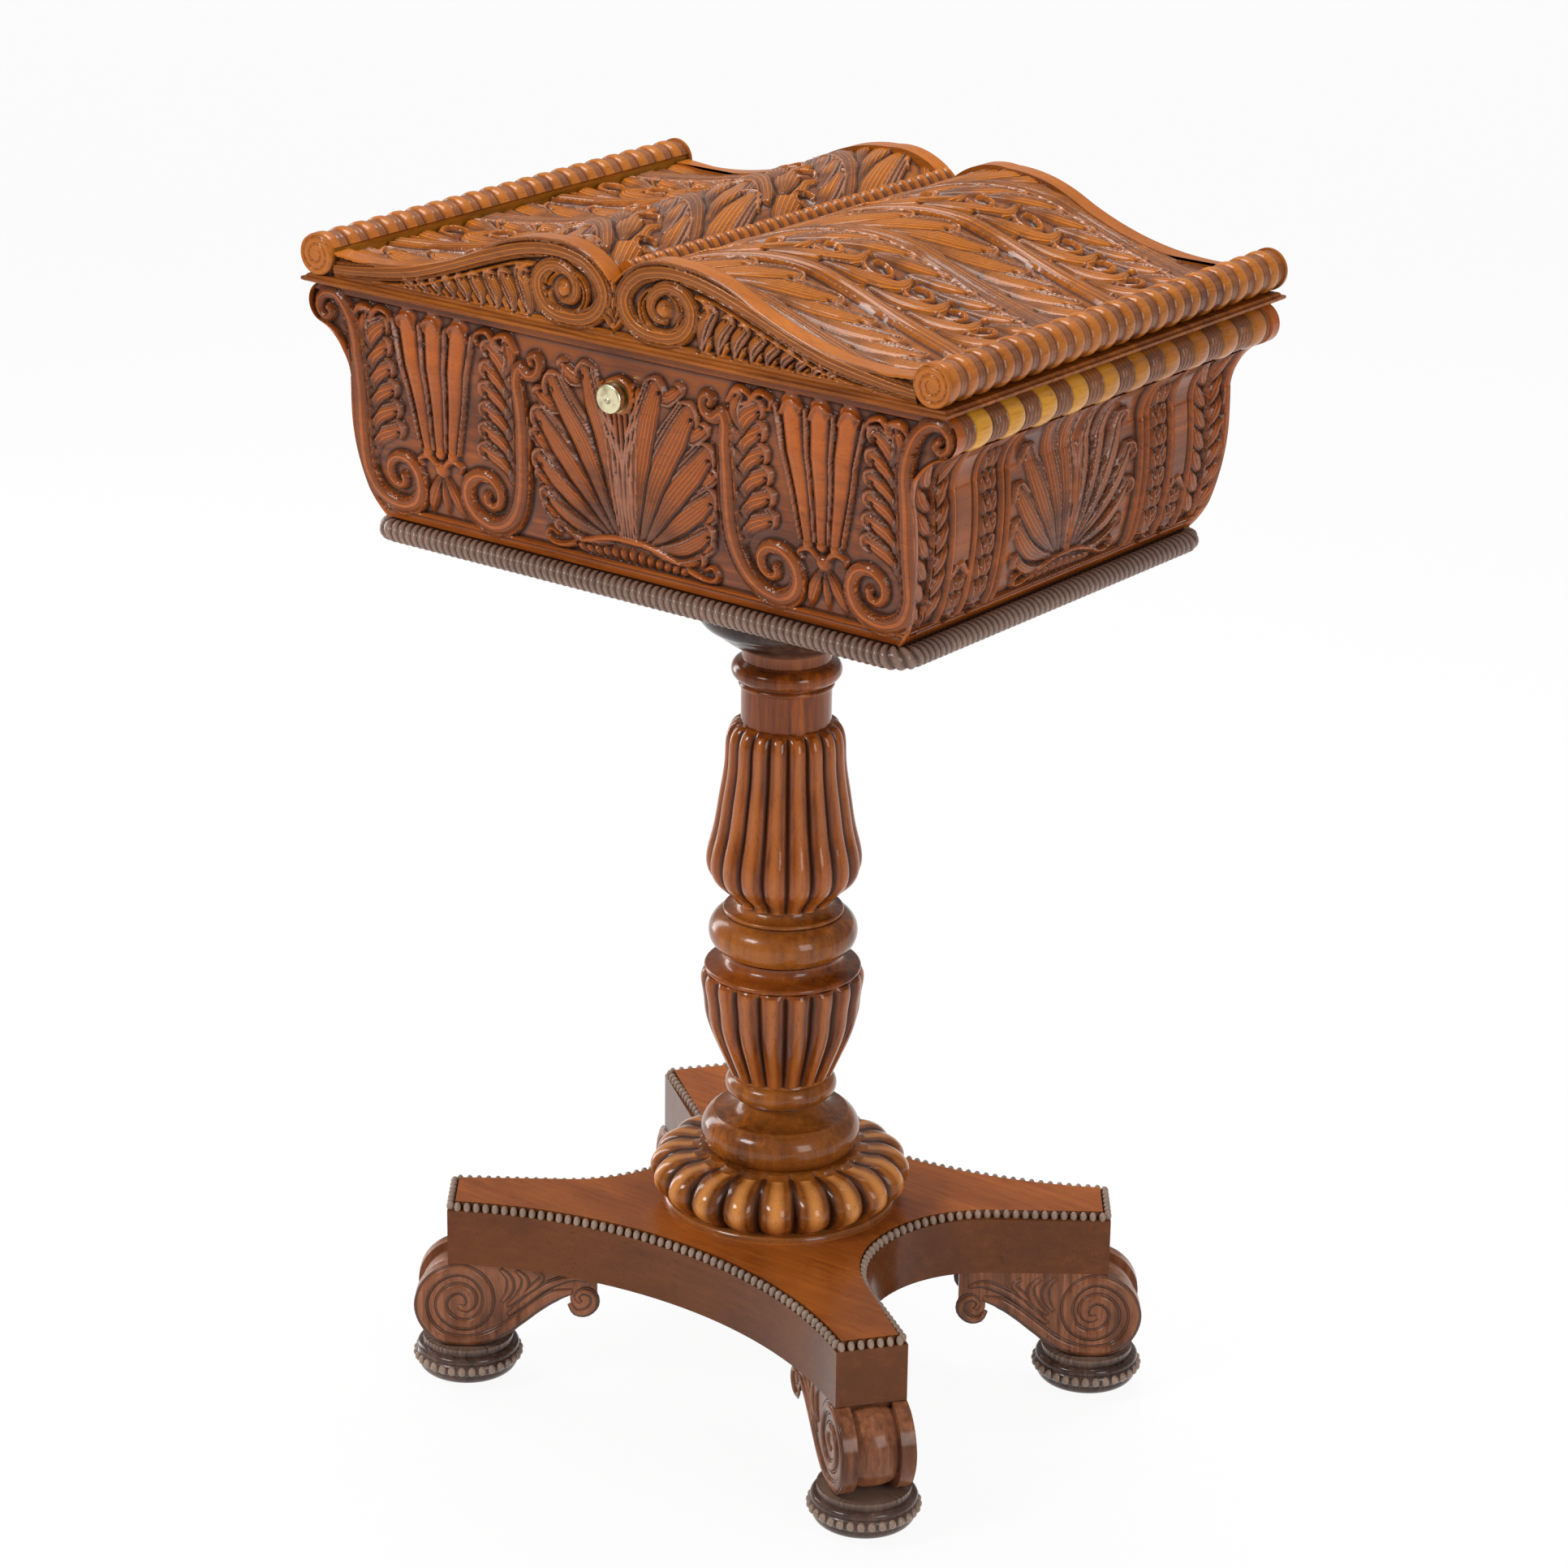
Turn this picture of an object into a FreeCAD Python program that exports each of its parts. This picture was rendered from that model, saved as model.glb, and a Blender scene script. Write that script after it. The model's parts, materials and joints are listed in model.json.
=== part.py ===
import FreeCAD, Part
import math
import os

os.makedirs("parts", exist_ok=True)

# Teapoy: a carved tea chest on a turned column, a four-armed platform and four scroll feet.
# Millimetres. The origin is on the floor under the middle of the column, +Z is up, +X runs along
# the long front towards the right end, and the front faces -Y.

# Sizes shared by every piece
overrun = 5.0                  # how far every cut runs past what it cuts
seat_gap = 0.3                 # between pieces that move past each other
running_gap = 0.05             # radial clearance of a pin or shaft in its bore
wood_fit = 0.1                 # radial clearance of a spigot in its socket

# Castors
castor_wheel_radius = 9.0
castor_hub_width = 8.4
castor_trail = 6.6             # from the swivel's axis to the wheel's
castor_crown_gap = 2.7         # between the wheel and the fork's bridge
castor_swing_gap = 1.8         # between the wheel and the cup as the fork swings round
castor_bridge_thickness = 1.8
castor_bridge_radius = 8.5
castor_cheek_thickness = 1.6
castor_cheek_width = 7.0
castor_pin_radius = 1.5
castor_cup_wall = 1.2
castor_stem_radius = 3.0
castor_stem_height = 12.0      # how far the stem runs up into the foot
castor_angles = {"front_left": 37.0, "front_right": 127.0, "back_right": 94.0, "back_left": 60.0}

# Feet
foot_disc_bottom = 8.0
foot_disc_height = 23.0
foot_disc_radius = 34.3
foot_disc_inset = 11.0         # a foot disc's axis behind the arm's flat end
foot_height = 59.5             # from the disc to the platform, which is the scroll's diameter
foot_overhang = 22.0           # how far a scroll stands out past the arm's flat end
foot_rim_width = 9.0
foot_core_inset = 2.0          # how far the middle of a foot lies inside its rims
foot_barrel_bulge = 2.6
foot_barrel_inset = 2.4        # how far the barrel's crown lies inside the rims
foot_barrel_start = 4.0        # where the barrel shows, outwards from the scroll's middle
foot_tail_length = 88.5        # from the middle of the scroll to the tail's inner end
foot_drop_radius = 8.7
foot_drop_height = 36.0        # middle of the curled drop above the foot disc

# Platform
platform_thickness = 42.5
arm_reach = 213.0              # from the middle to an arm's flat end
arm_width = 45.4
arm_angle = 37.0               # from the long front, in degrees
front_hollow = 100.0           # from the middle to the deepest point of a front or back side
end_hollow = 91.0              # from the middle to the deepest point of a left or right side
end_hollow_radius = 87.0
beading_size = 5.0             # section of the strip of beads on the platform's top edge
tenon_radius = 18.0            # the column's tenon goes right through the platform
tenon_end_height = 1.0         # how far the tenon shows under the platform

# Column, from the bottom up
base_disc_radius = 75.0
base_disc_thickness = 4.0
gadroon_radius = 83.5
gadroon_height = 33.0
gadroon_depth = 8.5
gadroon_count = 20
lower_turning_radius = 50.8
lower_turning_height = 52.0
vase_radius = 51.6
vase_body_height = 70.0
vase_cap_height = 12.0
vase_reed_depth = 4.6
reed_count = 18
upper_torus_radius = 47.2
upper_torus_height = 36.0
reeded_bottom_radius = 49.0
reeded_height = 118.0
reed_depth = 4.4
neck_collar_radius = 34.6
neck_height = 49.0
top_plate_radius = 86.0
top_plate_height = 67.0
spigot_radius = 11.0
spigot_length = 14.0

# Box
box_inner_length = 364.0
box_inner_depth = 276.0
box_wall_height = 144.7
wall_base_thickness = 12.0     # of the four walls at the bottom
belly_reach = 17.2             # how far an end swells out past its foot
rail_reach = 47.2              # how far a rail stands out past an end's foot
front_reach = 16.0             # how far the front's rim stands out past its foot
floor_thickness = 13.0
floor_end_inset = 2.0          # floor behind the foot of the left and right walls
floor_front_inset = 3.5        # floor behind the foot of the front and back walls
rope_radius = 7.0
rope_rise = 5.6                # middle of the base moulding above the floor's underside
rope_corner_radius = 10.0
rope_end_reach = 9.9           # how far the base moulding stands out at the left and right
rope_front_reach = 8.3         # how far it stands out at the front and back
rail_radius = 12.7
rail_ring_count = 10           # barrels along a rail
rail_seat_depth = 7.0          # from a rail's middle to its flat back
rail_end_inset = 8.25          # rails stop behind the front's volute ends
flare_drop = 43.0              # from a rail's middle down to where the ends start to curve out
flare_radius = 32.5

# Carving of the front and back
panel_carving_depth = 4.0      # ground of the carving below the panel's face
edge_stave_width = 13.0        # of the outer S-scrolls, which follow the panel's ends
border_height = 7.0            # plain borders along the rim and along the base
volute_radius = 21.0           # of the great volutes at the foot of the S-scrolls
volute_band = 9.0
volute_eye_radius = 4.5
flute_top_width = 14.0
flute_foot_width = 7.6
shell_lobe_width = 11.4
shell_rib_width = 5.0
leaf_width = 15.0
tie_radius = 5.6
tie_leaf_width = 6.4
button_boss_radius = 11.5

# Inside the box
tray_drop = 47.7               # tray's top below the box's rim
tray_thickness = 6.0
tray_skirt = 8.0
tray_gap = 0.5
caddy_length_share = 0.26374   # shares of the box's inner length
caddy_offset_share = 0.32967
bowl_rim_share = 0.13736
bowl_offset_share = 0.20652    # share of the box's inner depth
caddy_depth_share = 0.68841
caddy_rise = 6.0               # caddy's mouth above the tray's top
caddy_wall = 5.0
caddy_lid_thickness = 6.0
caddy_lid_rebate = 3.0
caddy_knob_radius = 6.0
caddy_knob_height = 10.0
well_gap = 1.0
bowl_lip = 4.0                 # how far a bowl's rim lies on the tray round its hole
bowl_height = 56.0
bowl_wall = 2.6
bowl_rim_thickness = 4.0
bowl_rim_roll = 1.2            # how far the rim's outer edge bulges

# Lid
lid_end_inset = 1.7            # lid board's end behind the rail's outside
lid_front_reach = 8.5          # how far the lid board stands out past the box's front
lid_board_thickness = 12.0
lid_ledge_thickness = 5.0      # of the board's moulded edge, outside the carved pieces
lid_edge_depth = 5.0           # how far the board's moulded edge steps back
arch_rise = 42.5               # arch tops above the lid board
arch_offset = 46.0             # from the middle of the lid to the top of an arch
arch_radius = 105.0
inner_arch_radius = 63.0       # of the arch on its side to the valley
dip_rise = 5.5                 # lowest point of the tops above the lid board
dip_inset = 33.0               # that point from the roll's middle
dip_slope_share = 0.08
valley_rise = 30.0
valley_half_width = 7.0
valley_band_rise = 36.5        # crown of the beaded band above the lid board
lid_shell_thickness = 12.0
top_carving_depth = 3.2        # ground of the carving below the tops' ribs
band_pitch = 152.0             # repeats of the carved ribs from the front to the back
band_sweep = 88.0              # how far the ribs bend forwards at the valley
band_return = 30.0             # how far they bend forwards at the roll
scroll_thickness = 14.0
scroll_setback = 3.5           # scroll pieces behind the board's edge
scroll_raise = 1.5             # how far the front scroll piece stands above the arched tops
scroll_valley_rise = 25.5
scroll_valley_radius = 50.4
roll_radius = 13.0
roll_overhang = 1.5            # how far a roll stands out past the lid board
roll_end_reach = 1.0           # how far a roll stands out past the scroll pieces
roll_seat_depth = 12.0         # from a roll's middle to its flat back
roll_ring_count = 20

# Hinges
hinge_offset = 120.0           # from the middle of the lid to a hinge
hinge_length = 50.0
hinge_leaf_thickness = 1.5
hinge_leaf_depth = 17.0
hinge_barrel_radius = 3.2
hinge_pin_radius = 1.2
hinge_reach = 3.8              # pin's axis behind the box's back
hinge_barrel_count = 5
screw_radius = 1.6
screw_head_radius = 2.6
screw_head_height = 1.4
screw_length = 9.0
plate_screw_radius = 2.4
plate_screw_length = 25.2
plate_screw_head_radius = 4.8
plate_screw_head_height = 2.4
plate_screw_end_gap = 2.4      # between the screws' tips and the inside of the floor
plate_screw_circle = 66.0

# Push button and catch
button_drop = 30.0             # button's axis below the box's rim
button_head_radius = 9.0
button_head_height = 4.6
button_crown = 1.6             # radius of the head's rounded edge
button_dimple_radius = 3.0
button_dimple_depth = 1.0
button_stem_radius = 3.0
button_travel = 2.5
bush_radius = 6.0
bush_flange_radius = 9.5
bush_flange_thickness = 1.0
catch_plate_width = 14.0
catch_plate_thickness = 2.0
catch_plate_height = 26.0
catch_plate_drop = 7.8         # hook plate's foot below the button's axis
catch_plate_setback = 7.0      # behind the front panel's inner face
catch_nose_height = 2.0
striker_width = 16.0
striker_thickness = 1.8
striker_drop = 18.0
striker_gap = 1.2              # between the striker and the front panel
striker_flange_depth = 12.0
bracket_depth = 25.0
bracket_width = 22.0
bracket_height = 20.0
bracket_thickness = 2.0
bracket_foot = 8.0
spring_thickness = 0.6
spring_width = 10.0

# Sizes that follow from those above, from the floor up
foot_disc_top = foot_disc_bottom + foot_disc_height
foot_disc_offset = arm_reach - foot_disc_inset
scroll_radius = foot_height / 2
scroll_middle = foot_disc_top + scroll_radius
scroll_reach = arm_reach + foot_overhang - scroll_radius
castor_bridge_top = 2 * castor_wheel_radius + castor_crown_gap + castor_bridge_thickness
castor_recess_top = castor_bridge_top + seat_gap + castor_cup_wall
castor_recess_radius = castor_trail + castor_wheel_radius + castor_swing_gap + castor_cup_wall
platform_bottom = foot_disc_top + foot_height
platform_top = platform_bottom + platform_thickness
base_disc_top = platform_top + base_disc_thickness
gadroon_top = base_disc_top + gadroon_height
lower_turning_top = gadroon_top + lower_turning_height
vase_body_top = lower_turning_top + vase_body_height
vase_top = vase_body_top + vase_cap_height
upper_torus_top = vase_top + upper_torus_height
reeded_top = upper_torus_top + reeded_height
neck_top = reeded_top + neck_height
floor_bottom = neck_top + top_plate_height
box_wall_bottom = floor_bottom + floor_thickness
box_rim = box_wall_bottom + box_wall_height
box_base_length = box_inner_length + 2 * wall_base_thickness
box_base_depth = box_inner_depth + 2 * wall_base_thickness
box_rim_depth = box_base_depth + 2 * front_reach
floor_length = box_base_length - 2 * floor_end_inset
floor_depth = box_base_depth - 2 * floor_front_inset
rail_x = box_base_length / 2 + rail_reach - rail_radius
rail_z = box_rim - rail_radius
rail_seat_x = rail_x - rail_seat_depth
rail_half = box_rim_depth / 2 - rail_end_inset
flare_start = rail_z - flare_drop
tray_top = box_rim - tray_drop
caddy_top = tray_top + caddy_rise
caddy_length = box_inner_length * caddy_length_share
caddy_offset = box_inner_length * caddy_offset_share
caddy_depth = box_inner_depth * caddy_depth_share
bowl_rim_radius = box_inner_length * bowl_rim_share
bowl_hole_radius = bowl_rim_radius - bowl_lip
bowl_offset = box_inner_depth * bowl_offset_share
lid_length = box_base_length + 2 * (rail_reach - lid_end_inset)
lid_depth = box_rim_depth + 2 * lid_front_reach
lid_board_bottom = box_rim + seat_gap
lid_board_top = lid_board_bottom + lid_board_thickness
lid_ledge_top = lid_board_bottom + lid_ledge_thickness
roll_x = lid_length / 2 + roll_overhang - roll_radius
roll_z = lid_ledge_top + roll_radius
roll_seat_x = roll_x - roll_seat_depth
dip_offset = roll_x - dip_inset
lid_top_half = lid_depth / 2 - scroll_setback - scroll_thickness
arch_drop = arch_rise - dip_rise
dip_radius = ((dip_offset - arch_offset) ** 2 + arch_drop ** 2) / (2 * arch_drop) - arch_radius
hinge_axis_y = box_rim_depth / 2 + hinge_reach
hinge_axis_z = box_rim + seat_gap / 2
button_height = box_rim - button_drop
corners = {"front_left": (-1, -1), "front_right": (1, -1), "back_right": (1, 1), "back_left": (-1, 1)}


def vector(x, y, z):
    return FreeCAD.Vector(x, y, z)


def block(x_low, x_high, y_low, y_high, z_low, z_high):
    return Part.makeBox(x_high - x_low, y_high - y_low, z_high - z_low, vector(x_low, y_low, z_low))


def rod(radius, start, direction, length):
    return Part.makeCylinder(radius, length, start, direction)


def front_view(point):
    """Point of an outline drawn across and up, as seen from the front."""
    return vector(point[0], 0, point[1])


def side_view(point):
    """Point of an outline drawn in depth and up, as seen from the side."""
    return vector(0, point[0], point[1])


def plan_view(point):
    return vector(point[0], point[1], 0)


def flipped(point):
    return (-point[0], point[1])


def mirrored_steps(steps):
    """The same outline on the left, run through in the opposite order."""
    ends = [step[1] if isinstance(step[0], tuple) else step for step in steps]
    back = [flipped(ends[-1])]
    for step, before in zip(reversed(steps[1:]), reversed(ends[:-1])):
        if isinstance(step[0], tuple):
            back.append((flipped(step[0]), flipped(before)))
        else:
            back.append(flipped(before))
    return back


def outline_face(steps, view):
    """Face inside a closed outline. A step is a point reached by a line, or two reached by an arc."""
    edges = []
    here = view(steps[0])
    for step in steps[1:] + steps[:1]:
        if isinstance(step[0], tuple):
            end = view(step[1])
            edges.append(Part.Arc(here, view(step[0]), end).toShape())
        else:
            end = view(step)
            if end.distanceToPoint(here) > seat_gap / 100:
                edges.append(Part.makeLine(here, end))
        here = end
    return Part.Face(Part.Wire(edges))


def extruded(steps, view, start, run):
    """Solid swept straight from an outline that starts at one vector, along another."""
    face = outline_face(steps, view)
    face.translate(start)
    return face.extrude(run)


def turned(steps):
    """Solid of revolution about Z from an outline of radii and heights that starts on the axis."""
    return outline_face(steps, front_view).revolve(vector(0, 0, 0), vector(0, 0, 1), 360)


def shared_steps(shares, radius, bottom, height):
    """Turning outline from shares of a radius and a height, closed along the axis."""
    def place(share):
        return (share[0] * radius, bottom + share[1] * height)
    steps = [(0, bottom)]
    for share in shares:
        if isinstance(share[0], tuple):
            steps.append((place(share[0]), place(share[1])))
        else:
            steps.append(place(share))
    return steps + [(0, bottom + height)]


def scalloped_wire(radius, depth, count, height):
    """Closed wire of rounded lobes about Z, each lobe an arc between two valleys."""
    edges = []
    valley = radius - depth
    step = 2 * math.pi / count
    for lobe in range(count):
        angles = [step * (lobe - 0.5), step * lobe, step * (lobe + 0.5)]
        reaches = [valley, radius, valley]
        points = [vector(r * math.cos(a), r * math.sin(a), height) for a, r in zip(angles, reaches)]
        edges.append(Part.Arc(*points).toShape())
    return Part.Wire(edges)


def reeded(shares, radius, bottom, height, count, depth):
    """Reeded solid lofted through lobed wires: radius, height and depth come from shares."""
    wires = []
    for radius_share, height_share, depth_share in shares:
        wires.append(scalloped_wire(radius_share * radius, depth_share * depth, count,
                                    bottom + height_share * height))
    return Part.makeLoft(wires, True, False)


def with_joint(solid, bottom, top, radius=spigot_radius, length=spigot_length, socket=True):
    """Adds the spigot under a turned section and cuts the socket in its top."""
    solid = solid.fuse(rod(radius, vector(0, 0, bottom - length), vector(0, 0, 1),
                           length + overrun)).removeSplitter()
    if socket:
        depth = spigot_length + wood_fit
        solid = solid.cut(rod(spigot_radius + wood_fit, vector(0, 0, top - depth),
                              vector(0, 0, 1), depth + overrun))
    return solid


def ringed_rod(radius, length, units, unit_shares):
    """Turned rod along Y, made of equal units of swelling rings that start at the rod's front end."""
    pitch = length / units
    steps = [(0, -length / 2)]
    for unit in range(units):
        start = -length / 2 + unit * pitch
        for from_share, to_share, foot_share, crown_share in unit_shares:
            low, high = start + from_share * pitch, start + to_share * pitch
            steps.append((foot_share * radius, low))
            steps.append(((crown_share * radius, (low + high) / 2), (foot_share * radius, high)))
    steps.append((0, length / 2))
    solid = turned(steps)
    solid.rotate(vector(0, 0, 0), vector(1, 0, 0), -90)
    return solid


def mirrored_x(shape):
    return shape.mirror(vector(0, 0, 0), vector(1, 0, 0))


def mirrored_y(shape):
    return shape.mirror(vector(0, 0, 0), vector(0, 1, 0))


def save(node, *solids):
    shape = solids[0] if len(solids) == 1 else Part.makeCompound(list(solids))
    shape.exportStep(os.path.join("parts", node + ".step"))
    print(node, "solids", len(shape.Solids), "volume", round(shape.Volume), "valid", shape.isValid())


# Platform: the front and back sides are single arcs, the left and right sides are an arc that runs
# into straight arm sides
def opposite(step):
    """A step of the platform's outline turned half round."""
    if isinstance(step[0], tuple):
        return tuple(opposite(point) for point in step)
    return (-step[0], -step[1])


def platform_outline():
    angle = math.radians(arm_angle)
    along = (math.cos(angle), math.sin(angle))
    half = arm_width / 2
    end_point = (along[0] * arm_reach + along[1] * half, along[1] * arm_reach - along[0] * half)
    side_point = (along[0] * arm_reach - along[1] * half, along[1] * arm_reach + along[0] * half)
    arc_middle_x = end_hollow + end_hollow_radius
    # the arm's straight side touches the end arc where the arc's radius is square to it
    touch = (arc_middle_x - end_hollow_radius * along[1], end_hollow_radius * along[0])
    shift = (touch[0] - end_point[0]) * along[1] - (touch[1] - end_point[1]) * along[0]
    touch = (touch[0] - shift * along[1], touch[1] + shift * along[0])
    right = [(side_point[0], -side_point[1]), (end_point[0], -end_point[1]), (touch[0], -touch[1]),
             ((end_hollow, 0), touch), end_point, side_point]
    left = [opposite(step) for step in right]
    return right + [((0, front_hollow), left[0])] + left[1:] + [((0, -front_hollow), right[0])]


def platform_pieces():
    face = outline_face(platform_outline(), plan_view)
    face.translate(vector(0, 0, platform_bottom))
    inner = Part.Face(face.OuterWire.makeOffset2D(-beading_size, 2))
    strip_bottom = vector(0, 0, platform_thickness - beading_size)
    body = face.extrude(strip_bottom)
    upper = inner.copy()
    upper.translate(strip_bottom)
    upper = upper.extrude(vector(0, 0, beading_size))
    strip = face.copy()
    strip.translate(strip_bottom)
    strip = strip.extrude(vector(0, 0, beading_size)).cut(upper)
    body = body.fuse(upper).removeSplitter()
    mortise = rod(tenon_radius + wood_fit, vector(0, 0, platform_bottom - overrun), vector(0, 0, 1),
                  platform_thickness + 2 * overrun)
    return body.cut(mortise), strip


platform, platform_beading = platform_pieces()
save("platform", platform)
save("platform_beading", platform_beading)


# Scroll foot: two flat rims with a narrower core and a swelling barrel between them, drawn with the
# scroll's middle at the origin of the outline and the tail pointing inwards
drop_corner_share = 0.6        # where the lower edge leaves the drop, as a share of the drop's radius
foot_slope_share = (-0.50, -0.26)   # of the tail's length and the scroll's radius


def foot_steps(radius, drop_radius):
    inner_end = -foot_tail_length
    drop_x = inner_end + foot_drop_radius
    drop_z = foot_disc_top + foot_drop_height - scroll_middle
    tail_corner = (drop_x + drop_radius, drop_z + foot_drop_radius * drop_corner_share)
    slope_start = (foot_slope_share[0] * foot_tail_length, foot_slope_share[1] * scroll_radius)
    # the lower edge is an arc that ends level at the foot of the scroll
    climb = slope_start[1] + radius
    slope_radius = (slope_start[0] ** 2 + climb ** 2) / (2 * climb)
    half_turn = math.asin(-slope_start[0] / slope_radius) / 2
    slope_middle = (-slope_radius * math.sin(half_turn), slope_radius * (1 - math.cos(half_turn)) - radius)
    return [(inner_end, scroll_radius), (drop_x - drop_radius, drop_z),
            ((drop_x, drop_z - drop_radius), (drop_x + drop_radius, drop_z)), tail_corner,
            slope_start, (slope_middle, (0, -radius)), ((radius, 0), (0, radius)), (0, scroll_radius)]


def foot_shape():
    side = foot_steps(scroll_radius, foot_drop_radius)
    core = foot_steps(scroll_radius - foot_core_inset, foot_drop_radius - foot_core_inset)
    half = arm_width / 2
    rims = [extruded(side, front_view, vector(0, start, 0), vector(0, foot_rim_width, 0))
            for start in (-half, half - foot_rim_width)]
    middle = extruded(core, front_view, vector(0, -half + foot_rim_width, 0),
                      vector(0, arm_width - 2 * foot_rim_width, 0))
    reach = half - foot_rim_width
    barrel_radius = scroll_radius - foot_barrel_inset
    barrel = turned([(0, -reach), (barrel_radius - foot_barrel_bulge, -reach),
                     ((barrel_radius, 0), (barrel_radius - foot_barrel_bulge, reach)), (0, reach)])
    barrel.rotate(vector(0, 0, 0), vector(1, 0, 0), -90)
    hollow = rod(barrel_radius + overrun, vector(0, -reach, 0), vector(0, 1, 0), 2 * reach)
    keep = block(foot_barrel_start, barrel_radius + 2 * overrun, -reach, reach, -scroll_radius, scroll_radius)
    middle = middle.cut(hollow.common(keep)).fuse(barrel)
    foot = rims[0].fuse([rims[1], middle]).removeSplitter()
    stem_hole = rod(castor_stem_radius + running_gap,
                    vector(foot_disc_offset - scroll_reach, 0, -scroll_radius - overrun), vector(0, 0, 1),
                    castor_stem_height + overrun)
    return foot.cut(stem_hole)


def placed_on_arm(shape, corner, offset, height):
    """Turns a piece drawn at the origin to point out along an arm, and moves it under the arm's end."""
    sign_x, sign_y = corners[corner]
    angle = math.degrees(math.atan2(sign_y * math.sin(math.radians(arm_angle)),
                                    sign_x * math.cos(math.radians(arm_angle))))
    copy = shape.copy()
    copy.translate(vector(offset, 0, height))
    copy.rotate(vector(0, 0, 0), vector(0, 0, 1), angle)
    return copy


foot = foot_shape()
for corner in corners:
    save("foot_" + corner, placed_on_arm(foot, corner, scroll_reach, scroll_middle))

# Disc under each foot: a fillet, a torus and a ring of beads, hollow underneath for the castor
foot_disc_shares = [(0.62, 0.0), ((0.90, 0.06), (0.95, 0.26)), ((1.0, 0.42), (0.95, 0.58)),
                    ((0.97, 0.68), (0.92, 0.78)), (0.86, 0.80), (0.86, 1.0)]


def foot_disc_shape():
    height = foot_disc_top - foot_disc_bottom
    disc = turned(shared_steps(foot_disc_shares, foot_disc_radius, foot_disc_bottom, height))
    recess = rod(castor_recess_radius, vector(0, 0, foot_disc_bottom - overrun), vector(0, 0, 1),
                 castor_recess_top - foot_disc_bottom + overrun)
    bore = rod(castor_stem_radius + running_gap, vector(0, 0, castor_recess_top - overrun),
               vector(0, 0, 1), foot_disc_top - castor_recess_top + 2 * overrun)
    return disc.cut(recess).cut(bore)


# Castor socket: a thin metal cup that lines the recess
def castor_socket_shape():
    depth = castor_recess_top - foot_disc_bottom
    cup = rod(castor_recess_radius, vector(0, 0, foot_disc_bottom), vector(0, 0, 1), depth)
    inside = rod(castor_recess_radius - castor_cup_wall, vector(0, 0, foot_disc_bottom - overrun),
                 vector(0, 0, 1), depth - castor_cup_wall + overrun)
    bore = rod(castor_stem_radius + running_gap, vector(0, 0, foot_disc_bottom), vector(0, 0, 1),
               depth + overrun)
    return cup.cut(inside).cut(bore)


# Castor fork: a stem, a round bridge and two cheeks that reach back to the wheel's pin
def castor_fork_shape():
    bridge_bottom = castor_bridge_top - castor_bridge_thickness
    stem = rod(castor_stem_radius, vector(0, 0, bridge_bottom), vector(0, 0, 1),
               foot_disc_top + castor_stem_height - seat_gap - bridge_bottom)
    bridge = rod(castor_bridge_radius, vector(0, 0, bridge_bottom), vector(0, 0, 1), castor_bridge_thickness)
    inner = castor_hub_width / 2 + seat_gap
    outer = inner + castor_cheek_thickness
    half = castor_cheek_width / 2
    solids = []
    for low, high in ((inner, outer), (-outer, -inner)):
        cheek = block(castor_trail - half, castor_trail + half, low, high, castor_wheel_radius,
                      castor_bridge_top)
        tip = rod(half, vector(castor_trail, low, castor_wheel_radius), vector(0, 1, 0), high - low)
        solids.append(cheek.fuse(tip))
    reach = block(0, castor_trail + half, -outer, outer, bridge_bottom, castor_bridge_top)
    fork = stem.fuse([bridge, reach] + solids).removeSplitter()
    fork = fork.cut(rod(castor_pin_radius, vector(castor_trail, -outer - overrun, castor_wheel_radius),
                        vector(0, 1, 0), 2 * outer + 2 * overrun))
    pin = rod(castor_pin_radius, vector(castor_trail, -outer, castor_wheel_radius), vector(0, 1, 0),
              2 * outer)
    return fork, pin


# Castor wheel: a crowned roller on a wider hub
castor_wheel_shares = [(0.36, 0.0), (0.36, 0.08), (0.86, 0.08), ((1.0, 0.5), (0.86, 0.92)),
                       (0.36, 0.92), (0.36, 1.0)]


def castor_wheel_shape():
    wheel = turned(shared_steps(castor_wheel_shares, castor_wheel_radius, -castor_hub_width / 2,
                                castor_hub_width))
    wheel = wheel.cut(rod(castor_pin_radius + running_gap, vector(0, 0, -castor_hub_width),
                          vector(0, 0, 1), 2 * castor_hub_width))
    wheel.rotate(vector(0, 0, 0), vector(1, 0, 0), -90)
    wheel.translate(vector(castor_trail, 0, castor_wheel_radius))
    return wheel


def castor_placed(shape, corner):
    """Turns a castor piece to its resting direction and moves it under its foot."""
    sign_x, sign_y = corners[corner]
    angle = math.radians(arm_angle)
    copy = shape.copy()
    copy.rotate(vector(0, 0, 0), vector(0, 0, 1), castor_angles[corner])
    copy.translate(vector(sign_x * foot_disc_offset * math.cos(angle),
                          sign_y * foot_disc_offset * math.sin(angle), 0))
    return copy


foot_disc = foot_disc_shape()
castor_socket = castor_socket_shape()
castor_fork, castor_pin = castor_fork_shape()
castor_wheel = castor_wheel_shape()
for corner in corners:
    save("foot_disc_" + corner, placed_on_arm(foot_disc, corner, foot_disc_offset, 0))
    save("castor_fork_" + corner, castor_placed(castor_fork, corner), castor_placed(castor_pin, corner))
    save("castor_wheel_" + corner, castor_placed(castor_wheel, corner))
save("castor_sockets", *[castor_placed(castor_socket, corner) for corner in corners])

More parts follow.
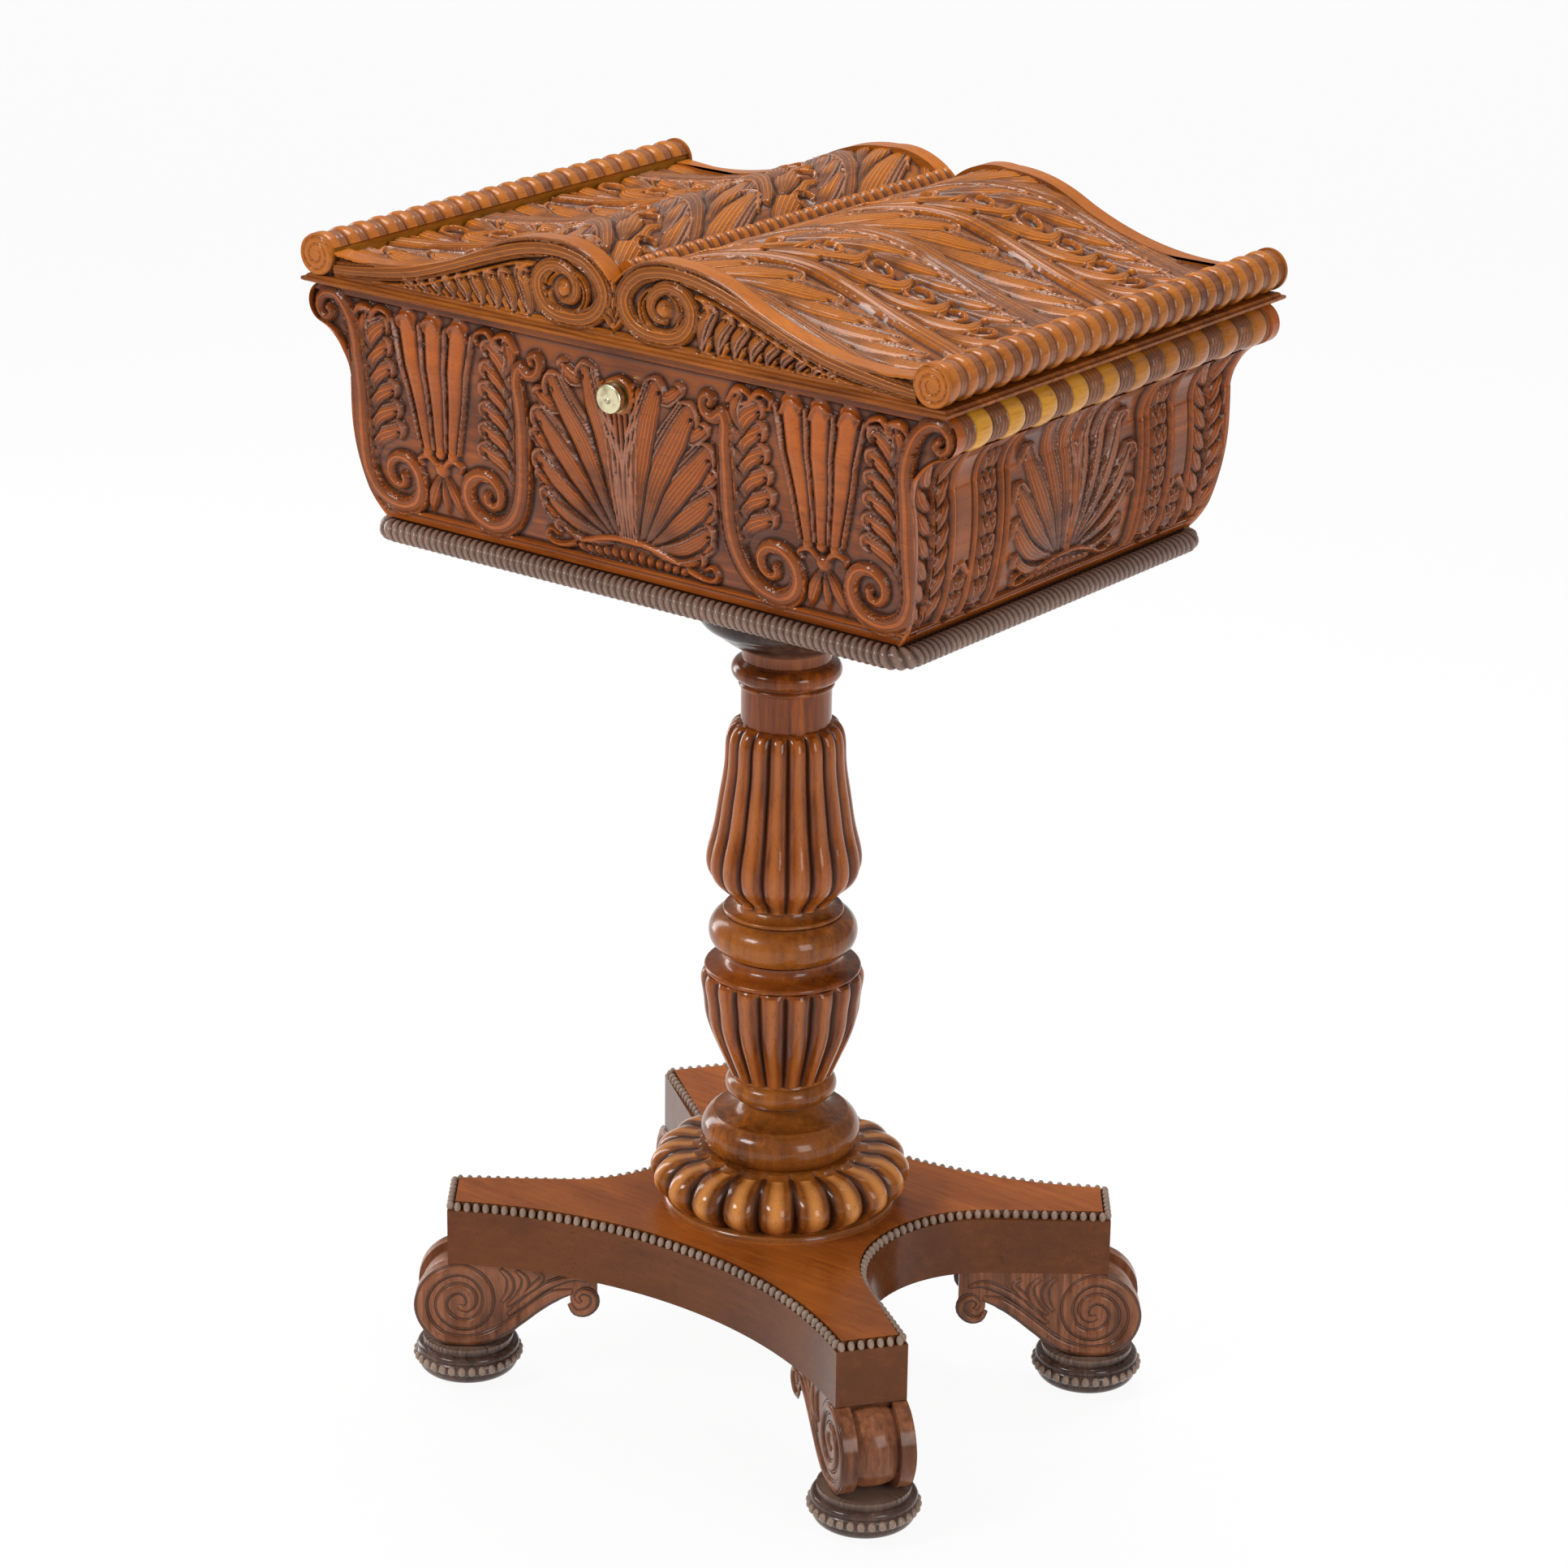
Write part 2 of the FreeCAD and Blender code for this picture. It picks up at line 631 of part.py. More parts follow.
# Column sections: outlines are shares of each section's widest radius and of its height
base_disc_shares = [(1.0, 0.0), ((1.0, 0.5), (0.985, 1.0))]
gadroon_shares = [(0.84, 0.0, 0.5), (0.945, 0.20, 0.8), (1.0, 0.46, 1.0), (0.955, 0.74, 0.9),
                  (0.82, 0.92, 0.7), (0.62, 1.0, 0.4)]
lower_turning_shares = [(0.90, 0.0), ((1.0, 0.235), (0.88, 0.45)), (0.85, 0.47), ((0.60, 0.54), (0.48, 0.66)),
                        (0.58, 0.67), (0.62, 0.70), ((0.70, 0.83), (0.62, 0.96)), (0.60, 1.0)]
vase_shares = [(0.65, 0.0, 0.5), (0.72, 0.12, 0.8), (0.87, 0.38, 1.0), (0.955, 0.61, 1.0),
               (0.99, 0.82, 1.0), (1.0, 0.95, 0.9), (0.97, 1.0, 0.6)]
vase_cap_shares = [(0.93, 0.0), ((0.965, 0.16), (0.93, 0.32)), (0.80, 0.40), ((0.72, 0.62), (0.70, 1.0))]
upper_torus_shares = [(0.74, 0.0), (0.82, 0.05), ((1.0, 0.40), (0.82, 0.75)), (0.78, 0.76),
                      ((0.81, 0.80), (0.77, 0.84)), ((0.64, 0.90), (0.61, 1.0))]
reeded_shares = [(0.66, 0.0, 0.5), (0.88, 0.10, 0.9), (0.995, 0.19, 1.0), (0.925, 0.39, 1.0),
                 (0.84, 0.60, 1.0), (0.775, 0.80, 0.9), (0.725, 0.96, 0.8), (0.63, 1.0, 0.5)]
neck_shares = [(0.82, 0.0), (0.82, 0.48), ((0.87, 0.515), (0.84, 0.55)), (0.86, 0.575),
               ((1.0, 0.70), (0.88, 0.83)),
               (0.81, 0.86), (0.81, 1.0)]
top_plate_shares = [(0.325, 0.0), ((0.44, 0.08), (0.545, 0.19)), ((0.63, 0.27), (0.65, 0.42)), (0.70, 0.45),
                    ((0.80, 0.68), (0.97, 0.78)), (1.0, 0.81), (1.0, 1.0)]

base_disc = turned(shared_steps(base_disc_shares, base_disc_radius, platform_top, base_disc_thickness))
save("column_base_disc", base_disc.cut(rod(tenon_radius + wood_fit, vector(0, 0, platform_top - overrun),
                                           vector(0, 0, 1), base_disc_thickness + 2 * overrun)))

gadroon = reeded(gadroon_shares, gadroon_radius, base_disc_top, gadroon_height, gadroon_count, gadroon_depth)
tenon_length = base_disc_top - platform_bottom + tenon_end_height
save("column_gadroon_disc", with_joint(gadroon, base_disc_top, gadroon_top, tenon_radius, tenon_length))

lower_turning = turned(shared_steps(lower_turning_shares, lower_turning_radius, gadroon_top,
                                    lower_turning_height))
save("column_lower_turning", with_joint(lower_turning, gadroon_top, lower_turning_top))

vase_body = reeded(vase_shares, vase_radius, lower_turning_top, vase_body_height, reed_count,
                   vase_reed_depth)
vase_cap = turned(shared_steps(vase_cap_shares, vase_radius, vase_body_top, vase_cap_height))
save("column_vase", with_joint(vase_body.fuse(vase_cap), lower_turning_top, vase_top))

upper_torus = turned(shared_steps(upper_torus_shares, upper_torus_radius, vase_top, upper_torus_height))
save("column_upper_torus", with_joint(upper_torus, vase_top, upper_torus_top))

reeded_section = reeded(reeded_shares, reeded_bottom_radius, upper_torus_top, reeded_height, reed_count,
                        reed_depth)
save("column_reeded_section", with_joint(reeded_section, upper_torus_top, reeded_top))

neck = turned(shared_steps(neck_shares, neck_collar_radius, reeded_top, neck_height))
save("column_neck", with_joint(neck, reeded_top, neck_top))

top_plate = turned(shared_steps(top_plate_shares, top_plate_radius, neck_top, top_plate_height))
top_plate = with_joint(top_plate, neck_top, floor_bottom, socket=False)


def screw(start, direction, radius, length, head_radius, head_height):
    """Screw that starts at the top of its head and runs along a direction."""
    return rod(head_radius, start, direction, head_height).fuse(rod(radius, start, direction, length))


# Box floor, screwed to the column's top plate from below
def floor_pieces():
    floor = block(-floor_length / 2, floor_length / 2, -floor_depth / 2, floor_depth / 2,
                  floor_bottom, box_wall_bottom)
    screws, wells = [], []
    reach = plate_screw_circle / math.sqrt(2)
    head_start = box_wall_bottom - plate_screw_end_gap - plate_screw_length
    for side_x, side_y in corners.values():
        x, y = side_x * reach, side_y * reach
        screws.append(screw(vector(x, y, head_start), vector(0, 0, 1), plate_screw_radius, plate_screw_length,
                            plate_screw_head_radius, plate_screw_head_height))
        wells.append(rod(plate_screw_head_radius, vector(x, y, neck_top - overrun), vector(0, 0, 1),
                         head_start - neck_top + overrun))
    return floor.cut(screws), top_plate.cut(screws + wells), screws


box_floor, top_plate, plate_screws = floor_pieces()
save("column_top_plate", top_plate)
save("box_floor", box_floor)

# Box walls: the S-shaped end profile is drawn once, to the right, from the bottom to the rim
end_profile_shares = [((0.35, 0.055), (0.62, 0.12)), ((1.0, 0.40), (0.94, 0.615))]
front_profile_shares = [((0.45, 0.20), (0.76, 0.50)), ((0.86, 0.62), (1.0, 0.72))]


def end_profile(inset=0):
    """Outline points of the box's right side, up to where it touches the rail's underside."""
    inner_reach = box_base_length / 2 - inset
    steps = [(inner_reach, box_wall_bottom)]
    for share_mid, share_end in end_profile_shares:
        steps.append(tuple((inner_reach + s[0] * belly_reach, box_wall_bottom + s[1] * box_wall_height)
                           for s in (share_mid, share_end)))
    # the flare is an arc that starts upright and touches the rail's circle
    reach = flare_radius + rail_radius
    middle_x = rail_x - inset + math.sqrt(reach ** 2 - (rail_z - flare_start) ** 2)
    touch_angle = math.atan2(rail_z - flare_start, rail_x - inset - middle_x)
    middle_angle = (math.pi + touch_angle) / 2

    def on_flare(angle):
        return (middle_x + flare_radius * math.cos(angle), flare_start + flare_radius * math.sin(angle))
    steps.append((middle_x - flare_radius, flare_start))
    steps.append((on_flare(middle_angle), on_flare(touch_angle)))
    return steps


def rail_arc(seat_x):
    """Underside of the rail's circle, from where the flare touches it to the rail's flat back."""
    rise = math.sqrt(rail_radius ** 2 - (rail_x - seat_x) ** 2)
    return ((rail_x, rail_z - rail_radius), (seat_x, rail_z - rise))


def end_panel_shape():
    half = box_inner_depth / 2
    steps = ([(box_inner_length / 2, box_wall_bottom)] + end_profile() + [rail_arc(rail_seat_x)]
             + [(rail_seat_x, box_rim), (box_inner_length / 2, box_rim)])
    return extruded(steps, front_view, vector(0, -half, 0), vector(0, 2 * half, 0))


def front_slab(inset):
    """Both S-shaped ends with the rails' round ends between them, as deep as the box's front wall."""
    tip = (rail_x - inset + rail_radius, rail_z)
    crown = (rail_x - inset, rail_z + rail_radius)
    right = end_profile(inset) + [(tip, crown)]
    start_y = -box_rim_depth / 2 - overrun
    return extruded(right + mirrored_steps(right), front_view, vector(0, start_y, 0),
                    vector(0, -box_inner_depth / 2 - start_y, 0))


def front_curve(depth):
    """The front wall's swelling section, with its face moved back by a depth."""
    base = box_base_depth / 2 - depth
    section = [(-box_inner_depth / 2, box_wall_bottom), (-base, box_wall_bottom)]
    for share_mid, share_end in front_profile_shares:
        section.append(tuple((-base - s[0] * front_reach, box_wall_bottom + s[1] * box_wall_height)
                             for s in (share_mid, share_end)))
    section += [(depth - box_rim_depth / 2, box_rim), (-box_inner_depth / 2, box_rim)]
    half = rail_x + rail_radius + overrun
    return extruded(section, side_view, vector(-half, 0, 0), vector(2 * half, 0, 0))


# Carving on the front, on the right half: shares of half the base's length and of the wall's height
stave_shares = [(0.366, 0.815), (0.366, 0.366), ((0.405, 0.142), (0.5515, 0.052)), (0.5515, 0.095),
                ((0.462, 0.187), (0.433, 0.366)), (0.433, 0.815)]
turn_shares = [(1.092, 0.366), ((1.053, 0.142), (0.9065, 0.052)), (0.9065, 0.095),
               ((0.996, 0.187), (1.025, 0.366))]
volute_shares = [(0.557, 0.187), (0.918, 0.187)]
small_volute_share = (0.350, 0.822)
flute_shares = [(0.640, 0.694), (0.747, 0.743), (0.856, 0.793)]   # top and foot of each
flute_height_shares = (0.90, 0.362)
shell_shares = [((0.021, 0.315), (0.057, 0.560), (0.124, 0.878)),
                ((0.052, 0.297), (0.124, 0.532), (0.258, 0.800)),
                ((0.077, 0.276), (0.175, 0.442), (0.325, 0.643)),
                ((0.093, 0.242), (0.196, 0.332), (0.330, 0.477)),
                ((0.098, 0.200), (0.191, 0.225), (0.309, 0.318))]
leaf_shares = [((0.505, 0.325), (0.521, 0.587), (0.505, 0.850)),
               ((0.959, 0.325), (0.943, 0.587), (0.959, 0.850))]
tie_share = (0.745, 0.280)
tie_leaf_shares = [((0.757, 0.235), (0.784, 0.166), (0.820, 0.076)),
                   ((0.733, 0.235), (0.706, 0.166), (0.670, 0.076))]
shell_rib_shares = (0.166, 0.700)


def on_front(share):
    return (share[0] * box_base_length / 2, box_wall_bottom + share[1] * box_wall_height)


def through_front(steps):
    """Prism with an outline drawn on the front, as deep as the front wall."""
    depth = box_rim_depth / 2 + overrun
    return extruded(steps, front_view, vector(0, -depth, 0), vector(0, depth - box_inner_depth / 2, 0))


def round_on_front(share, radius):
    x, z = on_front(share)
    depth = box_rim_depth / 2 + overrun
    return rod(radius, vector(x, -depth, z), vector(0, 1, 0), depth - box_inner_depth / 2)


def lobe_on_front(shares, width):
    """Leaf-shaped prism between two arcs, from its root past its bow to its tip."""
    root, bow, tip = [on_front(share) for share in shares]
    length = math.hypot(tip[0] - root[0], tip[1] - root[1])
    aside = ((root[1] - tip[1]) / length * width / 2, (tip[0] - root[0]) / length * width / 2)
    left = (bow[0] + aside[0], bow[1] + aside[1])
    right = (bow[0] - aside[0], bow[1] - aside[1])
    return through_front([root, (left, tip), (right, root)])


def flute_on_front(top_share, foot_share):
    top_x, top_z = on_front((top_share, flute_height_shares[0]))
    foot_x, foot_z = on_front((foot_share, flute_height_shares[1]))
    return through_front([(top_x - flute_top_width / 2, top_z), (foot_x - flute_foot_width / 2, foot_z),
                          ((foot_x, foot_z - flute_foot_width / 2), (foot_x + flute_foot_width / 2, foot_z)),
                          (top_x + flute_top_width / 2, top_z)])


def placed_steps(shares):
    return [tuple(on_front(share) for share in step) if isinstance(step[0], tuple) else on_front(step)
            for step in shares]


def right_half_carving():
    ribs = [through_front(placed_steps(shares)) for shares in (stave_shares, turn_shares)]
    for share in volute_shares:
        ring = round_on_front(share, volute_radius).cut(round_on_front(share, volute_radius - volute_band))
        ribs += [ring, round_on_front(share, volute_eye_radius)]
    ribs.append(round_on_front(small_volute_share, volute_band))
    ribs += [flute_on_front(top_share, foot_share) for top_share, foot_share in flute_shares]
    ribs += [lobe_on_front(shares, shell_lobe_width) for shares in shell_shares]
    ribs += [lobe_on_front(shares, leaf_width) for shares in leaf_shares]
    ribs += [lobe_on_front(shares, tie_leaf_width) for shares in tie_leaf_shares]
    ribs.append(round_on_front(tie_share, tie_radius))
    return ribs


def front_carving():
    """All that stands at the full height of the front: borders, scrolls, flutes, leaves and shell."""
    right = right_half_carving()
    half = rail_x + rail_radius + overrun
    start_y, end_y = -box_rim_depth / 2 - overrun, -box_inner_depth / 2
    borders = [block(-half, half, start_y, end_y, low, low + border_height)
               for low in (box_wall_bottom, box_rim - border_height)]
    low_z, high_z = [on_front((0, share))[1] for share in shell_rib_shares]
    middle = block(-shell_rib_width / 2, shell_rib_width / 2, start_y, end_y, low_z, high_z)
    boss = rod(button_boss_radius, vector(0, start_y, button_height), vector(0, 1, 0), end_y - start_y)
    return borders[0].fuse([borders[1], middle, boss] + right + [mirrored_x(rib) for rib in right])


def front_panel_shape():
    """Front panel: a sunk ground, the full edges along both ends, and the carving between them."""
    slab, inner = front_slab(0), front_slab(edge_stave_width)
    full = slab.common(front_curve(0))
    ground = slab.common(front_curve(panel_carving_depth))
    panel = ground.fuse([full.cut(inner), full.common(front_carving())]).removeSplitter()
    for side in (-1, 1):
        seat = rod(rail_radius, vector(side * rail_x, -rail_half, rail_z), vector(0, 1, 0), 2 * rail_half)
        low, high = sorted((side * rail_seat_x, side * (rail_x + 2 * rail_radius)))
        seat = seat.common(block(low, high, -rail_half, rail_half, rail_z - rail_radius, box_rim))
        panel = panel.cut(seat)
    return panel


# Rails: each unit is a barrel and a group of thin rings
rail_unit_shares = [(0.0, 0.12, 0.84, 0.92), (0.12, 0.24, 0.84, 0.92), (0.24, 0.34, 0.84, 0.90),
                    (0.34, 0.90, 0.84, 1.0), (0.90, 1.0, 0.84, 0.90)]


def rail_shape():
    rail = ringed_rod(rail_radius, 2 * rail_half, rail_ring_count, rail_unit_shares)
    rail.translate(vector(rail_x, 0, rail_z))
    return rail.common(block(rail_seat_x, rail_x + 2 * rail_radius, -rail_half, rail_half,
                             rail_z - 2 * rail_radius, box_rim))


# Base moulding: a round moulding bent round the floor's edge
def base_moulding_shape():
    half_x = box_base_length / 2 + rope_end_reach - rope_radius
    half_y = box_base_depth / 2 + rope_front_reach - rope_radius
    z = floor_bottom + rope_rise
    bend = rope_corner_radius
    slack = bend * (1 - math.sqrt(0.5))
    corner_points = [(half_x, half_y), (-half_x, half_y), (-half_x, -half_y), (half_x, -half_y)]
    edges, here = [], vector(half_x, 0, z)
    start = here
    for x, y in corner_points:
        side_x, side_y = math.copysign(1, x), math.copysign(1, y)
        upright = vector(x, y - side_y * bend, z)
        level = vector(x - side_x * bend, y, z)
        middle = vector(x - side_x * slack, y - side_y * slack, z)
        first, last = (upright, level) if x * y > 0 else (level, upright)
        edges += [Part.makeLine(here, first), Part.Arc(first, middle, last).toShape()]
        here = last
    edges.append(Part.makeLine(here, start))
    circle = Part.Wire([Part.makeCircle(rope_radius, start, vector(0, 1, 0))])
    rope = Part.Wire(edges).makePipeShell([circle], True, False)
    return rope.cut(block(-floor_length / 2, floor_length / 2, -floor_depth / 2, floor_depth / 2,
                          floor_bottom - overrun, box_wall_bottom + overrun))


# Hinges: plain butt hinges with leaves let into the rim and into the lid board's underside
barrel_length = hinge_length / hinge_barrel_count
leaf_front = hinge_axis_y - hinge_barrel_radius - seat_gap * 2 - hinge_leaf_depth
leaf_back = hinge_axis_y - hinge_barrel_radius - seat_gap * 2


def hinge_leaf(middle_x, bottom, first_barrel):
    """One leaf with its own barrels; the two leaves of a hinge take turns along the pin."""
    start = middle_x - hinge_length / 2
    end_gap = running_gap
    top = bottom + hinge_leaf_thickness
    leaf = block(start, start + hinge_length, leaf_front, leaf_back, bottom, top)
    parts = []
    for index in range(first_barrel, hinge_barrel_count, 2):
        low, high = start + index * barrel_length + end_gap, start + (index + 1) * barrel_length - end_gap
        parts.append(block(low, high, leaf_back, hinge_axis_y, bottom, top))
        parts.append(rod(hinge_barrel_radius, vector(low, hinge_axis_y, hinge_axis_z), vector(1, 0, 0),
                         high - low))
    leaf = leaf.fuse(parts).removeSplitter()
    return leaf.cut(rod(hinge_pin_radius + running_gap, vector(start - overrun, hinge_axis_y, hinge_axis_z),
                        vector(1, 0, 0), hinge_length + 2 * overrun))


def leaf_screws(middle_x, start_z, direction_z):
    """Three flat-headed screws through a leaf into the wood."""
    y = (leaf_front + leaf_back) / 2
    reach = hinge_length / 2 - screw_head_radius * 2
    return [screw(vector(middle_x + shift, y, start_z), vector(0, 0, direction_z), screw_radius,
                  screw_length, screw_head_radius, screw_head_height) for shift in (-reach, 0, reach)]


box_leaves, box_leaf_screws, lid_leaves, lid_leaf_screws, hinge_pins = [], [], [], [], []
for middle_x in (-hinge_offset, hinge_offset):
    box_screws = leaf_screws(middle_x, box_rim, -1)
    lid_screws = leaf_screws(middle_x, lid_board_bottom, 1)
    box_leaves.append(hinge_leaf(middle_x, box_rim - hinge_leaf_thickness, 0).cut(box_screws))
    lid_leaves.append(hinge_leaf(middle_x, lid_board_bottom, 1).cut(lid_screws))
    box_leaf_screws += box_screws
    lid_leaf_screws += lid_screws
    hinge_pins.append(rod(hinge_pin_radius, vector(middle_x - hinge_length / 2, hinge_axis_y, hinge_axis_z),
                          vector(1, 0, 0), hinge_length))

# Push button, its bush and the hook on its stem, drawn along +Y from the front
panel_front = -box_rim_depth / 2
panel_back = -box_inner_depth / 2
flange_front = panel_front - bush_flange_thickness
head_back = flange_front - seat_gap - button_travel
hook_front = panel_back + catch_plate_setback
hook_back = hook_front + catch_plate_thickness
bracket_back = panel_back + bracket_depth
bracket_front = bracket_back - bracket_thickness
hook_bottom = button_height - catch_plate_drop
hook_top = hook_bottom + catch_plate_height
striker_front = panel_back + striker_gap
striker_back = striker_front + striker_thickness
striker_bottom = lid_board_bottom - striker_drop


def along_button(radius, front, back):
    return rod(radius, vector(0, front, button_height), vector(0, 1, 0), back - front)


def bush_shape():
    bush = along_button(bush_radius, panel_front, panel_back)
    bush = bush.fuse(along_button(bush_flange_radius, flange_front, panel_front)).removeSplitter()
    return bush.cut(along_button(button_stem_radius + running_gap, flange_front - overrun,
                                 panel_back + overrun))


def button_shape():
    edge = button_head_radius - button_crown
    shoulder = button_head_height - button_crown
    bevel = button_crown * math.sqrt(0.5)
    steps = [(0, 0), (button_head_radius, 0), (button_head_radius, shoulder),
             ((edge + bevel, shoulder + bevel), (edge, button_head_height)), (0, button_head_height)]
    head = turned(steps)
    dimple = Part.makeCone(0, button_dimple_radius, button_dimple_depth,
                           vector(0, 0, button_head_height - button_dimple_depth), vector(0, 0, 1))
    head = head.cut(dimple)
    head.rotate(vector(0, 0, 0), vector(1, 0, 0), 90)
    head.translate(vector(0, head_back, button_height))
    stem = along_button(button_stem_radius, head_back, bracket_back + seat_gap)
    return head.fuse(stem).removeSplitter()


def hook_shape():
    half = catch_plate_width / 2
    plate = block(-half, half, hook_front, hook_back, hook_bottom, hook_top)
    nose = block(-half, half, striker_back + seat_gap, hook_front, hook_top - catch_nose_height, hook_top)
    hook = plate.fuse(nose).removeSplitter()
    return hook.cut(along_button(button_stem_radius, hook_front - overrun, hook_back + overrun))


def bracket_shape():
    half = bracket_width / 2
    low, high = button_height - bracket_height / 2, button_height + bracket_height / 2
    wall = block(-half, half, bracket_front, bracket_back, low, high)
    parts = []
    for side in (-1, 1):
        arm_x = sorted((side * half, side * (half - bracket_thickness)))
        foot_x = sorted((side * half, side * (half + bracket_foot)))
        parts.append(block(arm_x[0], arm_x[1], panel_back, bracket_front, low, high))
        parts.append(block(foot_x[0], foot_x[1], panel_back, panel_back + bracket_thickness, low, high))
    bracket = wall.fuse(parts).removeSplitter()
    return bracket.cut(along_button(button_stem_radius + running_gap, bracket_front - overrun,
                                    bracket_back + overrun))


bracket_screws = [screw(vector(side * (bracket_width + bracket_foot) / 2,
                               panel_back + bracket_thickness, button_height), vector(0, -1, 0),
                        screw_radius, screw_length, screw_head_radius, screw_head_height)
                  for side in (-1, 1)]


def spring_shape():
    """Bowed leaf spring round the stem: its feet bear on the bracket and its crown on the hook."""
    half = bracket_height / 2 - bracket_thickness

    def bow(inset):
        return [(bracket_front, button_height - half + inset),
                (hook_back + running_gap + inset, button_height),
                (bracket_front, button_height + half - inset)]
    outer, inner = bow(0), bow(spring_thickness)
    steps = [outer[0], (outer[1], outer[2]), inner[2], (inner[1], inner[0])]
    spring = extruded(steps, side_view, vector(-spring_width / 2, 0, 0), vector(spring_width, 0, 0))
    return spring.cut(along_button(button_stem_radius + seat_gap, hook_back, bracket_back))


front_panel = front_panel_shape()
back_panel = mirrored_y(front_panel).cut(box_leaves + box_leaf_screws)
front_panel = front_panel.cut([along_button(bush_radius, panel_front - overrun, panel_back + overrun)]
                              + bracket_screws)
end_panel = end_panel_shape()
rail = rail_shape()
save("box_front_panel", front_panel)
save("box_back_panel", back_panel)
save("box_right_panel", end_panel)
save("box_left_panel", mirrored_x(end_panel))
save("box_right_rail", rail)
save("box_left_rail", mirrored_x(rail))
save("box_bead_moulding", base_moulding_shape())
save("hinge_box_leaves", *(box_leaves + box_leaf_screws))
save("hinge_pins", *hinge_pins)
save("button_bush", bush_shape())
save("push_button", button_shape())
save("catch_hook", hook_shape())
save("catch_bracket", bracket_shape().cut(bracket_screws))
save("button_spring", spring_shape())
save("fixing_screws", *(plate_screws + bracket_screws))


# Fitted tray: a top plate on four skirts, with two wells for the caddies and two round bowl holes
def tray_shape():
    half_x, half_y = box_inner_length / 2 - tray_gap, box_inner_depth / 2 - tray_gap
    tray = block(-half_x, half_x, -half_y, half_y, box_wall_bottom, tray_top)
    tray = tray.cut(block(-half_x + tray_skirt, half_x - tray_skirt, -half_y + tray_skirt,
                          half_y - tray_skirt, box_wall_bottom - overrun, tray_top - tray_thickness))
    cuts = []
    for side in (-1, 1):
        middle = side * caddy_offset
        reach_x, reach_y = caddy_length / 2 + well_gap, caddy_depth / 2 + well_gap
        cuts.append(block(middle - reach_x, middle + reach_x, -reach_y, reach_y, box_wall_bottom,
                          tray_top + overrun))
        cuts.append(rod(bowl_hole_radius, vector(0, side * bowl_offset, tray_top - tray_thickness - overrun),
                        vector(0, 0, 1), tray_thickness + 2 * overrun))
    return tray.cut(cuts)


# Caddy: an open box with a lid that drops into its mouth
caddy_knob_shares = [(0.5, 0.0), (0.5, 0.46), ((1.0, 0.73), (0.5, 1.0))]


def caddy_shapes(middle_x):
    half_x, half_y = caddy_length / 2, caddy_depth / 2
    body = block(middle_x - half_x, middle_x + half_x, -half_y, half_y, box_wall_bottom, caddy_top)
    hollow_x, hollow_y = half_x - caddy_wall, half_y - caddy_wall
    body = body.cut(block(middle_x - hollow_x, middle_x + hollow_x, -hollow_y, hollow_y,
                          box_wall_bottom + caddy_wall, caddy_top + overrun))
    top = caddy_top + caddy_lid_thickness
    lid = block(middle_x - half_x, middle_x + half_x, -half_y, half_y, caddy_top, top)
    plug_x, plug_y = hollow_x - seat_gap, hollow_y - seat_gap
    plug = block(middle_x - plug_x, middle_x + plug_x, -plug_y, plug_y, caddy_top - caddy_lid_rebate,
                 caddy_top)
    knob = turned(shared_steps(caddy_knob_shares, caddy_knob_radius, -caddy_lid_thickness / 2,
                               caddy_lid_thickness / 2 + caddy_knob_height))
    knob.translate(vector(middle_x, 0, top))
    return body, lid.fuse([plug, knob]).removeSplitter()


# Mixing bowl: blown glass with a turned-out rim that rests on the tray
bowl_foot_share = 0.5          # of the bowl's outer radius
bowl_bulge_shares = (0.86, 0.62)       # of its outer radius and of its depth


def bowl_shape(middle_y):
    outer = bowl_hole_radius - well_gap
    foot_radius = outer * bowl_foot_share
    bottom = bowl_rim_thickness - bowl_height
    bulge = (outer * bowl_bulge_shares[0], bottom * bowl_bulge_shares[1])
    inner_bottom = bottom + bowl_wall * 2
    steps = [(0, bottom), (foot_radius, bottom), (bulge, (outer, 0)), (bowl_rim_radius, 0),
             ((bowl_rim_radius + bowl_rim_roll, bowl_rim_thickness / 2),
              (bowl_rim_radius, bowl_rim_thickness)),
             (outer - bowl_wall, bowl_rim_thickness),
             ((bulge[0] - bowl_wall, bulge[1] + bowl_wall), (foot_radius, inner_bottom)), (0, inner_bottom)]
    bowl = turned(steps)
    bowl.translate(vector(0, middle_y, tray_top))
    return bowl


save("caddy_tray", tray_shape())
for side, middle_x in (("left", -caddy_offset), ("right", caddy_offset)):
    caddy, caddy_lid = caddy_shapes(middle_x)
    save("caddy_" + side, caddy)
    save("caddy_lid_" + side, caddy_lid)
save("mixing_bowl_front", bowl_shape(-bowl_offset))
save("mixing_bowl_back", bowl_shape(bowl_offset))

# Lid board: the same moulded edge on all four sides, from two crossed sections
edge_shares = [((0.65, 0.05), (1.0, 0.30)), (1.0, 0.62), (0.55, 0.66), ((0.5, 0.86), (0.0, 1.0))]


def board_section(half):
    def place(share):
        return (half - lid_edge_depth * (1 - share[0]), lid_board_bottom + share[1] * lid_ledge_thickness)
    right = [(half - lid_edge_depth, lid_board_bottom), tuple(place(share) for share in edge_shares[0]),
             place(edge_shares[1]), place(edge_shares[2]), tuple(place(share) for share in edge_shares[3])]
    return right + mirrored_steps(right)


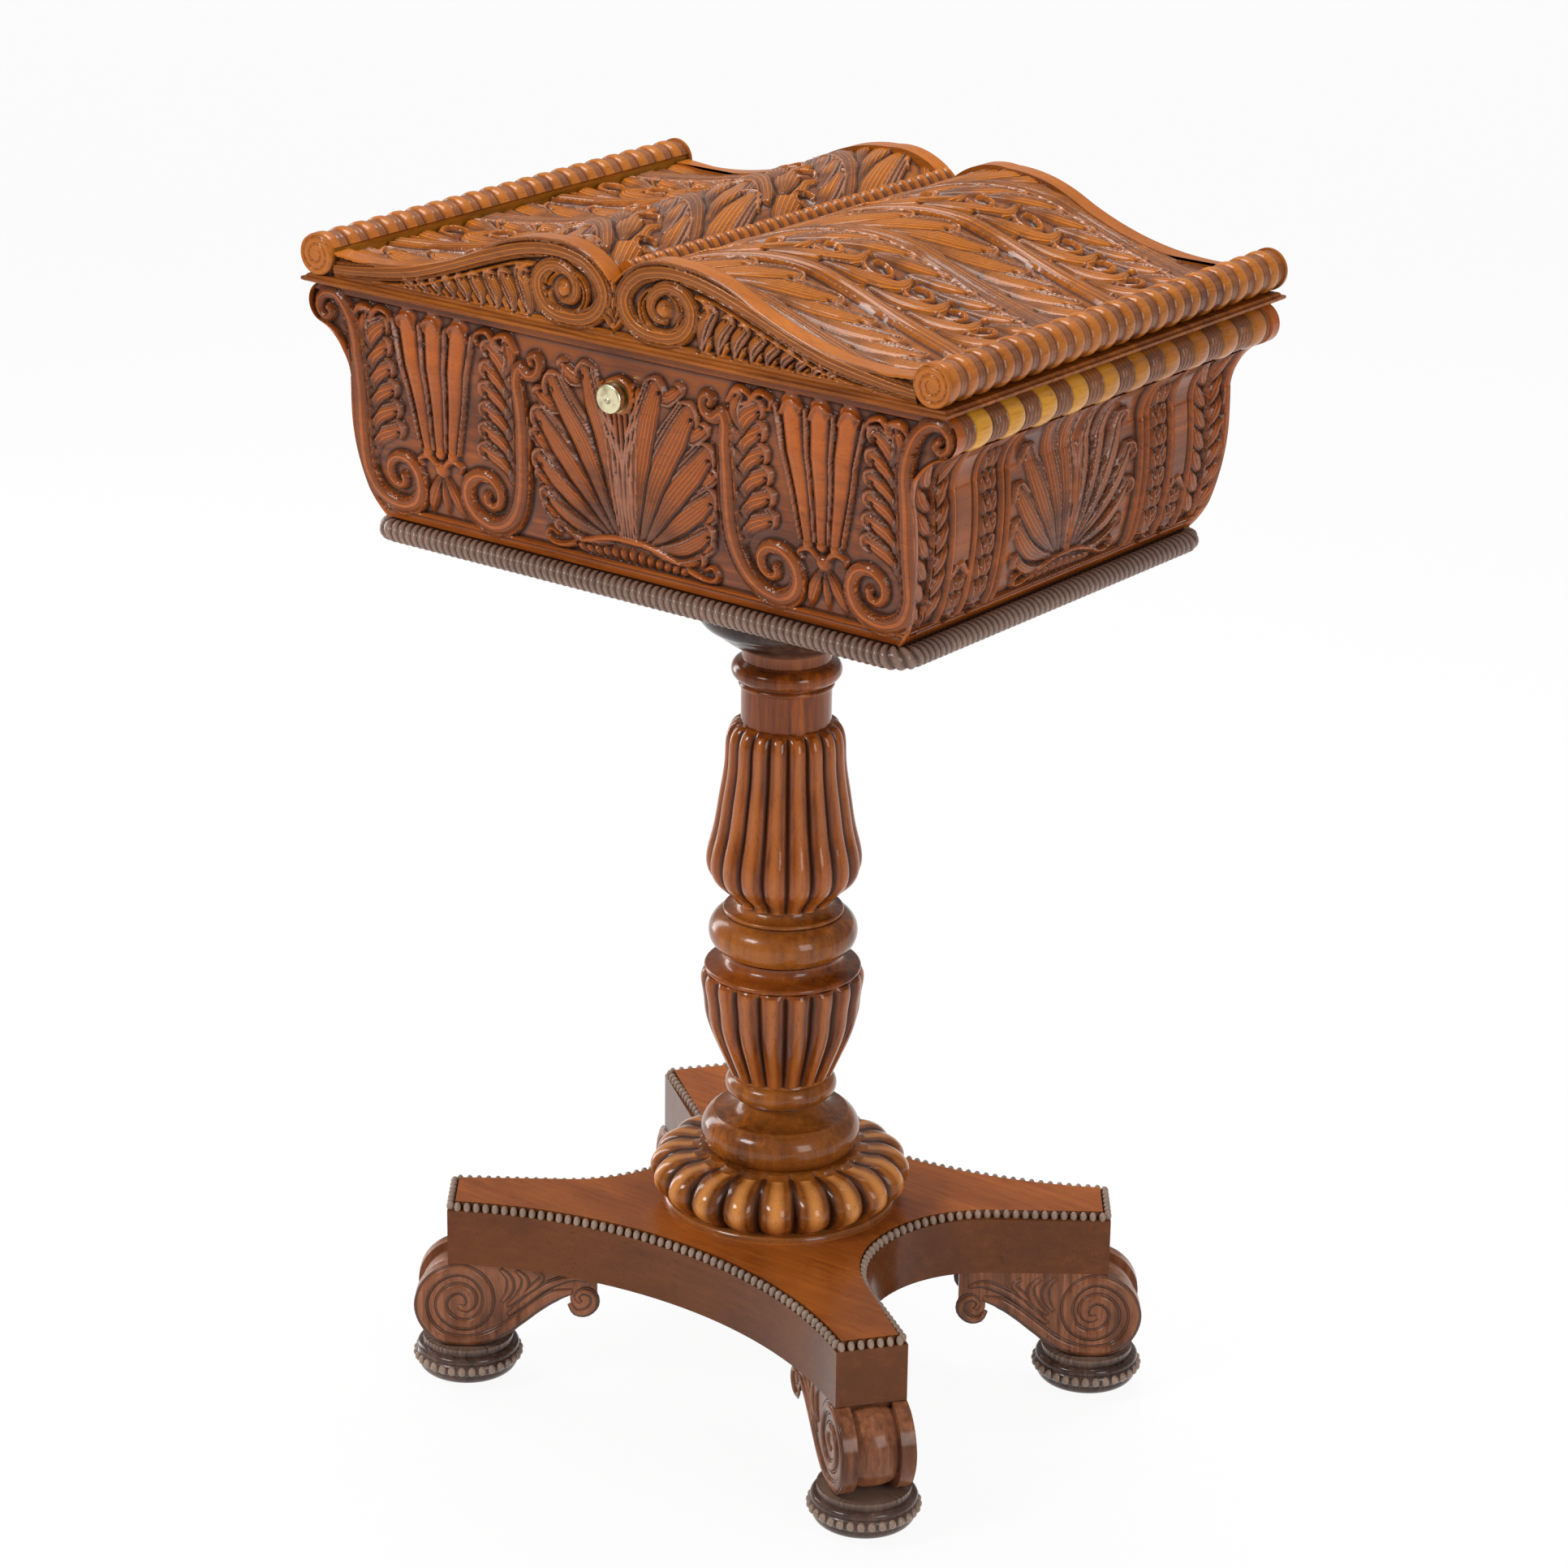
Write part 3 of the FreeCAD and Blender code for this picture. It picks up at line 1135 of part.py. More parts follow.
def lid_board_shape():
    half_x, half_y = lid_length / 2, lid_depth / 2
    across = extruded(board_section(half_x), front_view, vector(0, -half_y - overrun, 0),
                      vector(0, lid_depth + 2 * overrun, 0))
    along = extruded(board_section(half_y), side_view, vector(-half_x - overrun, 0, 0),
                     vector(lid_length + 2 * overrun, 0, 0))
    core = block(-roll_seat_x, roll_seat_x, -lid_top_half, lid_top_half, lid_board_bottom, lid_board_top)
    board = across.common(along).fuse(core).removeSplitter()
    notches = [rod(hinge_barrel_radius + seat_gap * 2,
                   vector(middle_x - hinge_length / 2 - seat_gap, hinge_axis_y, hinge_axis_z),
                   vector(1, 0, 0), hinge_length + 2 * seat_gap)
               for middle_x in (-hinge_offset, hinge_offset)]
    return board.cut(notches + lid_leaves + lid_leaf_screws + striker_screws)


# Striker: a plate that hangs from the lid, with a flange screwed to the lid's underside
striker_screws = [screw(vector(shift, striker_back + striker_flange_depth / 2,
                               lid_board_bottom - striker_thickness), vector(0, 0, 1), screw_radius,
                        screw_length, screw_head_radius, screw_head_height)
                  for shift in (-striker_width / 4, striker_width / 4)]


def striker_shape():
    half = striker_width / 2
    plate = block(-half, half, striker_front, striker_back, striker_bottom, lid_board_bottom)
    flange = block(-half, half, striker_front, striker_back + striker_flange_depth,
                   lid_board_bottom - striker_thickness, lid_board_bottom)
    window_half = catch_plate_width / 2 + seat_gap
    window = block(-window_half, window_half, striker_front - overrun, striker_back + seat_gap,
                   hook_top - catch_nose_height - seat_gap, hook_top + seat_gap)
    return plate.fuse(flange).removeSplitter().cut([window] + striker_screws)


# Lid top: one arch, drawn to the right, from the valley over the crown down to the roll
def arc_between(start, end, radius):
    """Middle point of a short arc from start to end; a positive radius bulges to the left of the way."""
    half = math.hypot(end[0] - start[0], end[1] - start[1]) / 2
    rise = math.copysign(abs(radius) - math.sqrt(radius ** 2 - half ** 2), radius)
    away = (-(end[1] - start[1]) / half / 2, (end[0] - start[0]) / half / 2)
    return ((start[0] + end[0]) / 2 + away[0] * rise, (start[1] + end[1]) / 2 + away[1] * rise)


def arch_steps(start, raise_by):
    """Upper outline of an arch from its inner foot to the roll, lifted by a given height."""
    crown = (arch_offset, lid_board_top + arch_rise + raise_by)
    turn_angle = math.asin((dip_offset - arch_offset) / (arch_radius + dip_radius))
    turn = (arch_offset + arch_radius * math.sin(turn_angle),
            crown[1] - arch_radius * (1 - math.cos(turn_angle)))
    dip = (dip_offset, lid_board_top + dip_rise + raise_by)
    end = (roll_seat_x, dip[1] + (roll_seat_x - dip_offset) * dip_slope_share)
    return [start, (arc_between(start, crown, inner_arch_radius), crown),
            (arc_between(crown, turn, arch_radius), turn), (arc_between(turn, dip, -dip_radius), dip), end]


# Ribs on a lid top: front and back edge of each, as shares of the pitch from band to band
rib_shares = [(-0.075, 0.09), (0.385, 0.48), (0.53, 0.70)]
band_turn_share = 0.54         # where a rib runs straight across, from the valley to the roll
band_counts = (-1, 0, 1)


def top_slab(lowered):
    """A lid top as one smooth arch over its hollow underside, lowered by the depth of the carving."""
    start = (valley_half_width, lid_board_top + valley_rise - lowered)
    shell = lid_shell_thickness
    under_crown = (arch_offset, lid_board_top + arch_rise - shell)
    under_foot = (dip_offset - arch_offset, lid_board_top)
    inner_top = (valley_half_width + shell, lid_board_top + valley_rise - shell)
    steps = arch_steps(start, -lowered)
    steps += [(roll_seat_x, lid_board_top), under_foot, under_crown, inner_top,
              (valley_half_width + shell, lid_board_top), (valley_half_width, lid_board_top)]
    return extruded(steps, front_view, vector(0, -lid_top_half, 0), vector(0, 2 * lid_top_half, 0))


def rib_shape(front, back):
    """Upright prism over one rib, which sweeps across the top in two arcs between two edges."""
    turn_x = valley_half_width + band_turn_share * (roll_seat_x - valley_half_width)

    def edge(y):
        return [(valley_half_width, y - band_sweep),
                (((valley_half_width + turn_x) / 2, y - band_sweep / 4), (turn_x, y)),
                (((turn_x + roll_seat_x) / 2, y - band_return / 4), (roll_seat_x, y - band_return))]
    there, back_edge = edge(front), edge(back)
    home = [back_edge[2][1], (back_edge[2][0], back_edge[1][1]), (back_edge[1][0], back_edge[0])]
    return extruded(there + home, plan_view, vector(0, 0, lid_board_top),
                    vector(0, 0, arch_rise + overrun))


def lid_top_shape():
    """Lid top: broad swept ribs that stand up from a lower arched ground."""
    full = top_slab(0)
    ribs = [full.common(rib_shape((band + front) * band_pitch, (band + back) * band_pitch))
            for band in band_counts for front, back in rib_shares]
    return top_slab(top_carving_depth).fuse([rib for rib in ribs if rib.Solids]).removeSplitter()


def lid_scroll_shape(raise_by):
    """Scroll piece across the lid's front or back: both arches, with a dip over the middle."""
    middle = (0, lid_board_top + scroll_valley_rise)
    right = arch_steps(middle, raise_by)
    crown = right[1][1]
    right[1] = (arc_between(middle, crown, scroll_valley_radius), crown)
    right.append((roll_seat_x, lid_ledge_top))
    start_y = scroll_setback - lid_depth / 2
    return extruded(right + mirrored_steps(right), front_view, vector(0, start_y, 0),
                    vector(0, scroll_thickness, 0))


def valley_band_shape():
    shoulder = lid_board_top + valley_rise
    steps = [(-valley_half_width, lid_board_top), (-valley_half_width, shoulder),
             ((0, lid_board_top + valley_band_rise), (valley_half_width, shoulder)),
             (valley_half_width, lid_board_top)]
    return extruded(steps, front_view, vector(0, -lid_top_half, 0), vector(0, 2 * lid_top_half, 0))


# Rolls along the lid's left and right edges: each unit is a fat ring and a group of thin ones
roll_unit_shares = [(0.0, 0.62, 0.86, 1.0), (0.62, 0.81, 0.84, 0.91), (0.81, 1.0, 0.84, 0.91)]


def lid_roll_shape():
    half = lid_depth / 2 - scroll_setback + roll_end_reach
    roll = ringed_rod(roll_radius, 2 * half, roll_ring_count, roll_unit_shares)
    roll.translate(vector(roll_x, 0, roll_z))
    return roll.common(block(roll_seat_x, roll_x + 2 * roll_radius, -half, half, roll_z - 2 * roll_radius,
                             roll_z + 2 * roll_radius))


lid_board = lid_board_shape()
lid_top = lid_top_shape()
front_scrolls = lid_scroll_shape(scroll_raise)
back_scrolls = mirrored_y(lid_scroll_shape(0)).cut(lid_leaf_screws)
lid_roll = lid_roll_shape()
save("lid_board", lid_board)
save("lid_top_right", lid_top)
save("lid_top_left", mirrored_x(lid_top))
save("lid_front_scrolls", front_scrolls)
save("lid_back_scrolls", back_scrolls)
save("lid_valley_band", valley_band_shape())
save("lid_right_roll", lid_roll)
save("lid_left_roll", mirrored_x(lid_roll))
save("hinge_lid_leaves", *(lid_leaves + lid_leaf_screws))
save("catch_striker", striker_shape(), *striker_screws)
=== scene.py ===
# %% [markdown]
# # A carved tea chest on a stand
# A teapoy is a tea chest raised on a column, so that the lady of the house could mix her blends at
# the table. This one is rosewood, carved all over, with a double-arched lid, a reeded column and
# scroll feet on small castors. The solid parts and joints come ready made. This lesson carves and
# finishes what the eye sees: it opens the ready parts, measures them and then works piece by piece.

# %% Load the packed parts
import json
import math

import bpy
import numpy as np
from mathutils import Matrix, Vector

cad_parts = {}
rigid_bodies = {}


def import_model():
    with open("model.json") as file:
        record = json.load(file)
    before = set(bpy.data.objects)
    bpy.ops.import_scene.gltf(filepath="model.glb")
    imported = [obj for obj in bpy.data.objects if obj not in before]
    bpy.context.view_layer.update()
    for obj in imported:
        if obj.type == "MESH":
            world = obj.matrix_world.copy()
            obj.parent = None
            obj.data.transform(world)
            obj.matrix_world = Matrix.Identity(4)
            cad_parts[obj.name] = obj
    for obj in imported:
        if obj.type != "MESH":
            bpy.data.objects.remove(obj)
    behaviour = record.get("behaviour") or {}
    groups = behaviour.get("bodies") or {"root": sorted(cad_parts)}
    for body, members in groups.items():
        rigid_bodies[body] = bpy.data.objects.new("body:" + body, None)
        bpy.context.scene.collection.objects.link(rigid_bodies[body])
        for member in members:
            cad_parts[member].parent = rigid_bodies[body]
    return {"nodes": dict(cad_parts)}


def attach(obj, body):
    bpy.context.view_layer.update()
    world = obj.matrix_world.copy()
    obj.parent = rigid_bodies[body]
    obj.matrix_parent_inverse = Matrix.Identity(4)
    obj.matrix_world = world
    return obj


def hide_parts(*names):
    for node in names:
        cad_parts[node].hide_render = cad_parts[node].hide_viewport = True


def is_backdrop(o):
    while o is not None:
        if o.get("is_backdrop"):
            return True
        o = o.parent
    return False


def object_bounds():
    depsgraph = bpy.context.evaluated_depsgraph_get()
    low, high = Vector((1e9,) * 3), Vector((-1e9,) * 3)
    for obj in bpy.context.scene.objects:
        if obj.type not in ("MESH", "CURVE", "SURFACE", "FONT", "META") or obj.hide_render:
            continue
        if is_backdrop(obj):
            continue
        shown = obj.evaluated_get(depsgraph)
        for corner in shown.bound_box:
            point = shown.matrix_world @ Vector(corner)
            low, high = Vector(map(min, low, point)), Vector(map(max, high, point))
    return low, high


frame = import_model()
nodes = frame["nodes"]
size = {"loaded": [list(corner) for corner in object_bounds()]}
print("parts:", len(nodes), "overall size in mm:",
      [round(1000 * (high - low)) for low, high in zip(*size["loaded"])])

# %% [markdown]
# ## The camera and the photographer's sweep
# The chest was photographed from a little above, with a long lens, so upright lines hardly lean.
# We stand the camera at the same place. The floor rolls up into the backdrop without an edge, the
# way a studio paper roll does, so that no horizon line crosses the picture.

# %% Camera
CAMERA_PLACE = (1.6643, -2.1852, 1.4343)
CAMERA_TURN, CAMERA_DOWN, CAMERA_ROLL = (math.radians(a) for a in (37.31, 20.35, 0.817))
camera_data = bpy.data.cameras.new("studio_camera")
camera = bpy.data.objects.new("studio_camera", camera_data)
bpy.context.scene.collection.objects.link(camera)
camera_data.sensor_width = 36.0
camera_data.lens = 107.65
camera.matrix_world = (Matrix.Translation(CAMERA_PLACE)
                       @ Matrix.Rotation(CAMERA_TURN, 4, "Z")
                       @ Matrix.Rotation(math.pi / 2 - CAMERA_DOWN, 4, "X")
                       @ Matrix.Rotation(CAMERA_ROLL, 4, "Z"))
bpy.context.scene.camera = camera
print("camera lens:", round(camera_data.lens, 1), "mm")

# %% Floor and backdrop
def add_grid(name, columns, rows):
    """A flat grid of the given number of points each way, in row-by-row order."""
    bpy.ops.object.select_all(action="DESELECT")
    bpy.ops.mesh.primitive_grid_add(x_subdivisions=columns - 1, y_subdivisions=rows - 1, size=1.0)
    obj = bpy.context.object
    obj.name = obj.data.name = name
    return obj


def get_points(obj):
    """Places of a mesh's points in metres, a row for each."""
    flat = np.empty(len(obj.data.vertices) * 3, np.float32)
    obj.data.vertices.foreach_get("co", flat)
    return flat.reshape(-1, 3)


def set_points(obj, points):
    """Moves the first points of a mesh to an array of places, in metres."""
    flat = get_points(obj).reshape(-1)
    flat[:points.size] = points.reshape(-1)
    obj.data.vertices.foreach_set("co", flat)
    obj.data.update()


def paper_roll(name):
    """Floor and backdrop in one strip, which lies flat and then bends up behind the chest; in metres."""
    before, behind, bend, half_width, rows = 4.0, 3.2, 1.2, 6.0, 40
    away, across = Vector((-0.606, 0.795, 0)), Vector((0.795, 0.606, 0))
    distance = np.linspace(0, 1, rows) * (behind + bend * math.pi / 2 + 3.0) - before
    bent = np.clip((distance - behind) / bend, 0, math.pi / 2)
    out = np.minimum(distance, behind) + bend * np.sin(bent)
    up = bend * (1 - np.cos(bent))
    points = [away * o + across * s + Vector((0, 0, h))
              for o, h in zip(out, up) for s in (-half_width, 0, half_width)]
    obj = add_grid(name, 3, rows)
    set_points(obj, np.array([list(p) for p in points]))
    bpy.ops.object.shade_smooth()
    obj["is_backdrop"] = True
    return obj


sweep = paper_roll("studio_sweep")
print("floor and backdrop points:", len(sweep.data.vertices))

# %% [markdown]
# ## A carver's drawing made of strokes
# Each carved face begins as a drawing. A stroke is one sweep of a gouge: a smooth path with a width
# and a height along it and a round, soft or banded section across it. Modelling every leaf as a mesh
# of its own would take days and leave seams between them; a drawing can be changed in one line.

# %% Paths and sections of strokes
def smooth_path(points, spacing=1.3):
    """Smooth curve through the points, given again as closely spaced points."""
    p = np.array(points, float)
    q = np.vstack([2 * p[0] - p[1], p, 2 * p[-1] - p[-2]])
    parts = []
    for a, b, c, d in zip(q[:-3], q[1:-2], q[2:-1], q[3:]):
        t = np.linspace(0, 1, max(2, int(np.linalg.norm(c - b) / spacing)), endpoint=False)[:, None]
        parts.append(0.5 * (2 * b + (c - a) * t + (2 * a - 5 * b + 4 * c - d) * t ** 2
                            + (3 * b - a - 3 * c + d) * t ** 3))
    return np.vstack(parts + [p[-1:]])


SECTIONS = {
    "round": lambda c: np.sqrt(np.clip(1 - c * c, 0, 1)),
    "soft": lambda c: (1 - c * c) ** 2,
    "band": lambda c: np.select([c < 0.60, c < 0.72], [1 - 0.10 * (c / 0.60) ** 2, 0.62],
                                np.sqrt(np.clip(1 - ((c - 0.84) / 0.16) ** 2, 0, 1)) * 0.92),
}
print("sections of a stroke:", list(SECTIONS))

# %% [markdown]
# All strokes of a face are laid on a fine raster of heights in millimetres. Where strokes meet, the
# higher one wins, and that gives the sharp valleys that make carving sparkle. Cuts are then taken out
# of the result. A mesh would need a cut for each stroke, but a raster takes thousands in seconds.

# %% Raster of heights
class Relief:
    """Heights in millimetres above a carved ground, on a raster of square cells."""

    def __init__(self, low, high, cell=0.6):
        self.low, self.cell = low, cell
        self.u = low[0] + cell * np.arange(int((high[0] - low[0]) / cell) + 2)
        self.v = low[1] + cell * np.arange(int((high[1] - low[1]) / cell) + 2)
        self.h = np.zeros((len(self.v), len(self.u)))
        self.vein, self.tint = np.zeros(self.h.shape), np.zeros(self.h.shape)

    def window(self, low, high):
        """Rows and columns of the cells between two corners."""
        i0, i1 = np.searchsorted(self.v, low[1]), np.searchsorted(self.v, high[1])
        j0, j1 = np.searchsorted(self.u, low[0]), np.searchsorted(self.u, high[0])
        return slice(i0, i1), slice(j0, j1)

    def trace(self, points, reach):
        """For the cells beside a path: their window, distance to it, share of it passed and side of it."""
        path = smooth_path(points)
        part = self.window(path.min(0) - reach, path.max(0) + reach)
        uu, vv = np.meshgrid(self.u[part[1]], self.v[part[0]])
        near = np.full(uu.shape, 1e9)
        share, side = np.zeros(uu.shape), np.ones(uu.shape)
        steps = np.linalg.norm(np.diff(path, axis=0), axis=1)
        passed = np.concatenate([[0], np.cumsum(steps)]) / max(steps.sum(), 1e-9)
        base_i, base_j = part[0].start, part[1].start
        for k in range(len(path) - 1):
            a, b = path[k], path[k + 1]
            w = self.window(np.minimum(a, b) - reach, np.maximum(a, b) + reach)
            w = (slice(max(w[0].start - base_i, 0), max(w[0].stop - base_i, 0)),
                 slice(max(w[1].start - base_j, 0), max(w[1].stop - base_j, 0)))
            du, dv = b - a
            square = max(du * du + dv * dv, 1e-12)
            t = np.clip(((uu[w] - a[0]) * du + (vv[w] - a[1]) * dv) / square, 0, 1)
            d = np.hypot(uu[w] - a[0] - t * du, vv[w] - a[1] - t * dv)
            closer = d < near[w]
            near[w] = np.where(closer, d, near[w])
            side[w] = np.where(closer, np.sign(du * (vv[w] - a[1]) - dv * (uu[w] - a[0])), side[w])
            share[w] = np.where(closer, passed[k] + t * (passed[k + 1] - passed[k]), share[w])
        return part, near, share, side

    def stroke(self, points, widths, rises, section="round", cut=False, veins=0.0, ceiling=None,
               tint=(0.0, 0.0)):
        """Raises a stroke over the ground, cuts one out of what is there, or presses it down to a ceiling.
        Veins is the number of fine lines on each side of the stroke's middle. Tint runs along the stroke,
        from -1 for grey, which is dust and a painted sheen, to 1 for wood rubbed orange."""
        part, near, share, side = self.trace(points, max(widths) / 2 + self.cell)
        half = np.interp(share, np.linspace(0, 1, len(widths)), widths) / 2
        rise = np.interp(share, np.linspace(0, 1, len(rises)), rises)
        c = near / np.maximum(half, 1e-6)
        made = rise * SECTIONS[section](np.clip(c, 0, 1))
        held = self.h[part]
        if ceiling is not None:
            self.h[part] = np.where(c < 1, np.minimum(held, ceiling), held)
        elif cut:
            self.h[part] = np.where(c < 1, held - made, held)
        else:
            wins = (c < 1) & (made > held)
            self.h[part] = np.where(wins, made, held)
            self.vein[part] = np.where(wins, veins * c * side, self.vein[part])
            shade = np.interp(share, np.linspace(0, 1, len(tint)), tint)
            self.tint[part] = np.where(wins, shade, self.tint[part])

    def sample(self, u, v):
        """Heights, veins and tints at any places, blended between cells."""
        fu = np.clip((u - self.u[0]) / self.cell, 0, len(self.u) - 1.001)
        fv = np.clip((v - self.v[0]) / self.cell, 0, len(self.v) - 1.001)
        i, j = fv.astype(int), fu.astype(int)
        a, b = fv - i, fu - j
        return [(held[i, j] * (1 - a) + held[i + 1, j] * a) * (1 - b)
                + (held[i, j + 1] * (1 - a) + held[i + 1, j + 1] * a) * b
                for held in (self.h, self.vein, self.tint)]


print("cells in a square of 30 mm:", Relief((0, 0), (30, 30)).h.size)

# %% [markdown]
# A few motifs return from face to face: the pointed leaf, the broad lobe of an acanthus leaf with its
# curled tip, the husk and the ball. Each is a handful of strokes in a fixed order. What lies under a
# leaf, lobe or husk is first pressed down, so that a shadow line goes round it.

# %% Leaves, lobes, husks and balls
class Carving(Relief):
    """A relief with the motifs that all faces share."""

    def leaf(self, root, bow, tip, width, rise, veins=2):
        """One leaf over what lies under it: it swells, closes to a point and has fine veins along it."""
        path = [root, bow, tip]
        widths = np.array([width * 0.35, width * 0.8, width, width * 0.75, 0.6])
        self.stroke(path, widths + (1, 2, 2.2, 2, 0.9), [1], ceiling=1.6)
        self.stroke(path, widths, rise * np.array([0.6, 0.85, 1, 0.95, 0.5]), veins=veins,
                    tint=(-0.4, 0.6, 0.9, 0.2))

    def lobe(self, root, bow, tip, width, rise, side=1, ridges=3, veins=3):
        """Broad acanthus lobe over what is there: a veined body, ridges along one edge, a curled tip."""
        root, bow, tip = (np.array(p, float) for p in (root, bow, tip))
        body = width * np.array([0.3, 0.75, 1, 0.95, 0.5])
        self.stroke([root, bow, tip], body + (0, 1.4, 2.4, 2.8, 2.8), [1], ceiling=1.4)
        self.stroke([root, bow, tip], body, rise * np.array([0.60, 0.80, 0.93, 0.95, 0.8]), veins=veins,
                    tint=(-0.6, -0.2, 0.7, 1.0, 0.9))
        whole = (tip - root) / np.linalg.norm(tip - root)
        last = (tip - bow) / np.linalg.norm(tip - bow)
        aside = side * np.array([-whole[1], whole[0]])
        beside = side * np.array([-last[1], last[0]])
        for k in range(ridges):
            reach = width * 0.50 - 2.6 * k
            ridge = [root + aside * reach * 0.3, bow + aside * reach, tip + beside * reach * 0.8 - last]
            self.stroke(ridge, [1.2, 2.3, 2.6, 1.8], rise * np.array([0.72, 1.03, 1.16, 1]),
                        tint=(-0.7, -1, -0.8))
        hook = [tip + beside * width * 0.34, tip + last * width * 0.20, tip - beside * width * 0.32,
                tip - beside * width * 0.46 - last * width * 0.28]
        self.stroke(hook, [2.0, 3.8, 3.8, 2.2], rise * np.array([1, 1.18, 1.18, 0.9]), tint=(-0.6, -0.3))
        eye = tip - beside * width * 0.16 - last * width * 0.24
        self.stroke([eye, eye - last * 1.2], [width * 0.2, width * 0.13], [3.0, 2.2], "soft", cut=True)

    def husk(self, x, z, width, tall, rise):
        """Bell-shaped husk that hangs over the next one: three petals from a collar."""
        self.stroke([(x, z - 1), (x, z + tall * 0.55)], [width * 0.9, width * 1.15], [1], ceiling=1.4)
        for lean in (-1, 1, 0):
            petal = [(x + lean * width * out, z + tall * up)
                     for out, up in ((0.16, 0), (0.36, 0.55), (0.46, 1))]
            self.stroke(petal, width * np.array([0.34, 0.52, 0.16]),
                        rise * np.array([0.8, 1.0 if lean else 1.12, 0.9]), veins=1, tint=(-0.5, 0.5, 0.8))
        self.stroke([(x - width * 0.36, z), (x, z - 1.0), (x + width * 0.36, z)], [2.4, 3.0, 2.4], [rise])

    def ball(self, centre, radius, rise):
        """Half of a ball, made as a stroke that hardly moves."""
        self.stroke([centre, (centre[0] + 0.01, centre[1])], [radius * 2], [rise])


print("motifs:", [word for word in vars(Carving) if not word.startswith("_")])

# %% [markdown]
# ## From a drawing to a carved board
# A carved face is a fine grid laid on the outside of its board. Every point sinks by as much as the
# relief is lower than its highest stroke, so the carving is cut into the board and nothing stands
# out past its old surface. The open edge of the grid is then extruded to the inner side and closed,
# and the board is solid again. Four numbers are kept at each point for the finish: how high it
# stands, how deep it lies among its neighbours, which darkens it as dirt and as painted shade, how
# far it leans to grey or to orange, the grey being dust and a painted sheen, and where it lies
# between the fine veins of its stroke.

# %% Numbers kept for the finish
AROUND = 14                    # how often heights are averaged to find the wood around a point


def softened(heights, times):
    """Averages each cell with its neighbours a number of times."""
    h = heights.copy()
    for _ in range(times):
        p = np.pad(h, 1, mode="edge")
        h = (p[:-2, 1:-1] + p[2:, 1:-1] + p[1:-1, :-2] + p[1:-1, 2:] + 2 * h) / 6
    return h


def keep_attribute(obj, name, values, elsewhere=0.5):
    """Keeps one number for each of the first points, and a middling one for the rest."""
    attribute = obj.data.attributes.new(name, "FLOAT", "POINT")
    full = np.full(len(obj.data.vertices), elsewhere, np.float32)
    full[:values.size] = values.reshape(-1)
    attribute.data.foreach_set("value", full)


def keep_wear_shade_and_sheen(obj, high, hollow, tint):
    """Keeps how high each point stands, how deep it lies, which the finish turns into dirt and painted
    shade, and how far it leans to grey, of dust and painted sheen, or orange.
    """
    for name, values in (("high", high), ("hollow", hollow), ("tint", tint)):
        keep_attribute(obj, name, np.clip(values, 0, 1))


def keep_carved_wear_shade_and_sheen(obj, heights, vein, tint, depth):
    """Keeps the wear, painted shade and painted sheen of a carved face, worked out from its heights, and
    where its fine veins run.
    """
    # hollow is low where a point lies below the wood around it; the finish darkens such places as dirt and
    # as painted shade
    hollow = 0.5 + (heights - softened(heights, AROUND)) * 0.45
    keep_wear_shade_and_sheen(obj, heights / depth, hollow, 0.5 + 0.5 * tint)
    keep_attribute(obj, "vein", vein, 0.0)


# %% Closing and finishing a piece
MM = 0.001                     # a millimetre in metres


def select_only(obj):
    """Leaves one object selected and active, so that the next operator works on it alone."""
    bpy.ops.object.select_all(action="DESELECT")
    obj.select_set(True)
    bpy.context.view_layer.objects.active = obj


def face_outwards(obj, merge=False):
    """Turns all faces outwards; merge first joins points that lie on each other, which closes seams."""
    select_only(obj)
    bpy.ops.object.mode_set(mode="EDIT")
    bpy.ops.mesh.select_mode(type="VERT")
    bpy.ops.mesh.select_all(action="SELECT")
    if merge:
        bpy.ops.mesh.remove_doubles(threshold=1e-6)
    bpy.ops.mesh.normals_make_consistent(inside=False)
    bpy.ops.object.mode_set(mode="OBJECT")


def onto(axis, place):
    """A move that puts points onto a plane across the axis, at a place in millimetres."""
    def move(points):
        points[:, "xyz".index(axis)] = place * MM
        return points
    return move


def close_board(obj, inner):
    """Extrudes the grid's rim to the inner side and fills it; inner turns rim points into inner ones."""
    count = len(obj.data.vertices)
    select_only(obj)
    bpy.ops.object.mode_set(mode="EDIT")
    bpy.ops.mesh.select_mode(type="EDGE")
    bpy.ops.mesh.select_all(action="DESELECT")
    bpy.ops.mesh.select_non_manifold()
    bpy.ops.mesh.extrude_edges_move()
    bpy.ops.mesh.select_mode(type="VERT")
    bpy.ops.mesh.edge_face_add()
    bpy.ops.object.mode_set(mode="OBJECT")
    points = get_points(obj)
    points[count:] = inner(points[count:].copy())
    set_points(obj, points)
    face_outwards(obj)
    bpy.ops.object.shade_smooth_by_angle(angle=math.radians(38))


def finish_piece(obj, body, *replaced):
    """Lets a piece ride on its body, in place of the plain parts that it replaces."""
    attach(obj, body)
    if replaced:
        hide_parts(*replaced)
    print(obj.name, "triangles:", sum(len(p.vertices) - 2 for p in obj.data.polygons))


# %% [markdown]
# ## The box profile
# Seen from the front the box has the line of a bell turned upside down: it swells from the base,
# stands nearly upright and flares out at the top under the rails. The same line is read here from a
# few measured heights, so that both fronts and both ends meet along their corners.

# %% Profiles of the box
RIM, FOOT = 731.7, 587.0
RAIL_X, RAIL_Z, RAIL_R = 228.5, 719.0, 12.7
FOOT_X, FOOT_Y, SWELL_X, SWELL_Y = 194.0, 150.0, 17.2, 16.0
HOLLOW_Z, HOLLOW_R = 676.0, 32.5
END_SHARES = ((0, 0), (0.35, 0.055), (0.62, 0.12), (1, 0.40), (0.94, 0.615))
FRONT_SHARES = ((0, 0), (0.45, 0.20), (0.76, 0.50), (0.86, 0.62), (1, 0.72))


def midpoint(a, b):
    return ((a[0] + b[0]) / 2, (a[1] + b[1]) / 2)


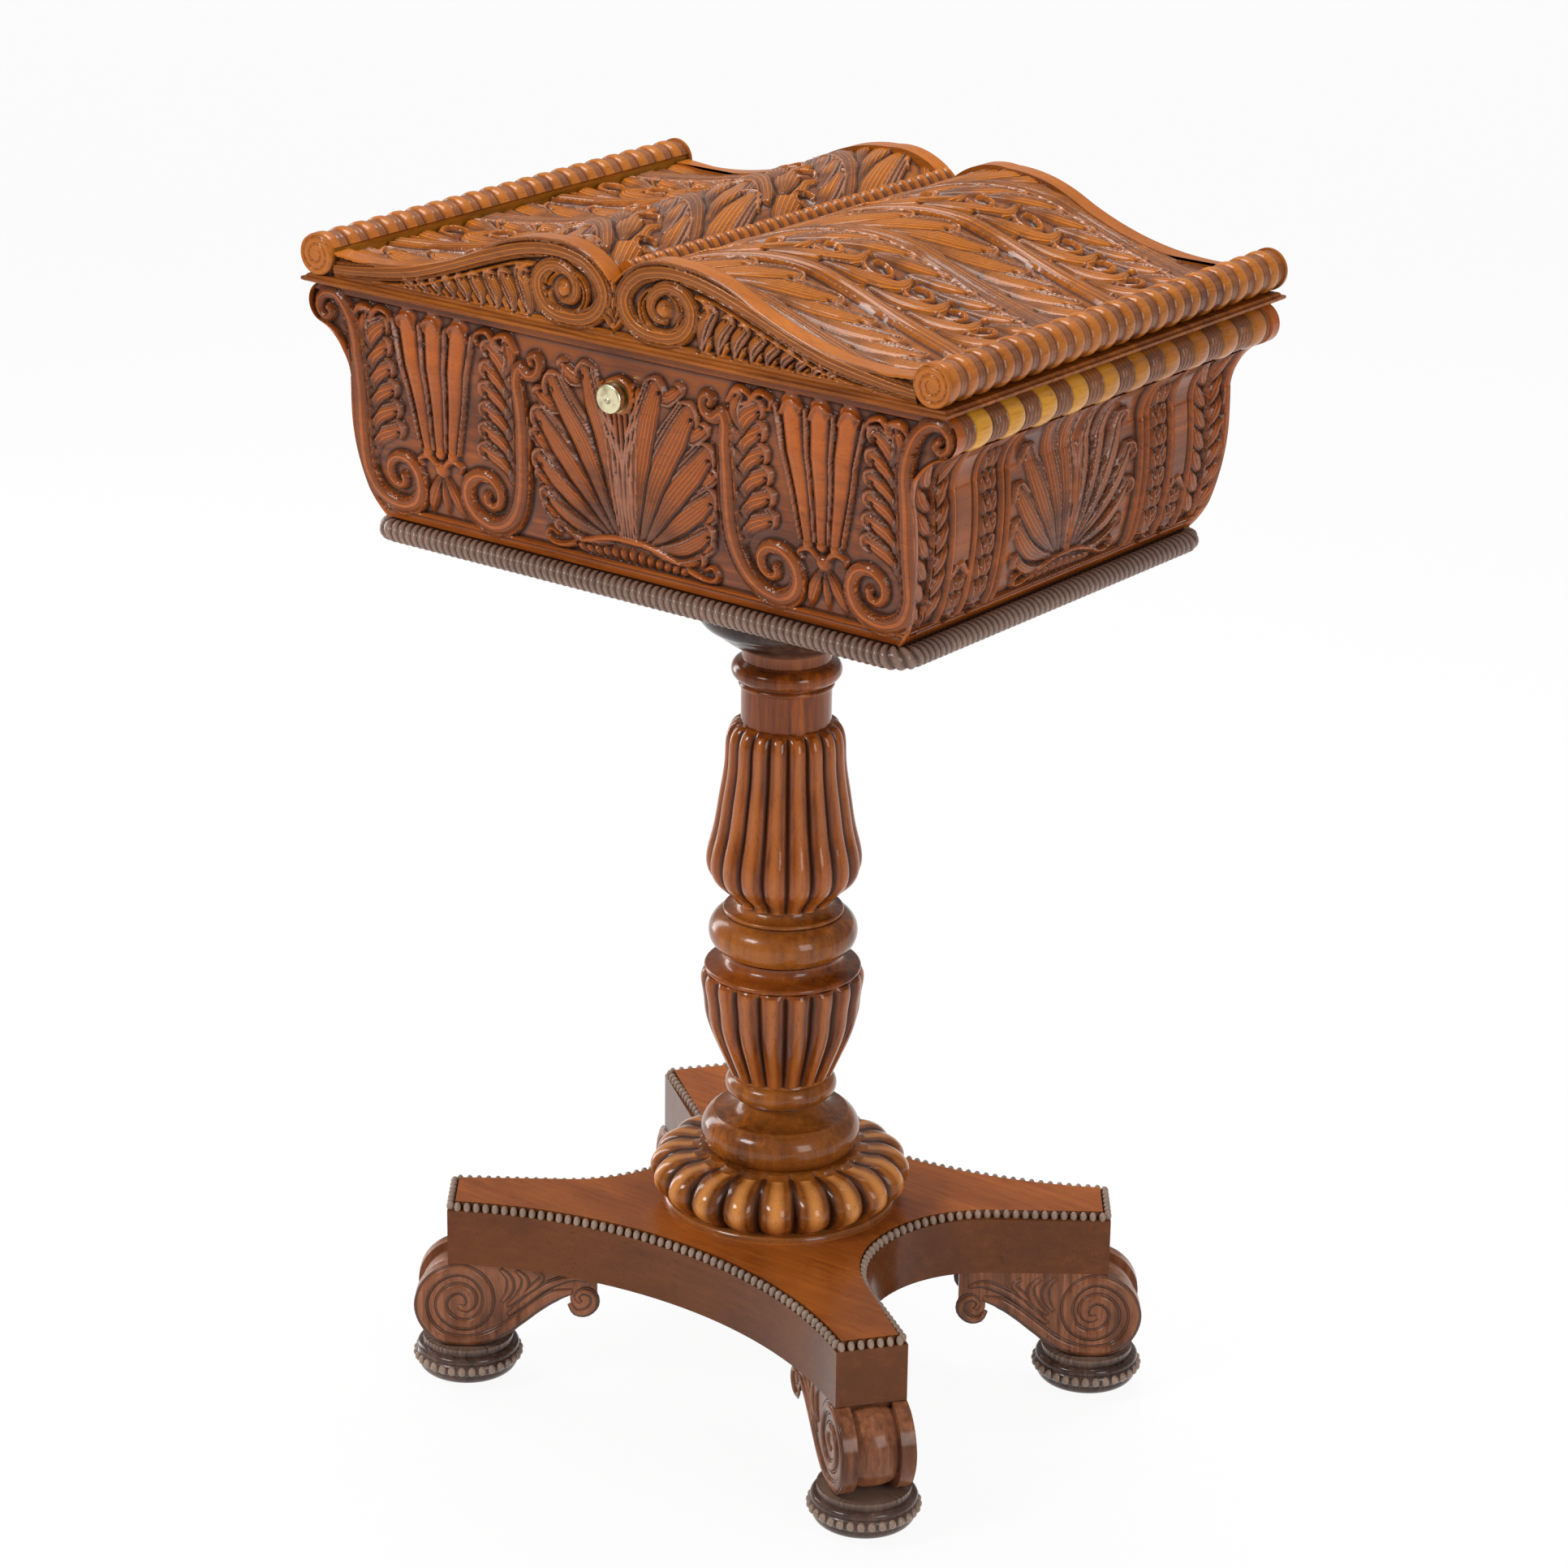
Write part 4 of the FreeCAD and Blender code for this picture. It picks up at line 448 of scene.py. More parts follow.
def circle_through(a, b, c):
    """Centre and radius of the circle through three points."""
    (ax, ay), (bx, by), (cx, cy) = a, b, c
    d = 2 * (ax * (by - cy) + bx * (cy - ay) + cx * (ay - by))
    a2, b2, c2 = ax * ax + ay * ay, bx * bx + by * by, cx * cx + cy * cy
    ux = (a2 * (by - cy) + b2 * (cy - ay) + c2 * (ay - by)) / d
    uy = (a2 * (cx - bx) + b2 * (ax - cx) + c2 * (bx - ax)) / d
    return ux, uy, math.hypot(ax - ux, ay - uy)


def arc_offset(z, arcs):
    """Outward reach at heights z along arcs, each given by its start, middle and end."""
    reach = np.zeros_like(z)
    for start, middle, end in arcs:
        here = (z >= start[1] - 1e-6) & (z <= end[1] + 1e-6)
        rise, bulge = end[1] - start[1], middle[0] - start[0]
        if abs(bulge * rise - (end[0] - start[0]) * (middle[1] - start[1])) < 1e-6:
            line = start[0] + (end[0] - start[0]) * (z - start[1]) / rise
        else:
            cx, cy, r = circle_through(start, middle, end)
            side = 1 if middle[0] > cx else -1
            line = cx + side * np.sqrt(np.clip(r * r - (z - cy) ** 2, 0, None))
        reach = np.where(here, line, reach)
    return reach


def end_reach(z):
    """Half of the box's length at heights z, with the round ends of the rails at the top."""
    p = [(FOOT_X + a * SWELL_X, FOOT + b * (RIM - FOOT)) for a, b in END_SHARES]
    middle_x = RAIL_X + math.sqrt((HOLLOW_R + RAIL_R) ** 2 - (RAIL_Z - HOLLOW_Z) ** 2)
    touch = math.atan2(RAIL_Z - HOLLOW_Z, RAIL_X - middle_x)
    flare = [(middle_x + HOLLOW_R * math.cos(a), HOLLOW_Z + HOLLOW_R * math.sin(a))
             for a in (math.pi, (math.pi + touch) / 2, touch)]
    body = arc_offset(z, [p[:3], p[2:], (p[4], midpoint(p[4], flare[0]), flare[0]), flare])
    rail = RAIL_X + np.sqrt(np.clip(RAIL_R ** 2 - (z - RAIL_Z) ** 2, 0, None))
    return np.where(z > flare[2][1], rail, body)


def front_reach(z):
    """Half of the box's depth at heights z."""
    p = [(FOOT_Y + a * SWELL_Y, FOOT + b * (RIM - FOOT)) for a, b in FRONT_SHARES]
    top = (FOOT_Y + SWELL_Y, RIM)
    return arc_offset(z, [p[:3], p[2:], (p[4], midpoint(p[4], top), top)])


print("box half length at the rim, waist and foot:", end_reach(np.array([731.0, 660.0, 588.0])).round(1))

# %% [markdown]
# ## The front of the box
# Four tall S-scrolls divide the front. The outer two follow the edges and curl into the rails' round
# ends, and the inner two frame a large shell. Between each pair stand three tapering flutes with a
# ball at the foot of each, tied with a leaf, and leaves grow along the scrolls. The right half is
# drawn and then copied to the left, which is how a carver would use one paper pattern for both.

# %% Front drawing: sprays and flutes
DEPTH = 5.5                    # highest stroke above the deepest ground
MIRROR_X = 142.0               # the leaves beside the flutes are alike on both sides of this line
TIE_X = 144.0                  # the tie that holds the flutes' feet


def draw_sprays(r):
    """Sprays of curled leaves along the two scrolls."""
    for side in (-1, 1):
        def beside(*places):
            return [(MIRROR_X + side * x, z) for x, z in places]

        r.stroke(beside((56, 622), (52, 660), (46, 700)), [3.0, 4.4, 3.0], [3.6, 4.0, 3.6], veins=1)
        for k in range(6):
            z = 641 + 13.0 * k
            inward = beside((58, z - 17), (51.5, z - 1), (33 + 1.4 * k, z + 7.5))
            r.lobe(*inward, 13.0, 4.2, side=-side, ridges=2, veins=2)
            outward = beside((53, z - 10), (59, z + 1), (55.5, z + 12.5))
            r.lobe(*outward, 8.0, 4.0, side=side, ridges=1, veins=2)


def draw_flutes(r):
    """Three flutes between the sprays: rounded staves and thin fillets that run together at the foot."""
    for top_x, foot_x in ((165.0, 153.4), (144.5, 143.6), (124.0, 133.8)):
        r.stroke([(top_x, 719), (foot_x, 641)], [15.5, 13, 7.6], [4.3, 4.4, 4.6], tint=(0.7, 0.5, 0.3))
        r.ball((foot_x, 637.8), 4.3, 5.3)
        curl = [(top_x - 7, 713), (top_x - 1, 721.5), (top_x + 7, 718.5), (top_x + 5.5, 713.5)]
        r.stroke(curl, [3.4, 5.2, 4.2, 2.6], [4.6, 5.3, 5.2, 4.4])
    for top_x, foot_x in ((176.0, 158.6), (154.6, 148.6), (134.4, 138.8), (113.2, 128.6)):
        r.stroke([(top_x, 717), (foot_x, 640)], [3.2, 2.4], [4.9, 4.8], tint=(-0.6, -0.4))
    # the tie under the flutes and its drooping leaves
    for side in (-1, 1):
        r.leaf((TIE_X + side, 625), (TIE_X + side * 8, 612), (TIE_X + side * 14, 596.5), 9.5, 4.8)
        bow = [(TIE_X + side * x, z) for x, z in ((2, 629), (9, 635), (17, 632), (15, 628))]
        r.stroke(bow, [4.0, 5.4, 4.4, 2.6], [4.6, 5.0, 4.8, 4.2])
    r.leaf((TIE_X, 622), (TIE_X + 0.1, 610), (TIE_X, 597), 6.5, 4.2, 1)
    r.ball((TIE_X, 627.5), 5.8, 5.4)


# %% [markdown]
# The shell in the middle is the carver's showpiece. It opens like a fan from a scrolled base, and each
# of its lobes lies over the one below. A stroke wins only where it is higher, so what lies under a new
# lobe is pressed down first, and the lobes are drawn from the bottom of the fan upwards.

# %% Front drawing: the shell
def draw_shell(r):
    """Right half of the shell, with its base and the small palmette under it."""
    # small curled lobes that look out from behind the large ones
    for x, z, lean in ((60, 622, 0.7), (63.5, 641, 0.9), (66, 666, 1.0), (61, 693, 1.1), (42, 713, 1.3)):
        root = (x - 22 * math.sin(lean), z - 22 * math.cos(lean))
        r.lobe(root, (x - 8, z - 7), (x + 2.5, z), 9.0, 3.9, side=-1, ridges=1, veins=2)
    lobes = [((15, 607), (34, 605), (54, 611.5), 10), ((15, 609), (39, 616), (62, 630), 14.5),
             ((13, 611), (38, 631), (65, 652), 18.0), ((11, 612), (33, 645), (63.5, 679), 20.0),
             ((8, 613), (24, 658), (51.5, 702), 20.5), ((4.5, 614), (11, 664), (26.5, 713), 18.5)]
    for root, bow, tip, width in lobes:
        r.lobe(root, bow, tip, width, 4.4, side=1, ridges=3, veins=4)
    for x_top, x_foot in ((0, 0), (4.4, 1.9), (9.0, 3.8), (13.4, 5.6)):
        stalk = [(x_foot, 609), (x_top * 0.75, 655), (x_top, 712 - 0.4 * x_top)]
        r.stroke(stalk, [2.0, 3.4, 3.8], [4.4, 4.9, 4.4], tint=(-0.5, -0.6, 0.2))
    # scrolled base of the shell with a small palmette under it
    base = [(-4, 611.5), (14, 610.5), (34, 605), (50, 598.6), (60, 598.0), (64.5, 602.5), (61, 607),
            (56, 604.5)]
    r.stroke(base, [5.6, 5.6, 5.2, 4.8, 4.2, 3.2], [5.4, 5.4, 5.2, 5.0, 4.8, 4.4])
    for k in range(7):
        x = 6.6 * k
        r.leaf((x * 0.9, 596.5), (x, 600.5), (x * 1.06, 606.5 - k * 0.8), 5.8, 4.4, 1)


# %% [markdown]
# The two S-scrolls come last, because they cross over everything else. Each is one banded stroke along
# a list of points, in millimetres from the middle of the box and from the floor.

# %% Front drawing: the S-scrolls
def draw_scrolls(r):
    """The outer and the inner scroll, with a ball in every eye."""
    outer = [(227, 716), (224.5, 713), (228.5, 709.5), (234, 712.5), (234.5, 719.5), (228.5, 725),
             (219.5, 724), (211.5, 716), (206.5, 704), (204.6, 690), (204.5, 660), (205, 624), (203, 613),
             (197.5, 603.5), (188, 598), (178, 597), (168, 601.5), (162.7, 610.5), (163, 621), (169, 629),
             (178.5, 630), (185.5, 624.5), (186.2, 616.5), (181, 611), (175.5, 613), (175.5, 618)]
    inner = [(66.5, 708.5), (68, 712), (63.5, 714), (60.5, 709.5), (63, 703), (69.5, 701), (75.5, 705),
             (78.3, 697), (77.2, 684), (77, 665), (78, 641), (80.5, 625), (86.5, 611), (96, 601.5),
             (108, 597.8), (118.5, 601.8), (124.6, 611), (123.4, 622), (115.8, 629.5), (105.5, 630.3),
             (98.6, 624), (98.8, 616), (104, 611.3), (109.5, 613.5), (109.3, 618.5)]
    for path in (outer, inner):
        r.stroke(path, [5, 7, 9, 12.5, 14, 14, 14, 13.5, 13, 10.5, 8.5, 6, 4.5],
                 [5, 5.2] + [5.5] * 8 + [5.4, 5.2, 5.0], "band", veins=1, tint=(0.2, 0.1, 0.2, 0.7, 0.9))
    for centre, radius in (((175.3, 617.6), 3.2), ((109.4, 617.6), 3.2), ((227.3, 716), 2.8),
                           ((66.6, 709), 2.6)):
        r.ball(centre, radius, 5.4)


def front_drawing():
    """Right half of the front, from its middle to the corner."""
    r = Carving((-3.0, 584.0), (246.0, 734.0), 0.5)
    r.h[:] = 0.8
    # plain margins above and below the carving
    r.h[r.window((-9, 580), (250, 592.0))] = 4.2
    r.h[r.window((-9, 725.5), (250, 740))] = 3.4
    r.stroke([(-9, 593.4), (250, 593.4)], [3.6], [4.6])
    draw_sprays(r)    # laid first, so that their roots are tucked under the rest
    draw_flutes(r)
    # hooked leaves under the rim
    for x in (88, 103, 186, 199):
        side = 1 if x < MIRROR_X else -1
        hook = [(x + side * out, z) for out, z in ((-9, 713), (-2, 721.5), (7, 719), (6, 713), (0, 714))]
        r.stroke(hook, [3.8, 5.2, 4.4, 3.4, 2.2], [4.4, 5.2, 5.2, 4.6, 3.8])
    draw_shell(r)
    draw_scrolls(r)
    # corner edge stays at full height
    edge = end_reach(np.clip(r.v, FOOT, RIM - 0.01))[:, None] - r.u[None, :]
    rounded = DEPTH - 0.15 * np.clip(edge, 0, 3) ** 2
    r.h = np.where((edge < 3.0) & (r.v[:, None] < 708), np.maximum(r.h, rounded), r.h)
    r.h = softened(np.clip(r.h, 0, DEPTH), 1)
    return r


front_relief = front_drawing()
print("front relief:", front_relief.h.shape, "cells")

# %% [markdown]
# ## The ends of the box
# Each end has a fan in its middle like a smaller shell, then plain pilasters with a chain of husks
# between them, and a column of paired leaves next to the corner. It too is drawn for one half. The
# same drawing covers the narrow strips where the front or back meets the ends, so that the pattern
# runs on round the corner.

# %% End drawing
def column_of_leaves(r, x, low, high, pitch, reach, rise):
    """Upright stem with pairs of leaves, as on the ends of the box."""
    count = int((high - low) / pitch)
    for k in range(count):
        z = low + k * pitch
        for side in (-1, 1):
            r.leaf((x, z), (x + side * reach * 0.55, z + pitch * 0.55), (x + side * reach, z + pitch * 1.5),
                   pitch * 0.84, rise, 2)
    r.stroke([(x, low - 2), (x, high)], [2.6, 2.2], [rise + 0.5])


def end_drawing():
    """Right half of an end, from its middle to the corner, drawn in depth and height."""
    r = Carving((-3.0, 584.0), (170.0, 716.0))
    r.h[:] = 1.0
    r.h[r.window((-9, 580), (250, 593))] = 4.4
    r.stroke([(-9, 594.6), (250, 594.6)], [3.2], [4.6])
    # the fan: curled lobes at the side and long straight ones towards the middle
    lobes = [((13, 607), (33, 607), (53, 617), 9), ((12, 609), (37, 619), (58, 639), 12.5),
             ((10, 611), (35, 633), (58, 661), 13.5), ((8, 612), (29, 645), (49, 683), 13.5),
             ((6, 612), (19, 655), (33, 700), 13), ((3.5, 612), (8, 660), (13.5, 706), 12)]
    for root, bow, tip, width in lobes:
        r.lobe(root, bow, tip, width + 2.0, 4.3, side=1, ridges=3, veins=3)
    for y_top, y_foot in ((0, 0), (4.2, 1.8)):
        r.stroke([(y_foot, 610), (y_top, 704)], [2, 3.2, 3.6], [4.4, 5.2, 4.6])
    # base scroll
    r.stroke([(-4, 609), (12, 608.5), (28, 604), (41, 599), (49, 600), (50, 605), (45, 606)],
             [4.6, 4.6, 4.2, 3.8, 3.0], [5.2, 5.2, 5.0, 4.8, 4.4])
    for k, y in enumerate((0, 7, 14, 21, 28)):
        r.leaf((y * 0.9, 596.5), (y, 600), (y * 1.08, 605.5 - k * 0.9), 4.8, 3.8, 1)
    # pilasters and leaf columns out to the corner
    for y, width in ((68.5, 4.0), (75.0, 4.0), (101.0, 4.6), (122.5, 4.6)):
        r.stroke([(y, 596), (y, 712)], [width], [5.3])
    r.h[r.window((103.5, 630), (120, 716))] = 3.4
    r.stroke([(103, 622), (111.7, 630), (120.5, 622)], [4, 5, 4], [4.2, 5.0, 4.2])
    for k in range(7, -1, -1):
        r.husk(88.0, 600 + 13.0 * k, 15.0, 14.0, 4.6)
    for k in (1, 0):
        r.husk(111.7, 599 + 11.0 * k, 13.0, 12.0, 4.4)
    column_of_leaves(r, 141.5, 600, 704, 13.5, 15.5, 4.6)
    edge = front_reach(np.clip(r.v, FOOT, RIM))[:, None] - r.u[None, :]
    r.h = np.where(edge < 5.5, np.maximum(r.h, DEPTH - 0.06 * np.clip(edge - 1, 0, 6) ** 2), r.h)
    # the carving runs out under the rail
    fade = np.clip((r.v[:, None] - 696) / 12, 0, 1)
    r.h = r.h * (1 - fade) + 4.6 * fade
    r.h = softened(r.h, 1)
    return r


end_relief = end_drawing()
print("end relief:", end_relief.h.shape, "cells")

# %% Cut the front and the back
INNER_X, INNER_Y = 182.0, 138.0
DRAWN_TOP = 715.0              # the drawing of an end stops here, under its rail
BUTTON_Z = 701.7
STRIP = 20                     # points across a corner strip


def carved_front(name, side, columns, rows):
    """Front or back board with its corner strips; side is -1 for the front and 1 for the back."""
    z = np.linspace(FOOT, RIM - 0.02, rows)
    reach_x, reach_y = end_reach(z)[:, None], front_reach(z)[:, None]
    strip_y = INNER_Y + (reach_y - INNER_Y) * (1 - np.linspace(1, 0, STRIP + 2)[None, 1:-1])
    x = np.hstack([np.repeat(-reach_x, STRIP, 1), reach_x * np.linspace(-1, 1, columns)[None, :],
                   np.repeat(reach_x, STRIP, 1)])
    y = np.hstack([strip_y, np.repeat(reach_y, columns, 1), strip_y[:, ::-1]])
    zz = np.repeat(z[:, None], x.shape[1], 1)
    on_front = np.zeros(x.shape, bool)
    on_front[:, STRIP:-STRIP] = True
    faces, ends = front_relief.sample(np.abs(x), zz), end_relief.sample(y, np.minimum(zz, DRAWN_TOP))
    h, vein, tint = (np.where(on_front, face, end) for face, end in zip(faces, ends))
    h[:, [STRIP, -STRIP - 1]] = DEPTH
    if side < 0:    # a flat boss for the button's collar
        boss = np.hypot(x, zz - BUTTON_Z)
        h = np.where(on_front & (boss < 11.5), np.interp(boss, (9.8, 10.8), (DEPTH, 4.6)), h)
    h = np.where((zz > 705) & ~on_front, DEPTH, h)
    sink = DEPTH - h
    px = np.where(on_front, x, x - np.sign(x) * sink)
    py = np.where(on_front, y - sink, y)
    py = np.where((zz > 706.9) & ~on_front, np.maximum(py, 158.2), py)
    obj = add_grid(name, x.shape[1], x.shape[0])
    set_points(obj, np.stack([px, side * py, zz], axis=-1) * MM)

    def inner(points):
        points[:, 0] = np.clip(points[:, 0], -INNER_X * MM, INNER_X * MM)
        return onto("y", side * INNER_Y)(points)

    close_board(obj, inner)
    keep_carved_wear_shade_and_sheen(obj, h, vein, tint, DEPTH)
    return obj


finish_piece(carved_front("carved_front", -1, 490, 178), "stand", "box_front_panel")
finish_piece(carved_front("carved_back", 1, 380, 130), "stand", "box_back_panel")

# %% Cut the two ends
def end_outline():
    """Points of an end's outside from the foot to the rim, seen from the front."""
    z = np.linspace(FOOT, 706.8, 134)
    ledge = [(232.4, 706.9), (228.5, 706.35), (224.5, 707.0), (221.6, 708.4), (221.6, 720.0),
             (221.6, RIM - 0.02)]
    return np.vstack([np.stack([end_reach(z), z], axis=-1), ledge])


def carved_end(name, side):
    """Right or left end, between the corner strips; side is 1 for the right and -1 for the left."""
    outline = end_outline()
    y = np.linspace(-INNER_Y, INNER_Y, 307)
    x = np.repeat(outline[:, :1], len(y), 1)
    z = np.repeat(outline[:, 1:], len(y), 1)
    yy = np.repeat(y[None, :], len(outline), 0)
    h, vein, tint = end_relief.sample(np.abs(yy), np.minimum(z, DRAWN_TOP))
    h = np.where(z > 706.0, DEPTH, h)
    obj = add_grid(name, len(y), len(outline))
    set_points(obj, np.stack([side * (x - (DEPTH - h)), yy, z], axis=-1) * MM)
    close_board(obj, onto("x", side * INNER_X))
    keep_carved_wear_shade_and_sheen(obj, h, vein, tint, DEPTH)
    return obj


finish_piece(carved_end("carved_right_end", 1), "stand", "box_right_panel")
finish_piece(carved_end("carved_left_end", -1), "stand", "box_left_panel")

# %% [markdown]
# ## The arched tops of the lid
# Each top is one plank shaped like a wave: it climbs from the valley to a crown and runs out in a
# long hollow towards the roll at the edge. Its outline is a chain of arcs, and the function below
# gives its height and slope at any distance from the middle, so the carving can follow the curve.

# %% Outline of the lid
BOARD_TOP, LEDGE_TOP = 744.0, 737.0
CROWN_X, CROWN_Z, CROWN_R = 46.0, 786.5, 105.0
DIP_X, DIP_Z, DIP_R = 195.0, 749.5, 213.5
SEAT_X, SCROLL_LIFT, TAIL_SLOPE = 216.0, 1.5, 0.08
VALLEY_X, VALLEY_Z = 7.0, 774.0


def lid_height(x, foot, foot_radius, lift=0.0):
    """Height of the lid's outline; foot is where the arch rises from the middle of the lid."""
    crown_z = CROWN_Z + lift
    chord = (CROWN_X - foot[0], crown_z - foot[1])
    half = math.hypot(*chord) / 2
    sag = math.sqrt(foot_radius ** 2 - half ** 2)
    middle_x = (foot[0] + CROWN_X) / 2 + chord[1] / half / 2 * sag
    middle_z = (foot[1] + crown_z) / 2 - chord[0] / half / 2 * sag
    turn_x = CROWN_X + CROWN_R * (DIP_X - CROWN_X) / (CROWN_R + DIP_R)
    inner = middle_z + np.sqrt(np.clip(foot_radius ** 2 - (x - middle_x) ** 2, 0, None))
    crown = crown_z - CROWN_R + np.sqrt(np.clip(CROWN_R ** 2 - (x - CROWN_X) ** 2, 0, None))
    hollow = DIP_Z + lift + DIP_R - np.sqrt(np.clip(DIP_R ** 2 - (x - DIP_X) ** 2, 0, None))
    outer = DIP_Z + lift + TAIL_SLOPE * (x - DIP_X)
    return np.select([x < CROWN_X, x < turn_x, x < DIP_X], [inner, crown, hollow], outer)


def top_height(x):
    """Height of an arched top, which rises from the side of the valley."""
    return lid_height(x, (VALLEY_X, VALLEY_Z), 63.0)


print("top at valley, crown, hollow and roll:",
      top_height(np.array([VALLEY_X, CROWN_X, DIP_X, SEAT_X])).round(1))

# %% [markdown]
# ## Feathered carving over the arches
# The tops are covered by broad bands that sweep across the arch like the feathers of a wing. Every
# band has a bundle of fine ridges, a spray of veined leaves that springs from it, a plain rounded
# rib, and a row of curled lobes with a deep eye cut beside each. All lines follow one sweep curve.

# %% Drawing of a lid top
BAND_PITCH = 152.0
LID_DEPTH = 5.0                # highest stroke above the deepest ground


def sweep_line(x, offset, spread=0.0):
    """Place across the lid of a line of the carving that passes the crown at the offset."""
    inner, outer = -88.0 * ((120 - x) / 113) ** 2, -30.0 * ((x - 120) / 92) ** 2
    bend = np.where(x < 120, inner, outer) + 3.0
    return offset + bend + spread * np.clip((x - 30) / 150, 0, 1)


def swept(x_values, offset, spread=0.0):
    """Points of such a line; spread moves it aside towards the roll."""
    x = np.array(x_values, float)
    return list(zip(x, sweep_line(x, offset, spread)))


def top_drawing():
    """The right arch from above: distance from the middle of the lid, and place from front to back."""
    r = Carving((4.0, -162.0), (219.0, 162.0), 0.5)
    r.h[:] = 0.6
    whole = (5, 30, 55, 80, 105, 130, 155, 180, 200, 217)

    def spot(x, offset):
        return (x, float(sweep_line(x, offset)))

    for band in range(-2, 3):
        base = band * BAND_PITCH + 2.0
        # the bundle of long ridges, spreading towards the roll, and four that stand higher
        r.stroke(swept(whole, base + 1, 2), [22, 27, 32, 36], [3.4, 4.2, 4.3, 4.1], veins=5,
                 tint=(0.1, -0.1, -0.5))
        for offset, spread in ((-9, -6), (-3, -1), (4, 3.5), (10, 8)):
            r.stroke(swept(whole, base + offset, spread), [1.8, 2.5, 2.9, 3.4], [4.0, 4.7, 4.7, 4.4],
                     tint=(-0.3, -0.7, -0.9))
        # the spray of feathers between the ridges and the rib
        for k in range(9, -1, -1):
            x = -14 + 24.0 * k
            r.lobe(spot(x, base + 9), spot(x + 27, base + 24), spot(x + 52, base + 50 - 1.2 * k),
                   19.0, 4.1, side=1, ridges=3, veins=4)
        # the plain rib with a fillet on either side
        r.stroke(swept((25, 60, 100, 140, 180, 217), base + 66, 2), [9, 14, 15, 14],
                 [4.6, 5.0, 5.0, 4.8], veins=2, tint=(0.2, 0.5, 0.3))
        for offset in (base + 57.0, base + 75.5):
            r.stroke(swept((20, 60, 100, 140, 180, 217), offset, 3), [2.4, 3.2], [4.2, 4.4])
        # the row of curled lobes with their eyes
        for k in range(8):
            x = 12 + 27.0 * k
            path = [spot(x + a, base + b) for a, b in ((-10, 80), (8, 87), (21, 99), (20, 113))]
            r.stroke(path, [9, 18, 21, 16, 8], [1], ceiling=1.2)
            r.stroke(path, [6, 15, 18, 13, 5], [3.4, 4.4, 4.6, 4.3, 3.6], veins=3,
                     tint=(-0.3, 0.6, 1.0, 0.8))
            eye = spot(x + 6.0, base + 103)
            ring = [(eye[0] + 8.0 * math.cos(t), eye[1] + 8.6 * math.sin(t))
                    for t in np.linspace(-2.6, 2.4, 9)]
            r.stroke(ring, [3.2, 4.6, 3.4], [4.4, 5.0, 4.2], tint=(-0.4, 0.2))
            r.stroke([eye, (eye[0] + 2.5, eye[1] + 1.5)], [10.0, 8.0], [5.0, 4.6], cut=True)
            r.ball(spot(x + 20.0, base + 119), 3.8, 4.6)
        for k in range(10):
            x = 4 + 21 * k
            r.lobe(spot(x, base + 118), spot(x + 13, base + 126), spot(x + 30, base + 139),
                   12.0, 4.1, side=1, ridges=2, veins=2)
    r.h = softened(np.clip(r.h, 0.0, LID_DEPTH), 2)
    return r


top_relief = top_drawing()
print("lid top drawing:", top_relief.h.shape, "cells, highest", round(float(top_relief.h.max()), 2), "mm")

# %% Carve the lid tops
TOP_HALF = 157.0


def carved_top(name, side):
    """One arched top; each point sinks at right angles to the arch. Side is 1 for the right one."""
    x_line = np.linspace(VALLEY_X, SEAT_X, 240)
    y_line = np.linspace(-TOP_HALF, TOP_HALF, 390)
    x, y = np.meshgrid(x_line, y_line, indexing="ij")
    slope = np.gradient(top_height(x_line), x_line)[:, None]
    length = np.sqrt(1 + slope ** 2)
    h, vein, tint = top_relief.sample(x, y)
    sink = LID_DEPTH - h
    px = np.clip(x + sink * slope / length, VALLEY_X, SEAT_X)
    obj = add_grid(name, len(y_line), len(x_line))
    set_points(obj, np.stack([side * px, y, top_height(x) - sink / length], axis=-1) * MM)
    close_board(obj, onto("z", BOARD_TOP))
    keep_carved_wear_shade_and_sheen(obj, h, vein, tint, LID_DEPTH)
    return obj


finish_piece(carved_top("carved_lid_top_right", 1), "lid", "lid_top_right")
finish_piece(carved_top("carved_lid_top_left", -1), "lid", "lid_top_left")

# %% [markdown]
# ## The great scrolls on the lid's front
# Across the front of the lid run two long bands that rise from the corners, roll over the crowns and
# curl into volutes that meet in the middle. Sprays of small leaves fill the dark corners under them.
# The face is drawn once for the right half. The board's top edge follows the outline of the lid.

# %% Drawing of the lid's scrolls
def crest_height(x, lift=SCROLL_LIFT):
    """Height of a scroll board; the front one stands a little above the arches."""
    return lid_height(x, (0.0, 769.5), 50.4, lift)


